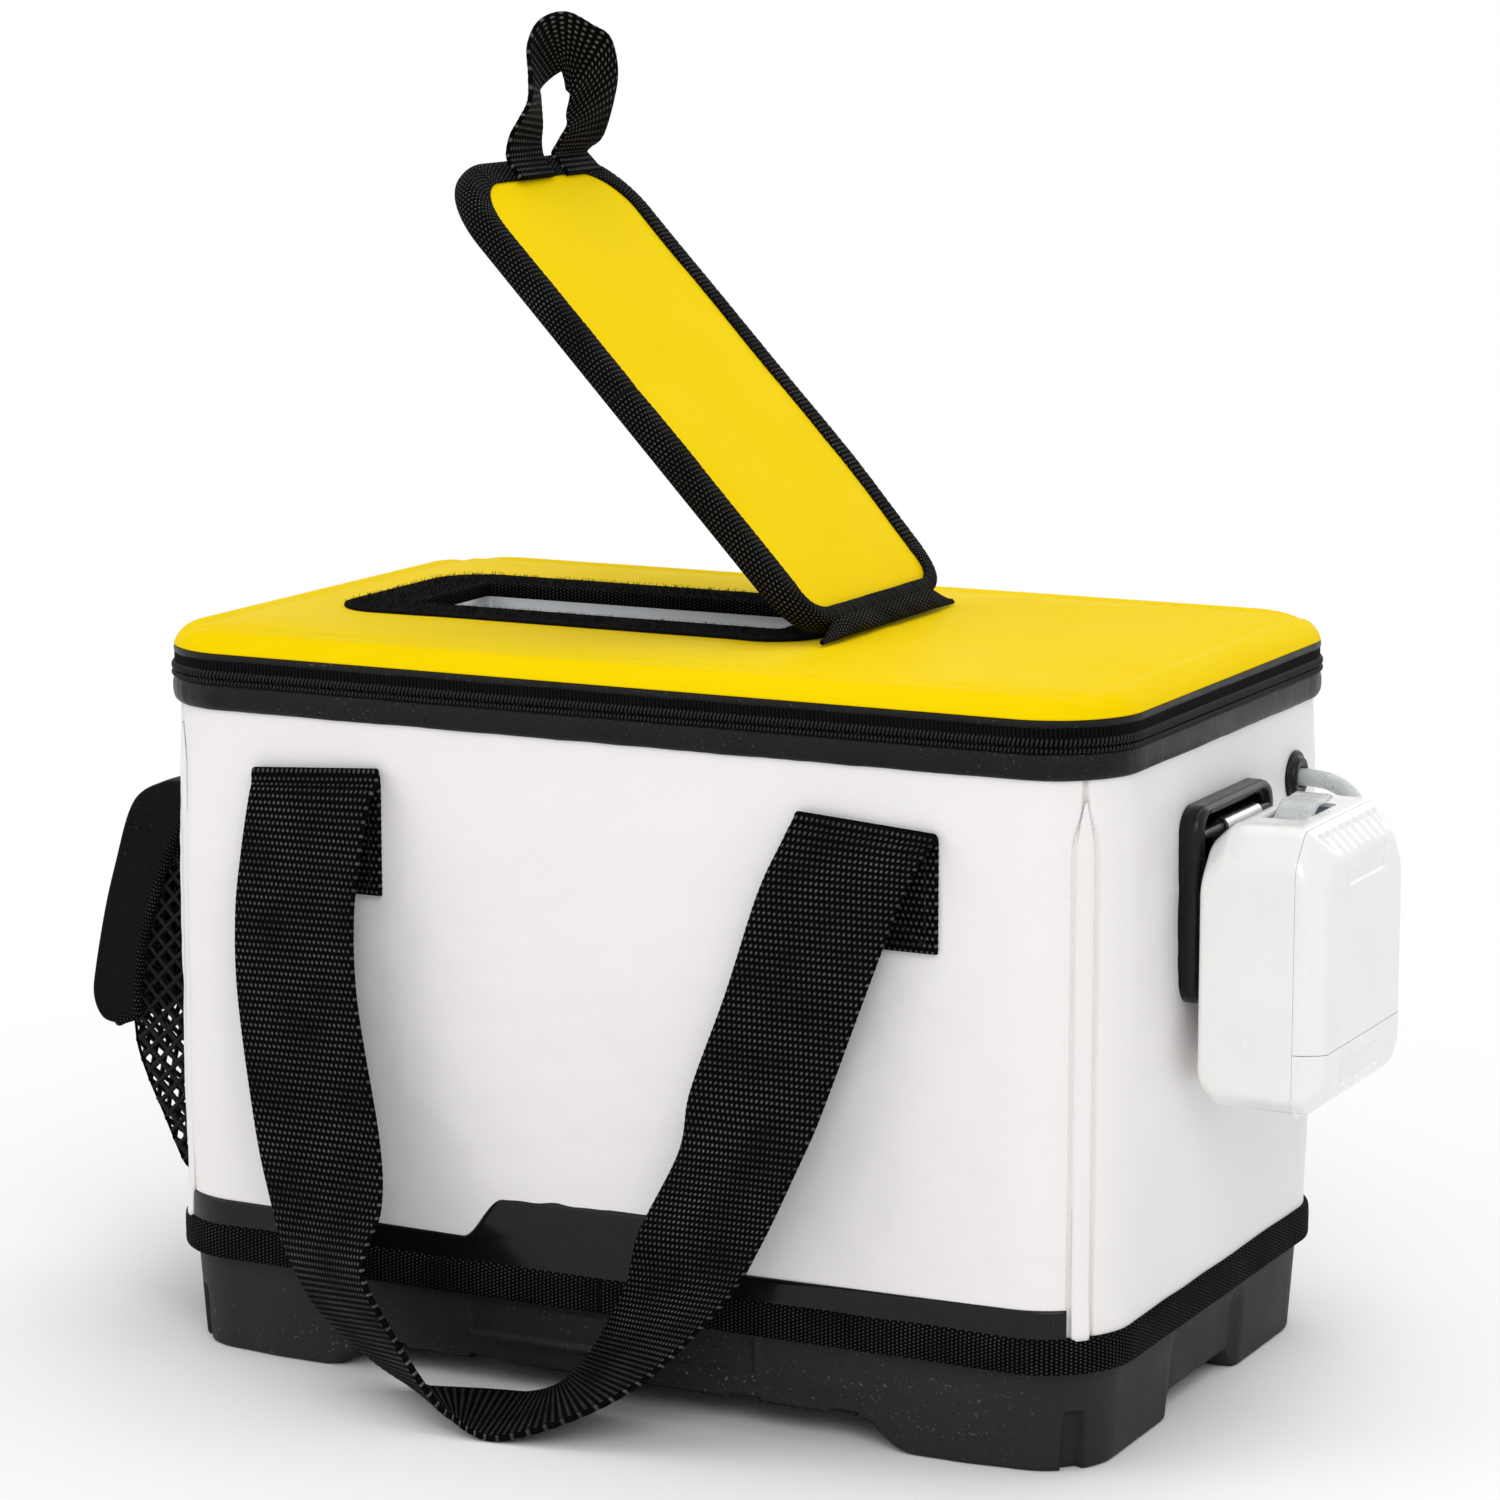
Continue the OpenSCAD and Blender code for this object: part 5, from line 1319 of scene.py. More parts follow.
    def build(self) -> list[bpy.types.Object]:
        """Makes every piece."""
        hole, strip = self.hole, self.strip
        sleeve = [(hole.inset(-1.1), 239.0), (hole.inset(-1.1), 251.3), (hole.inset(-0.1), 251.3), (hole.inset(-0.1), 239.0)]
        bound = [(hole.inset(-1.2), 251.0), (hole.inset(-1.9), 255.6), (hole.inset(-1.6), 256.3), (hole.inset(-0.8), 256.5), (hole.inset(0.0), 256.1)]
        bound += [(hole.inset(0.15), 255.0), (hole.inset(0.1), 252.0), (hole.inset(-0.4), 251.0)]
        flat = [(strip.inset(0.3), 254.4), (strip.inset(-0.05), 255.4), (strip.inset(0.2), 256.1), (strip.inset(0.8), 256.3)]
        flat += [(hole.inset(-1.6), 256.3), (hole.inset(-1.2), 256.1), (hole.inset(-1.2), 254.4)]
        under = [(LEVELS.outline.inset(1.7), self.liner_low), (LEVELS.outline.inset(1.6), 239.4), (LEVELS.outline.inset(1.7), 240.1)]
        under += [(hole.inset(-1.3), 240.1), (hole.inset(-1.3), self.liner_low)]
        return [
            self.pad(),
            self.ring("hatch_sleeve_film", "liner_film", sleeve, "liner_film", ("hatch_sleeve",)),
            self.ring("hatch_edge_binding", "binding_tape", bound, "black_trim", ("hatch_binding",)),
            self.ring("hatch_loop_strip", "loop_pile", flat, "fastener", ("hatch_loop_ring",)),
            self.pile(),
            self.ring("lid_underside_film", "liner_film", under, "liner_film", ("lid_liner",), 3.0),
        ]


# ---------------------------------------------------------------- flap, straps and pocket


@dataclass(frozen=True)
class Ribbon:
    """Flat strap through pairs of edge points, with woven ribs across it and rounded edges."""

    thickness: float
    rib: float = 2.3
    relief: float = 0.16
    step: float = 0.575

    def mesh(self, left: Array, right: Array) -> Mesh:
        """The strap as closed sections along the middle of its edges.

        A section runs over the top from edge to edge and back underneath. Its half thickness is full
        over the width and falls as a circle does at the edges. The ribs add the size of a sine of the
        distance along the strap.

        Args:
            left: Edge points (n, 3), already smooth.
            right: The other edge.

        Returns:
            The mesh, with UVs in millimetres along and across.
        """
        pairs = np.concatenate([(left + right) / 2, right - left], axis=1)
        line, run = respaced(pairs, self.step)
        mid, across = line[:, :3], line[:, 3:]
        width = np.linalg.norm(across, axis=1)
        normal = unit(np.cross(tangents(mid), across))
        half = width.mean() / 2
        edge = self.thickness / 2
        turn = np.linspace(0, math.pi / 2, 5)
        side = half - edge + edge * np.sin(turn)
        flat = np.linspace(0, half - edge, 9)
        v = np.concatenate([-side[::-1], -flat[::-1][1:-1], flat[:-1], side])
        thick = np.sqrt(np.clip(1 - (np.maximum(np.abs(v) - (half - edge), 0) / edge) ** 2, 0, 1)) * edge
        rib = self.relief * (np.abs(np.sin(math.pi * run / self.rib)) - 0.6)
        over = thick[None, :] + rib[:, None] * (thick / edge)[None, :]
        scallop = 1 + 0.004 * np.cos(2 * math.pi * run / self.rib)
        place = mid[:, None] + (across / width[:, None] * scallop[:, None])[:, None] * v[None, :, None]
        top = place + normal[:, None] * over[..., None]
        low = place - normal[:, None] * over[..., None]
        rows = np.concatenate([top, low[:, ::-1][:, 1:-1]], axis=1)
        vs = np.concatenate([v, v[::-1][1:-1]])
        uv = np.stack(np.broadcast_arrays(run[:, None], vs[None, :]), -1)
        rows = rows[:, ::-1]
        return capped(Mesh(), rows, uv[:, ::-1])


@dataclass
class HatchFlap:
    """Padded yellow flap that stands open: pad, backing, wide binding, hook strip, hinge fabric and pull loop."""

    finishes: Finishes
    axis: tuple[float, float, float] = (44.6, 0.0, 256.8)
    open_angle: float = 46.5
    outline: Outline = Outline(200, 110, 19, left=29, centre=(-100.0, 0.0))
    thickness: float = 9
    band: float = 10
    root_cut: float = -1.0
    stretch: float = 1.024
    far_widen: float = 0.08
    far_raise: float = 1.6
    loop_from: tuple[float, float, float] = (-89.8, 0.0, 411.6)

    def stand(self, local: Array) -> Array:
        """Points of the closed flap turned up about its hinge.

        The root's upper edge is first cut back in proportion to its height, and the far half is drawn
        out and up a little, as the flap hangs in its hinge.
        """
        x, y, z = local[..., 0] * self.stretch, local[..., 1], local[..., 2]
        z = z + self.far_raise * smoothstep(y, -20, 55) * smoothstep(-x, 10, 60)
        y = y + self.far_widen * np.maximum(y, 0)
        x = x - self.root_cut * np.clip(z / self.thickness, 0, 1.1) * smoothstep(x, -22, 0)
        a = math.radians(self.open_angle)
        return np.stack(
            [self.axis[0] + x * math.cos(a) + z * math.sin(a), y, self.axis[2] - x * math.sin(a) + z * math.cos(a)], -1
        )

    def sag(self, x: Array, y: Array) -> Array:
        """Unevenness of the padding, over the flap's own plane."""
        return 0.35 * waves(x, y, 91, 70, 3) + 0.5 * np.exp(-(((x + 60) / 26) ** 2)) * (np.abs(y) / 55) ** 2

    def slab(self, name: str, finish: str, steps: list[tuple[float, float]], slot: Slot, nodes: tuple[str, ...], soft: float) -> bpy.types.Object:
        """Pillow: rings of the outline drawn in by steps, from the middle of its underside out and over its top."""
        leg, share = self.outline.place(self.outline.samples(1.6))
        rows = rings([(self.outline.inset(d), z) for d, z in steps], leg, share)
        x, y, z = rows[..., 0], rows[..., 1], rows[..., 2]
        rows[..., 2] = z + soft * self.sag(x, y) * smoothstep(z, 5, 8)
        piece = Mesh().loft(self.stand(rows)).build(name, self.finishes[finish], "hatch_flap", slot)
        modified(piece, "WELD", merge_threshold=0.06 * MM)
        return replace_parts(applied(piece), *nodes)

    def pad(self) -> bpy.types.Object:
        """The yellow face: level over the middle, falling in a soft curve under the binding."""
        inner = [(54.98, 4.6), (40, 4.6), (20, 4.6), (6, 4.6), (4.5, 5.2), (4.2, 6.4), (5.0, 7.3)]
        crown = [(d, 7.7 + 1.5 * (1 - math.exp(-(d - 6) / 7))) for d in (6, 8, 9, 10, 11, 12, 14, 16, 19, 22, 26, 30, 34, 38, 42, 46, 50, 53, 54.98)]
        piece = self.slab("flap_pad", "yellow_coated_cloth", inner + crown, Slot.YELLOW, ("flap_panel", "flap_core"), 1.0)
        return piece

    def backing(self) -> bpy.types.Object:
        """The black underside."""
        steps = [(54.98, 0.9), (40, 0.9), (20, 0.9), (8, 1.0), (5, 1.6), (4.4, 3), (5, 4.3), (20, 4.5), (40, 4.5), (54.98, 4.5)]
        return self.slab("flap_backing", "cover_cloth", steps, Slot.VINYL, ("flap_underside",), 0.0)

    def binding(self) -> bpy.types.Object:
        """Binding: a C-shaped profile carried round the outline, its width wavering a little."""
        outline = self.outline
        s = outline.samples(1.1)
        leg, share = outline.place(s)
        profile = smooth_curve(
            np.array(
                [(9.6, 1.4), (9.9, 0.3), (8.5, 0.05), (4, 0.1), (1.6, 0.5), (0.4, 1.9), (0.0, 3.6), (0.0, 5.6),
                 (0.5, 7.5), (1.8, 9.0), (4.5, 9.7), (8.4, 9.6), (9.9, 9.1), (9.7, 8.0)]
            ),
            3,
        )
        base, _ = outline.point(leg, share)
        width = 1 + 0.035 * waves(base[:, 0] + base[:, 1], base[:, 1], 95, 50, 2)
        width = width * (1 - 0.42 * smoothstep(base[:, 0], -16, -3))
        plan = []
        for d, z in profile:
            points, normal = outline.inset(d).point(leg, share)
            points = points - normal * (d * (width - 1))[:, None]
            plan.append(np.column_stack([points, np.full(len(points), z)]))
        rows = np.array(plan)
        top = smoothstep(rows[..., 2], 5, 8)
        rib = 0.24 * np.abs(np.sin(math.pi * s / 1.9))[None, :]
        rows[..., 2] += top * (0.5 * self.sag(rows[..., 0], rows[..., 1]) + rib)
        run = np.cumsum(np.concatenate([[0], np.linalg.norm(np.diff(profile, axis=0), axis=1)]))
        uv = np.stack(np.broadcast_arrays(s[None, :], run[:, None]), -1)
        piece = Mesh().loft(self.stand(rows), tall=True, uv=uv).build("flap_binding_tape", self.finishes["flap_tape"], "hatch_flap", Slot.TRIM)
        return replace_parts(piece, "flap_binding")

    def hooks(self) -> bpy.types.Object:
        """Hook strip on the underside: a flat ring between the binding and the hatch hole's outline."""
        leg, share = self.outline.place(self.outline.samples(2))
        hole = Outline(144, 54, 4, centre=(-91.6, 0.0))
        outer = self.outline.inset(12.3)
        steps = [(hole, 0.95), (hole, 0.3), (hole.inset(-1), 0.05), (outer.inset(1), 0.05), (outer, 0.3), (outer, 0.95)]
        rows = rings(steps, leg, share)
        piece = Mesh().loft(self.stand(rows), tall=True).build("flap_hook_strip_pile", self.finishes["loop_pile"], "hatch_flap", Slot.FASTENER)
        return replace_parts(piece, "flap_hook_strip")

    def hinge(self) -> bpy.types.Object:
        """Hinge fabric: a sheet from the lid up on to the flap's root end, which bends at the hinge line."""
        y = np.linspace(-51, 55.5, 108)
        line = smooth_curve(np.array([(49.6, 255.9), (51.8, 256.1), (53.3, 256.6), (54.1, 257.6), (54.2, 259.0),
            (53.6, 260.5), (52.4, 262.2), (51.0, 263.7), (49.4, 264.8)]), 5)
        high = np.clip((line[:, 1] - 255.9) / 8.9, 0, 1)[:, None]
        end = smoothstep(np.abs(y - 2.25), 33, 54)[None, :]
        pucker = 0.5 * waves(y[None, :] + 9 * high, 6 * high + 0 * y[None, :], 97, 22, 3) * np.sin(math.pi * np.clip(0.15 + high, 0, 1))
        keep = 1 - 0.8 * end
        x = 52.2 + (line[:, 0][:, None] - 52.2) * keep + 0.6 * end + pucker * keep
        z = 256.0 + (line[:, 1][:, None] - 256.0) * keep + 0.4 * pucker * keep
        rows = np.stack(np.broadcast_arrays(x, y[None, :], z), -1)
        run = np.cumsum(np.concatenate([[0], np.linalg.norm(np.diff(line, axis=0), axis=1)]))
        uv = np.stack(np.broadcast_arrays(y[None, :], run[:, None]), -1)
        piece = Mesh().loft(rows, closed=False, uv=uv).build("flap_hinge_fabric", self.finishes["flap_tape"], None, Slot.TRIM)
        applied(modified(piece, "SOLIDIFY", thickness=1.3 * MM, offset=-1))
        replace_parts(piece, "flap_hinge_strip")
        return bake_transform(piece)

    def loop(self) -> bpy.types.Object:
        """Pull loop: one strap, sewn down at both ends on the tip and twisted over between them."""
        left = [(8.9, -14.6, -6.9), (6.8, -14.2, -4.6), (4.7, -13.6, -2.4), (3.0, -13, -0.2), (2.6, -12.6, 2.5),
            (4, -12.4, 8), (7.5, -12.2, 13.5), (11, -11.6, 20), (10, -9.2, 29), (7, -4.8, 39), (8, 1.6, 47)]
        left += [(12.5, 13, 50), (17.5, 22, 45.5), (22.5, 28.5, 43), (21.5, 33, 32.5), (16, 40.5, 18.5),
            (10.5, 42.4, 6), (5.0, 43.2, 2.0), (3.0, 43.4, -0.2), (4.7, 43.6, -2.4), (6.8, 43.8, -4.6),
            (8.9, 43.8, -6.9)]
        right = [(8.9, 10.4, -6.9), (6.8, 10.8, -4.6), (4.7, 11.4, -2.4), (3.0, 12, -0.2), (2.2, 12.3, 2.5),
            (2, 12.4, 5.5), (2.5, 12.2, 11), (2, 11.6, 20), (1, 13.2, 23), (4, 16.8, 27), (7.5, 18.4, 29)]
        right += [(8, 19, 26), (8, 20, 22.5), (8.5, 19.5, 19), (8, 21, 15.5), (10, 17.5, 10.5), (6.8, 18.0, 5.5),
            (4.2, 19.0, 2.0), (3.0, 19.5, -0.2), (4.7, 20.0, -2.4), (6.8, 20.0, -4.6), (8.9, 20.0, -6.9)]
        start = np.array(self.loop_from)
        one, two = (smooth_curve(np.array(side) + start, 8) for side in (left, right))
        mesh = Ribbon(1.9, rib=2.0, relief=0.13, step=0.5).mesh(one, two)
        piece = mesh.build("flap_pull_loop", self.finishes["handle_webbing"], "hatch_flap", Slot.WEBBING)
        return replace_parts(piece, "flap_grab_loop")

    def build(self) -> list[bpy.types.Object]:
        """Makes every piece."""
        return [self.pad(), self.backing(), self.binding(), self.hooks(), self.hinge(), self.loop()]


class Side(Enum):
    """Front or rear of the box, as the sign of Y."""

    FRONT = -1
    REAR = 1


@dataclass
class Handle:
    """One webbing handle: sewn down at both ends, folded over its own stitching and hung to the floor."""

    finishes: Finishes
    side: Side
    width: float = 50
    thickness: float = 2.4
    middle: float = -5.75
    half_span: float = 102.75
    axis_height: float = 209.6
    route: tuple[tuple[float, ...], ...] = (
        (-1, 1.35, 0.808, 0, 0), (-1, 1.35, 0.87, 0, 0), (-1, 1.35, 0.95, 0, 0), (-1, 1.4, 0.984, 0, 1), (-1, 1.9, 0.998, 0, 3),
        (-0.997, 2.9, 1.004, 0, 4), (-0.992, 4.0, 0.998, 0, 4), (-0.99, 4.9, 0.982, -1, 4), (-0.995, 8, 0.955, -5, 3), (-1.008, 11.5, 0.87, -6, 2),
        (-1.01, 15.5, 0.773, -6, 3), (-0.985, 18.5, 0.64, -5, 3), (-0.9, 21.5, 0.43, -2, 1), (-0.85, 25.5, 0.324, -10, 3),
        (-0.83, 28.5, 0.224, -29, 9), (-0.69, 31, 0.134, -35, 11), (-0.44, 28, 0.026, -51, 8), (-0.17, 22.5, 0.007, -73, 0),
        (0.15, 20.5, 0.083, -43, 8), (0.41, 21.5, 0.234, -23, 7), (0.51, 21.5, 0.339, -11, 4), (0.65, 21.5, 0.477, -13, 4),
        (0.69, 16.5, 0.568, -4, 1), (0.8, 13.5, 0.725, -4, 1), (0.9, 9, 0.883, 0, 0), (0.97, 6.4, 0.962, -2, -2), (0.99, 4.9, 0.981, 0, -3),
        (1, 3.9, 0.992, 0, -4), (1, 2.9, 0.998, 0, -4), (1, 1.9, 0.993, 0, -3), (1, 1.4, 0.98, 0, -1), (1, 1.35, 0.95, 0, 0),
        (1, 1.35, 0.87, 0, 0), (1, 1.35, 0.808, 0, 0),
    )

    def edges(self) -> tuple[Array, Array]:
        """Edge points from the stations.

        A station gives the share of the half span, the distance out from the wall, the share of the
        axis height, and the yaw and tilt of the width; a low station is lifted clear of the floor.
        """
        station = smooth_curve(np.array(self.route), 10)
        share, out, high, yaw, tilt = station.T
        yaw, tilt = np.radians(yaw), np.radians(tilt)
        way = np.stack([np.cos(yaw) * np.cos(tilt), np.sin(yaw) * np.cos(tilt), np.sin(tilt)], -1) * self.width / 2
        low = self.thickness / 2 + np.abs(way[:, 2]) + 0.15
        mid = np.stack([self.middle + share * self.half_span, -LEVELS.depth / 2 - out, np.maximum(high * self.axis_height, low)], -1)
        turn = np.array([1, -self.side.value, 1])
        return (mid - way) * turn, (mid + way) * turn

    def build(self) -> list[bpy.types.Object]:
        """The strap, which stands for the sewn ends too, bending where it leaves them, and its stitches."""
        word = self.side.name.lower()
        mesh = Ribbon(self.thickness).mesh(*self.edges())
        piece = mesh.build(f"{word}_handle_webbing", self.finishes["handle_webbing"], None, Slot.WEBBING)
        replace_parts(piece, f"{word}_handle", f"{word}_handle_patches")
        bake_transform(piece)
        return [piece, self.stitches()]

    def stitches(self) -> bpy.types.Object:
        """Box-and-cross stitching of the sewn ends: short thread bars set a pitch apart along straight lines."""
        corners = np.array([(-21, 172), (21, 172), (21, 203), (-21, 203)], float)
        mesh = Mesh()
        for end in (-1, 1):
            for a, b in ((0, 1), (1, 2), (2, 3), (3, 0), (0, 2), (1, 3)):
                p, q = corners[a], corners[b]
                n = int(np.linalg.norm(q - p) / 3.2)
                at = p + (q - p) * ((np.arange(n) + 0.2) / n)[:, None]
                to = p + (q - p) * ((np.arange(n) + 0.85) / n)[:, None]
                line = np.stack([at, (at + to) / 2, to], 1)
                lift = np.array([2.4, 2.75, 2.4])
                spine = np.stack(
                    [
                        self.middle + end * self.half_span + line[..., 0],
                        np.broadcast_to(self.side.value * (LEVELS.depth / 2 + lift), line.shape[:2]),
                        line[..., 1],
                    ],
                    -1,
                )
                turn = 2 * math.pi * np.arange(5) / 5
                way = unit(np.append(q - p, 0)[[0, 2, 1]])
                one = np.array([0, 1.0, 0])
                two = np.cross(way, one)
                ring = (np.cos(turn)[:, None] * one + np.sin(turn)[:, None] * two) * 0.26
                points = spine[:, :, None] + ring[None, None]
                mesh.add(points, (grid_faces(3, 5)[None] + 15 * np.arange(n)[:, None, None]).reshape(-1, 4))
        word = self.side.name.lower()
        return mesh.build(f"{word}_handle_stitches", self.finishes["black_thread"], "cooler_body", Slot.WEBBING)


def diagonals(corners: Array, pitch: float) -> list[tuple[Array, Array]]:
    """Lines at 45 degrees both ways across a convex field, a pitch apart.

    Each line enters the field at its furthest crossing with the sides that it runs in through and
    leaves at the nearest of those that it runs out through.

    Args:
        corners: Corners of the field, anticlockwise (n, 2).
        pitch: Distance between neighbouring lines along either axis.

    Returns:
        Start and end of each line.
    """
    sides = np.roll(corners, -1, axis=0) - corners
    inward = np.stack([-sides[:, 1], sides[:, 0]], -1)
    low, high = corners.min(0), corners.max(0)
    span = float((high - low).sum())
    found = []
    for slope in (1.0, -1.0):
        way = np.array([1.0, slope]) / math.sqrt(2)
        for k in range(-int(span / pitch) - 1, int(span / pitch) + 2):
            start = np.array([low[0], low[1] + (0.5 + k) * pitch])
            speed = inward @ way
            gap = ((corners - start) * inward).sum(1)
            enter = max((g / v for g, v in zip(gap, speed) if v > 1e-9), default=0.0)
            leave = min((g / v for g, v in zip(gap, speed) if v < -1e-9), default=0.0)
            if leave - enter > 1.5:
                found.append((start + way * enter, start + way * leave))
    return found


@dataclass
class SidePocket:
    """Net pocket on the left wall, with its boxed cover."""

    finishes: Finishes
    half_width: float = 76.4
    pitch: float = 7.5
    strand: float = 0.95
    cover_half: float = 80
    seam: float = 197.5
    line: tuple[tuple[float, float], ...] = ((0.6, 55.5), (5, 55.7), (9.5, 57), (18, 74.4), (23.3, 85),
        (27.6, 96), (28.9, 104), (29.4, 112), (29.8, 130), (30.2, 166))
    sheet: tuple[tuple[float, float], ...] = ((0.7, -2.6), (8, -3.0), (16, -4.4), (27.4, -12.2), (36.2, -38),
        (43.9, -70.5), (45.6, -82.5), (42, -90.3), (35.5, -91.6))
    gusset: tuple[tuple[float, float], ...] = ((0.7, -7.5), (14, -32.5), (24, -62.5), (27, -88.5))

    @staticmethod
    def on_wall(out: Array, y: Array, z: Array) -> Array:
        """Points from their distance out of the left wall."""
        return np.stack(np.broadcast_arrays(-LEVELS.length / 2 - out, y, z), -1)

    def front_map(self, uv: Array) -> Array:
        """Front and bottom of the net: across the wall by the first coordinate, along the bent line by the second."""
        bent, run = respaced(smooth_curve(np.array(self.line), 6), 1.5, width=2)
        out, z = np.interp(uv[..., 1], run, bent[:, 0]), np.interp(uv[..., 1], run, bent[:, 1])
        y = uv[..., 0]
        belly = np.cos(math.pi * np.clip(y / (2 * self.half_width), -0.5, 0.5)) * np.sin(math.pi * np.clip(uv[..., 1] / run[-1], 0, 1))
        return self.on_wall(out + 0.9 * belly, y, z)

    def strands(self, mesh: Mesh, corners: Array, place: Callable[[Array], Array]) -> None:
        """Adds the strands of one field, each a thin tube, and a knot where two cross."""
        lines = diagonals(corners, self.pitch)
        for start, end in lines:
            n = max(int(np.linalg.norm(end - start) / 2.6), 2)
            flat = start + (end - start) * np.linspace(0, 1, n + 1)[:, None]
            mesh.loft(tube_rows(place(flat), self.strand, 6))
        sides = np.roll(corners, -1, axis=0) - corners
        inward = unit(np.stack([-sides[:, 1], sides[:, 0]], -1))
        low, high = corners.min(0), corners.max(0)
        i, j = np.meshgrid(np.arange(-1, (high[0] - low[0]) / self.pitch * 2 + 2), np.arange(-1, (high[1] - low[1]) / self.pitch * 2 + 2))
        keep = (i + j) % 2 == 1
        knots = low + np.stack([i[keep], j[keep]], -1) * self.pitch / 2
        inside = (((knots[:, None] - corners[None]) * inward[None]).sum(-1) > 0.5).all(1)
        centres = place(knots[inside])
        turn = 2 * math.pi * np.arange(6) / 6
        rise = np.array([-1, -0.55, 0.55, 1])
        wide = np.array([0.25, 0.95, 0.95, 0.25])
        ball = np.stack([wide[:, None] * np.cos(turn), wide[:, None] * np.sin(turn), np.broadcast_to(rise[:, None], (4, 6))], -1) * 1.25
        points = centres[:, None, None] + ball[None]
        mesh.add(points, (grid_faces(4, 6)[None] + 24 * np.arange(len(centres))[:, None, None]).reshape(-1, 4))

    def nets(self) -> list[bpy.types.Object]:
        """The net in front and below, and one at each end."""
        _, run = respaced(smooth_curve(np.array(self.line), 6), 1.5, width=2)
        w = self.half_width
        field_size = np.array([(-w, 0), (w, 0), (w, run[-1]), (-w, run[-1])])
        mesh = Mesh()
        self.strands(mesh, field_size, self.front_map)
        cord = self.finishes["net_cord"]
        front = mesh.build("pocket_net_wrap", cord, "cooler_body", Slot.NET)
        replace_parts(front, "pocket_net_front", "pocket_net_bottom")
        made = [front]
        ends = np.array([(0.4, 55.5), (9.5, 57), (23.3, 85), (29.2, 108), (30.2, 165), (0.4, 171)])
        for word, y in (("front", -w), ("rear", w)):
            mesh = Mesh()
            self.strands(mesh, ends, lambda uv, y=y: self.on_wall(uv[..., 0], y + 0 * uv[..., 0], uv[..., 1]))
            piece = mesh.build(f"pocket_net_end_{word}", cord, "cooler_body", Slot.NET)
            made.append(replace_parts(piece, f"pocket_net_gusset_{word}"))
        return made

    def hems(self) -> list[bpy.types.Object]:
        """Bound edges of the net: down both front corners, along the wall, and an elastic hem round its top."""
        w = self.half_width
        edge = smooth_curve(np.array(self.line), 6)
        tape = self.finishes["binding_tape"]
        mesh = Mesh()
        for y in (-w, w):
            mesh.loft(tube_rows(self.on_wall(edge[:, 0], np.full(len(edge), y), edge[:, 1]), 0.6, 8))
            wall = np.linspace(55.5, 171, 40)
            mesh.loft(tube_rows(self.on_wall(np.full(40, 0.9), np.full(40, y), wall), 1.25, 8))
        foot = np.linspace(-w, w, 60)
        mesh.loft(tube_rows(self.on_wall(np.full(60, 0.9), foot, np.full(60, 55.5)), 1.25, 8))
        seams = mesh.build("pocket_net_seams", tape, "cooler_body", Slot.NET)
        path = np.array([(0.6, w, 170), (10, w, 168.6), (22, w, 167), (29.4, w, 165.8), (31.2, w - 2.2, 165.5),
            (31.6, w - 20, 165.2), (31.8, 0, 164.6)])
        half = smooth_curve(path, 8)
        whole = np.concatenate([half, (half * [1, -1, 1])[::-1][1:]])
        left = self.on_wall(whole[:, 0], whole[:, 1], whole[:, 2] - 4.5)
        right = self.on_wall(whole[:, 0] - 0.1, whole[:, 1], whole[:, 2] + 4.5)
        hem = Ribbon(1.5, rib=1.6, relief=0.12, step=0.8).mesh(left, right)
        band = hem.build("pocket_net_hem", tape, "cooler_body", Slot.NET)
        return [seams, band]

    def cover(self) -> list[bpy.types.Object]:
        """Cover: one sheet that comes out of the wall seam, falls over the net and turns in at both ends.

        A column runs down the cover's line. The columns past each end pass over, in equal shares, from
        that line to the end gusset's inner edge.
        """
        face = smooth_curve(np.array(self.sheet), 6)
        inner, _ = respaced(smooth_curve(np.array(self.gusset), 10), 1, width=2)
        share = np.linspace(0, 1, len(face))
        back = np.stack([np.interp(share, np.linspace(0, 1, len(inner)), inner[:, k]) for k in (0, 1)], -1)
        half = self.cover_half - 1.2
        flat = np.concatenate([[-half + 0.0, -half + 1.2], np.linspace(-half + 4, half - 4, 64), [half - 1.2, half]])
        columns = [(y, 0.0) for y in flat]
        turns = [0.06, 0.16, 0.35, 0.55, 0.75, 0.95, 1.0]
        columns = [(-half, g) for g in turns[::-1]] + columns + [(half, g) for g in turns]
        rows = []
        for y, g in columns:
            line = face * (1 - g) + back * g
            round_off = 1.4 * np.exp(-(((half - abs(y)) + 40 * g) / 2.5))
            out = line[:, 0] - round_off * 0.6
            high = line[:, 1] + self.seam
            soft = 0.6 * waves(np.full(len(out), y), high, 101, 60, 3) * smoothstep(self.seam - high, 6, 40)
            rows.append(self.on_wall(out + soft * (1 - g), np.full(len(out), y) * (1 - 0.004 * np.sin(math.pi * share)), high))
        grid = np.array(rows)
        piece = Mesh().loft(grid, closed=False).build("pocket_cover_cloth", self.finishes["cover_cloth"], "pocket_cover", Slot.VINYL)
        modified(piece, "SOLIDIFY", thickness=1.8 * MM, offset=0)
        modified(piece, "SUBSURF", levels=1, render_levels=1)
        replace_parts(piece, "pocket_flap")
        hem = np.concatenate([grid[0][len(share) // 8 :], grid[:, -1], grid[-1][::-1][: -(len(share) // 8)]])
        hem, run = respaced(hem, 1.2)
        tube = tube_rows(hem, 1.75, 10)
        uv = np.stack(np.broadcast_arrays(run[:, None], np.arange(10)[None, :] * 1.1), -1)
        edge = capped(Mesh(), tube, uv).build("pocket_cover_edge", self.finishes["binding_tape"], "pocket_cover", Slot.TRIM)
        return [piece, edge]

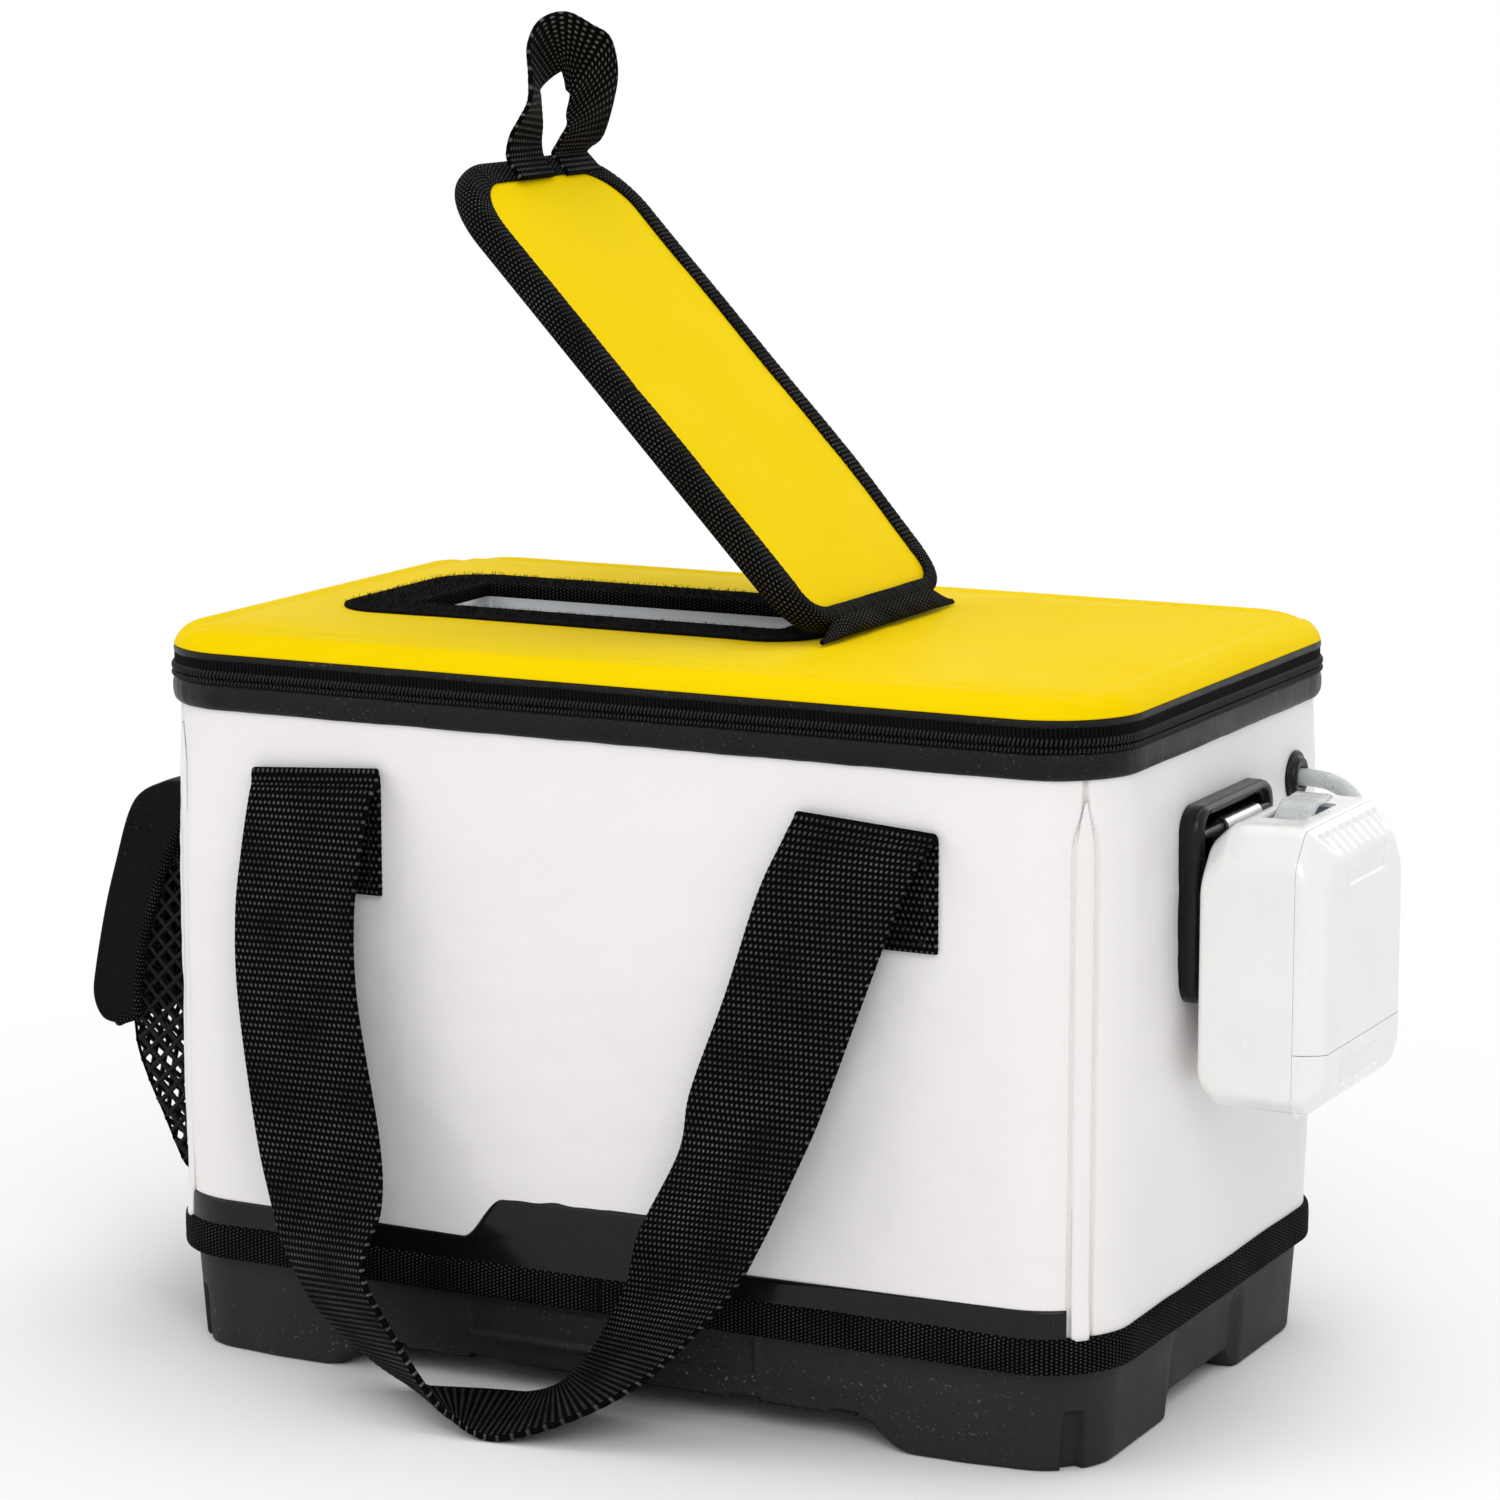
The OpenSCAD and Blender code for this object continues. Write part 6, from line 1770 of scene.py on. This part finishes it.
    def seam_tape(self) -> bpy.types.Object:
        """Tape that holds the cover's seam to the wall."""
        y = np.linspace(-self.cover_half, self.cover_half, 90)
        low = self.on_wall(np.full(90, 0.5), y, np.full(90, self.seam + 1.6))
        high = self.on_wall(np.full(90, 0.5), y, np.full(90, self.seam + 9.5))
        mesh = Ribbon(0.9, rib=1.6, relief=0.1, step=0.8).mesh(low, high)
        return mesh.build("pocket_seam_tape", self.finishes["binding_tape"], "cooler_body", Slot.TRIM)

    def build(self) -> list[bpy.types.Object]:
        """Makes every piece."""
        return [*self.nets(), *self.hems(), *self.cover(), self.seam_tape()]


# ---------------------------------------------------------------- bracket, air pump and air line


def turned(profile: Array, origin: tuple[float, float, float], axis: str, sides: int = 48) -> Array:
    """Rings of a turned part: each profile pair is a place along the axis and a radius.

    Args:
        profile: Pairs (n, 2), in order along the axis for an outside.
        origin: Point of the axis at place 0.
        axis: x, y or z.
        sides: Points in a ring.

    Returns:
        Points (n, sides, 3).
    """
    turn = 2 * math.pi * np.arange(sides) / sides
    along, radius = profile[:, 0][:, None] + 0 * turn, profile[:, 1][:, None]
    one, two = radius * np.cos(turn), radius * np.sin(turn)
    order = {"x": (along, one, two), "y": (two, along, one), "z": (one, two, along)}[axis]
    return np.stack(order, -1) + np.array(origin)


@dataclass
class Bracket:
    """Moulded frame on the right wall: bevelled face, inner step, back plate and the bar that the clip hooks on."""

    finishes: Finishes
    wall: float = 177
    outer: Outline = Outline(70, 66, 9, centre=(-8.0, 177.0))
    window: Outline = Outline(54.5, 53.5, 4, centre=(-8.0, 178.75))
    depth: float = 7.5
    bar_at: tuple[float, float] = (182.9, 200.5)

    def build(self) -> list[bpy.types.Object]:
        """The frame: rings over Y and Z, from the back's middle out, up the side, over the face and into the window."""
        leg, share = self.outer.place(self.outer.samples(1.0))
        face = self.depth
        steps = [(self.outer.inset(32.9), 0.1), (self.outer.inset(10), 0.1), (self.outer.inset(0.4), 0.1), (self.outer, 0.5)]
        steps += [(self.outer, face - 2.6), (self.outer.inset(0.25), face - 1.3), (self.outer.inset(1.0), face - 0.4), (self.outer.inset(2.1), face)]
        steps += [(self.window.inset(-2.9), face), (self.window.inset(-2.3), face - 0.25), (self.window.inset(-2.1), face - 1.5)]
        steps += [(self.window.inset(-1.2), face - 1.8), (self.window.inset(-0.3), face - 2.1), (self.window, face - 2.8)]
        steps += [(self.window, 1.9), (self.window.inset(0.5), 1.5), (self.window.inset(12), 1.5), (self.window.inset(26.7), 1.5)]
        rows = rings(steps, leg, share)
        points = np.stack([self.wall + rows[..., 2], rows[..., 0], rows[..., 1]], -1)
        mesh = Mesh().loft(points)
        y = np.linspace(-38, 22, 40)
        x, z = self.bar_at
        mesh.loft(tube_rows(np.stack([np.full(40, x), y, np.full(40, z)], -1), 1.8, 20))
        piece = mesh.build("bracket_moulding", self.finishes["bracket_moulding"], "cooler_body", Slot.BRACKET)
        return [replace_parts(piece, "bracket_frame")]


@dataclass
class AirPump:
    """Pump case in three mouldings, its grips, switch lever and outlet."""

    finishes: Finishes
    low: tuple[float, float, float] = (186.0, -47.0, 112.0)
    high: tuple[float, float, float] = (229.0, 35.0, 206.0)
    part_x: float = 219.0
    seam_z: float = 133.0
    wall: float = 1.4
    round_edge: float = 2.0
    lever_at: tuple[float, float, float] = (206.0, -8.5, 204.2)

    @staticmethod
    def ramp(t: Array) -> Array:
        """0 below 0 and t above it, rounded where the two meet."""
        return (t + np.sqrt(t * t + 2.2)) / 2

    def outlines(self, x: Array) -> Array:
        """Eight corners of the case across each X, as rows of Y and Z.

        The top falls at 45 degrees to the wall side and to the outside, the foot rises there less, the two
        sides draw in over the last 7 mm, and a quarter circle rounds both end faces.
        """
        (x0, y0, z0), (x1, y1, z1) = self.low, self.high
        r = self.round_edge
        near = np.clip(np.maximum(x0 + r - x, x - x1 + r) / r, 0, 1)
        edge = r * (1 - np.sqrt(1 - near * near))
        top = z1 - self.ramp(x0 + 8 - x) - self.ramp(x - x1 + 10.5) - edge
        foot = z0 + self.ramp(x0 + 5 - x) + self.ramp(x - x1 + 6) + edge
        side = 5 / 7 * self.ramp(x - x1 + 7) + edge
        ya, yb = y0 + side, y1 - side
        y = np.stack([ya + 5, yb - 5, yb, yb, yb - 9, ya + 9, ya, ya], -1)
        z = np.stack([foot, foot, foot + 5, top - 11, top, top, top - 11, foot + 5], -1)
        return np.stack([y, z], -1)

    def around(self, x: Array) -> Array:
        """Soft-cornered outlines of the case at each X, as rows of points."""
        corners = self.outlines(x)
        legs = np.roll(corners, -1, axis=1) - corners
        way = legs / np.linalg.norm(legs, axis=-1, keepdims=True)
        soft = np.array([2.0, 2.0, 2.4, 4.0, 4.0, 4.0, 4.0, 2.4])
        start = corners + way * soft[:, None]
        end = np.roll(corners, -1, axis=1) - way * np.roll(soft, -1)[:, None]
        parts = []
        for i, count in enumerate((76, 3, 50, 6, 96, 6, 50, 3)):
            t = np.linspace(0, 1, count)[None, :, None]
            parts.append(start[:, i, None] * (1 - t) + end[:, i, None] * t)
            t = np.linspace(0, 1, 7)[None, 1:-1, None]
            turned_at, on = np.roll(corners, -1, axis=1)[:, i, None], np.roll(start, -1, axis=1)[:, i, None]
            parts.append(end[:, i, None] * (1 - t) ** 2 + 2 * turned_at * t * (1 - t) + on * t * t)
        flat = np.concatenate(parts, 1)
        return np.concatenate([np.broadcast_to(x[:, None, None], (*flat.shape[:2], 1)), flat], -1)

    def gasket(self) -> bpy.types.Object:
        """Seal in the back case's edge: a band between two outlines drawn in a little."""
        middle = np.array([0.0, -6.0, (self.low[2] + self.high[2]) / 2])
        x = np.array([self.part_x - 1.6, self.part_x - 0.2, self.part_x - 0.2, self.part_x - 1.6])
        centre = middle + np.stack([x, 0 * x, 0 * x], -1)[:, None]
        rows = centre + (self.around(x) - centre) * np.array([0.985, 0.985, 0.955, 0.955])[:, None, None]
        piece = Mesh().loft(rows, tall=True).build("pump_case_seal", self.finishes["soft_rubber"], "air_pump", Slot.RUBBER)
        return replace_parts(piece, "case_gasket")

    def body(self) -> Mesh:
        """Closed case: soft-cornered outlines carried along X, shut by outlines drawn in to the middle."""
        (x0, _, z0), (x1, _, z1) = self.low, self.high
        turn = np.linspace(0, math.pi / 2, 7)[:-1]
        inner = np.linspace(x0 + self.round_edge, x1 - self.round_edge, 64)
        x = np.concatenate([x0 + self.round_edge * (1 - np.cos(turn[::-1]))[::-1], inner, x1 - self.round_edge * (1 - np.sin(turn + math.pi / 12))])
        x = np.unique(np.round(np.concatenate([x, [self.part_x, x0 + 0.001, x1 - 0.001]]), 4))
        rows = self.around(x)
        middle = np.array([0.0, -6.0, (z0 + z1) / 2])
        steps = np.concatenate([np.linspace(0.985, 0.55, 44), np.linspace(0.5, 0.02, 9)])[:, None, None]
        shut = []
        for face in (rows[-1], rows[0]):
            centre = middle + np.array([face[0, 0], 0, 0])
            shut.append(centre + (face[None] - centre) * steps)
        rows = np.concatenate([shut[1][::-1], rows, shut[0]])
        mesh = Mesh()
        capped(mesh, self.gripped(rows))
        return mesh

    def gripped(self, rows: Array) -> Array:
        """Presses the two finger grips into the outside: shallow fields with upright ribs in them.

        The way down from the top's edge is root two times the drop on the slope, then the plain drop.
        """
        x1, z1 = self.high[0], self.high[2]
        x, y, z = rows[..., 0], rows[..., 1], rows[..., 2]
        drop = z1 - z
        down = np.where(drop < 10.5, drop * math.sqrt(2), 14.85 + drop - 10.5)
        outside = smoothstep(x, x1 - 10.6, x1 - 9.4)
        half = 29 - 0.5 * (down - 4)
        upper = outside * smoothstep(down, 4, 5.4) * (1 - smoothstep(down, 24, 25.6)) * (1 - smoothstep(np.abs(y + 5), half - 1.4, half))
        rib = 0.5 - 0.5 * np.cos(2 * math.pi * (y + 5) / 6.6)
        dip = upper * (1.0 - 0.75 * rib ** 2 * (1 - smoothstep(down, 20, 24)))
        slope = 1 - smoothstep(down, 11, 18)
        foot = (
            (x > x1 - 0.4)
            * smoothstep(z, 119.4, 120.2)
            * (1 - smoothstep(z, 127.6, 128.6))
            * smoothstep(y, -29, -28)
            * (1 - smoothstep(y, 8 + 0.4 * (128 - z), 9 + 0.4 * (128 - z)))
        )
        low = 0.7 * foot * (1 - 0.7 * (0.5 - 0.5 * np.cos(2 * math.pi * y / 6.2)) ** 2)
        out = np.stack([-dip * np.sqrt(1 - slope / 2) - low, 0 * dip, -dip * np.sqrt(slope / 2)], -1)
        return rows + out

    def shell(self, name: str, body: str, node: str, cuts: list[tuple[tuple[float, ...], tuple[float, ...]]]) -> bpy.types.Object:
        """One moulding: the case cut open by planes, then given its wall inwards.

        Args:
            name: Name of the piece.
            body: Body that it rides on.
            node: Node that it stands for.
            cuts: For each plane a point and the direction of the side that goes.

        Returns:
            The moulding.
        """
        piece = self.body().build(name, self.finishes["case_moulding"], body, Slot.CASE)
        shape = bmesh.new()
        shape.from_mesh(piece.data)
        bmesh.ops.remove_doubles(shape, verts=shape.verts, dist=0.02 * MM)
        for point, way in cuts:
            bmesh.ops.bisect_plane(
                shape, geom=[*shape.verts, *shape.edges, *shape.faces], plane_co=[v * MM for v in point], plane_no=way, clear_outer=True
            )
        shape.to_mesh(piece.data)
        shape.free()
        modified(piece, "SOLIDIFY", thickness=self.wall * MM, offset=-1)
        applied(piece)
        log.info("%s: %d faces", name, len(piece.data.polygons))
        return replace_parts(piece, node)

    @staticmethod
    def cutter(points: Array) -> bpy.types.Object:
        """Closed shape for a Boolean, from rings; it is deleted once it has cut."""
        data_mesh = Mesh()
        capped(data_mesh, points)
        data = bpy.data.meshes.new("cutter")
        data.from_pydata((np.concatenate(data_mesh.points) * MM).tolist(), [], [tuple(f) for g in data_mesh.faces for f in g.tolist()])
        data.validate()
        made = bpy.data.objects.new("cutter", data)
        bpy.context.scene.collection.objects.link(made)
        return made

    def carve(self, piece: bpy.types.Object, cutters: list[Array]) -> bpy.types.Object:
        """Takes each closed ring shape out of a moulding."""
        for rows in cutters:
            tool = self.cutter(rows)
            modified(piece, "BOOLEAN", object=tool, operation="DIFFERENCE", solver="EXACT")
            applied(piece)
            bpy.data.objects.remove(tool)
        return piece

    def lever(self) -> bpy.types.Object:
        """Switch lever: an S-curved ribbon of clear plastic on its pin."""
        line = smooth_curve(np.array([(-14, -1.2), (-9.5, -0.8), (-5.5, 0.2), (-2, 2.8), (1.5, 4.2), (7, 4.1), (13.5, 4.5)]), 8)
        x, y, z = self.lever_at
        left = np.column_stack([np.full(len(line), x - 6.6), y + line[:, 0], z + line[:, 1]])
        right = left + np.array([13.2, 0, 0])
        mesh = Ribbon(1.9, rib=60, relief=0.0, step=0.7).mesh(left, right)
        pin = np.stack([np.linspace(x - 7.2, x + 7.2, 8), np.full(8, y), np.full(8, z)], -1)
        capped(mesh, tube_rows(pin, 0.8, 14))
        piece = mesh.build("switch_lever_clear", self.finishes["clear_lever"], "switch", Slot.LEVER)
        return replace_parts(piece, "switch_lever")

    def build(self) -> list[bpy.types.Object]:
        """Makes the three mouldings and the lever."""
        x0, y0, z0 = self.low
        x1, y1, z1 = self.high
        back = self.shell("pump_case_back", "air_pump", "pump_back_case", [((self.part_x - 0.12, 0, 0), (1, 0, 0))])
        turn = 2 * math.pi * np.arange(24) / 24
        nipple = np.array([np.column_stack([207 + 3.1 * np.cos(turn), np.full(24, v), 190 + 3.1 * np.sin(turn)]) for v in (30, 40)])
        slot = Outline(14.6, 33, 1.2, centre=(206.0, -8.5))
        leg, share = slot.place(slot.samples(1.5))
        cuts = [rings([(slot, z1 - 5), (slot, z1 + 3)], leg, share), nipple]
        for z in (192.5, 183.5):
            ring = np.column_stack([np.cos(turn) * 1.5 - 4.5, np.sin(turn) * 1.5 + z])
            cuts.append(np.array([np.column_stack([np.full(24, v), ring]) for v in (x0 - 2, x0 + 4)]))
        self.carve(back, cuts)
        lower = self.shell(
            "pump_case_lower_front", "air_pump", "pump_lower_front",
            [((self.part_x, 0, 0), (-1, 0, 0)), ((0, 0, self.seam_z - 0.12), (0, 0, 1))],
        )
        door = self.shell(
            "pump_battery_door", "pump_door", "battery_door",
            [((self.part_x, 0, 0), (-1, 0, 0)), ((0, 0, self.seam_z + 0.12), (0, 0, -1))],
        )
        for piece in (back, lower, door):
            data = piece.data
            modified(piece, "BEVEL", width=0.25 * MM, segments=2, limit_method="ANGLE", angle_limit=math.radians(50), harden_normals=True)
            data.polygons.foreach_set("use_smooth", np.full(len(data.polygons), True))
            data.set_sharp_from_angle(angle=math.radians(40))
        return [back, lower, door, self.gasket(), self.lever()]


@dataclass
class AirLine:
    """Translucent tube from the pump's outlet through the wall's grommet to the air stone."""

    finishes: Finishes
    hole: tuple[float, float, float] = (177.0, 64.5, 203.0)
    diameter: float = 6.0
    route: tuple[tuple[float, float, float], ...] = (
        (30, -21.3, -13), (30, -18, -13), (29, -12.5, -11.3), (26, -7, -7.8), (21, -2.8, -3.6), (14, -0.6, -0.9), (7, 0, 0), (0, 0, 0),
        (-12, 0, 0), (-16, 0, -0.1), (-22.5, 0, -1.7), (-29.6, 0, -6.3), (-34.3, 0, -13.4), (-36, 0, -22), (-36, 0, -43), (-36, 0, -83),
        (-36, 0, -118), (-36, 0, -139), (-36, 0, -146.4),
    )

    def line(self) -> Array:
        """The route as a smooth line of points."""
        return smooth_curve(np.array(self.route), 10) + np.array(self.hole)

    def build(self) -> list[bpy.types.Object]:
        """The tube, as a mesh round its line, and the grommet."""
        line, run = respaced(self.line(), 1.0)
        outside = tube_rows(line, self.diameter / 2, 24)
        inside = tube_rows(line, self.diameter / 2 - 1.0, 24)[::-1]
        mesh = Mesh().loft(np.concatenate([outside, inside]), tall=True)
        piece = mesh.build("air_tube_clear", self.finishes["tube_silicone"], None, Slot.TUBE)
        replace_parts(piece, "air_tube")
        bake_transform(piece)
        log.info("air tube length %.1f mm", run[-1])
        return [piece, self.grommet()]

    def grommet(self) -> bpy.types.Object:
        """Rubber grommet: a turned profile with a rolled flange and a raised collar."""
        profile = np.array(
            [(-14.9, 3.6), (-14.9, 4.4), (-12.4, 7.7), (-11.9, 8.0), (-10.9, 8.0), (-10.75, 5.6), (0, 5.5),
             (0.1, 8.3), (0.3, 8.9), (0.9, 9.1), (1.5, 8.8),
             (1.75, 8.1), (1.8, 7.2), (2.6, 7.0), (3.2, 6.7), (3.4, 6.1), (3.3, 4.3), (2.8, 3.6), (1.0, 3.45), (-14.5, 3.45)]
        )
        mesh = Mesh().loft(turned(profile, self.hole, "x", 56), tall=True)
        piece = mesh.build("tube_grommet", self.finishes["soft_rubber"], "cooler_body", Slot.RUBBER)
        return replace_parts(piece, "grommet")


@dataclass
class KeptNodes:
    """CAD nodes whose shape is right: each gets its finish."""

    finishes: Finishes
    dress: dict[str, str] = field(
        default_factory=lambda: {
            "zip_slider": "dark_steel", "zip_pull": "dark_steel", "bracket_rivets": "brushed_steel", "belt_clip": "plated_spring",
            "clip_screws": "brushed_steel", "pump_divider": "grey_moulding", "battery_contacts": "contact_brass",
            "battery_left": "cell_jacket", "battery_right": "cell_jacket", "pump_motor": "brushed_steel", "motor_shaft": "brushed_steel",
            # The switch cup takes the painted shadow of the clear lever.
            "pump_head": "grey_moulding", "outlet_nipple": "grey_moulding", "switch_cup": "switch_well",
            "air_stone": "air_stone",
        }
    )

    def build(self, nodes: dict[str, bpy.types.Object]) -> None:
        """Puts the finishes on."""
        for name, finish in self.dress.items():
            data = nodes[name].data
            data.materials.clear()
            data.materials.append(self.finishes[finish])
            data.polygons.foreach_set("material_index", np.zeros(len(data.polygons), np.int32))
            log.info("%s: kept, in %s", name, finish)


@dataclass
class Studio:
    """Camera at the photograph's angle, pale floor and soft light."""

    camera_at: tuple[float, float, float] = (742.3, -1488.6, 503.5)
    pitch: float = 10.06
    yaw: float = 26.49
    focal: float = 4853.28
    frame: float = 1500

    def camera(self) -> None:
        """Places the camera and makes it the scene's own."""
        data = bpy.data.cameras.new("photo_camera")
        data.sensor_width = 36
        data.lens = self.focal / self.frame * 36
        data.clip_end = 100
        camera = bpy.data.objects.new("photo_camera", data)
        camera.location = [v * MM for v in self.camera_at]
        camera.rotation_euler = (math.radians(90 - self.pitch), 0, math.radians(self.yaw))
        bpy.context.scene.collection.objects.link(camera)
        bpy.context.scene.camera = camera

    def lamp(self, name: str, place: tuple[float, float, float], size: float, power: float) -> None:
        """Adds a square area lamp that faces the middle of the box."""
        data = bpy.data.lights.new(name, "AREA")
        data.size = size
        data.energy = power
        lamp = bpy.data.objects.new(name, data)
        lamp.location = place
        way = np.array([0, 0, 0.15]) - np.array(place)
        flat = math.hypot(way[0], way[1])
        lamp.rotation_euler = (math.atan2(flat, -way[2]), 0, math.atan2(way[1], way[0]) - math.pi / 2)
        bpy.context.scene.collection.objects.link(lamp)

    @staticmethod
    def seen(g: "Graph") -> bpy.types.NodeSocket:
        """1 where the camera, a gloss or a clear piece looks, else 0."""
        path = g.node("ShaderNodeLightPath")
        past = g.math("MAXIMUM", path.outputs["Is Glossy Ray"], path.outputs["Is Transmission Ray"])
        return g.math("MAXIMUM", path.outputs["Is Camera Ray"], past)

    def surround(self) -> None:
        """World and floor: white where the camera, a gloss or a clear piece looks, and plain pale light elsewhere."""
        world = bpy.data.worlds.new("pale_room")
        world.use_nodes = True
        bpy.context.scene.world = world
        g = Graph(world.node_tree)
        g.tree.nodes.clear()
        seen = self.seen(g)
        back = g.node("ShaderNodeBackground")
        g.put(back, "Color", (1, 1, 1, 1))
        g.put(back, "Strength", g.ramp(seen, 0, 1, 0.62, 1.0))
        out = g.node("ShaderNodeOutputWorld")
        g.put(out, 0, back.outputs[0])
        side = 6.0
        data = bpy.data.meshes.new("floor")
        data.from_pydata([(-side, -side, 0), (side, -side, 0), (side, side, 0), (-side, side, 0)], [], [(0, 1, 2, 3)])
        material = bpy.data.materials.new("pale_floor")
        material.use_nodes = True
        g = Graph(material.node_tree)
        shader = next(n for n in material.node_tree.nodes if n.type == "BSDF_PRINCIPLED")
        shader.inputs["Base Color"].default_value = (0.96, 0.96, 0.96, 1)
        shader.inputs["Roughness"].default_value = 0.8
        shader.inputs["Specular IOR Level"].default_value = 0.0
        seen = self.seen(g)
        split = g.node("ShaderNodeSeparateXYZ")
        g.put(split, 0, g.node("ShaderNodeTexCoord").outputs["Object"])
        away = g.math("SQRT", g.math("ADD", g.math("POWER", split.outputs[0], 2.0), g.math("POWER", split.outputs[1], 2.0)))
        white = g.node("ShaderNodeEmission")
        g.put(white, "Strength", 1.0)
        mix = g.node("ShaderNodeMixShader")
        g.put(mix, 0, g.math("MULTIPLY", seen, g.ramp(away, 0.22, 0.62)))
        g.put(mix, 1, shader.outputs[0])
        g.put(mix, 2, white.outputs[0])
        g.put(next(n for n in g.tree.nodes if n.type == "OUTPUT_MATERIAL"), "Surface", mix.outputs[0])
        data.materials.append(material)
        floor = bpy.data.objects.new("floor", data)
        bpy.context.scene.collection.objects.link(floor)

    def build(self) -> None:
        """Makes the camera, the lamps and the surround."""
        self.camera()
        self.surround()
        self.lamp("key", (1.6, -2.4, 2.2), 1.8, 34)
        self.lamp("fill", (-2.4, -1.8, 1.6), 2.0, 15)
        self.lamp("top", (0.0, 0.4, 2.8), 2.2, 18)
        self.lamp("back", (0.6, 2.6, 1.6), 1.6, 8)
        bpy.context.scene.view_settings.view_transform = "Standard"


def main() -> None:
    """Loads the frame and builds the box round it, from the camera and the tube to the last strap."""
    logging.basicConfig(level=logging.INFO, format="%(message)s")
    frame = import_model()
    Studio().build()
    finishes = Finishes()
    AirLine(finishes).build()
    MouldedBase(finishes["base_moulding"]).build()
    Walls(finishes).build()
    Tank(finishes).build()
    RimAndZip(finishes).build()
    LidTop(finishes).build()
    HatchFlap(finishes).build()
    Handle(finishes, Side.FRONT).build()
    Handle(finishes, Side.REAR).build()
    SidePocket(finishes).build()
    Bracket(finishes).build()
    AirPump(finishes).build()
    KeptNodes(finishes).build(frame["nodes"])


if __name__ == "__main__":
    main()
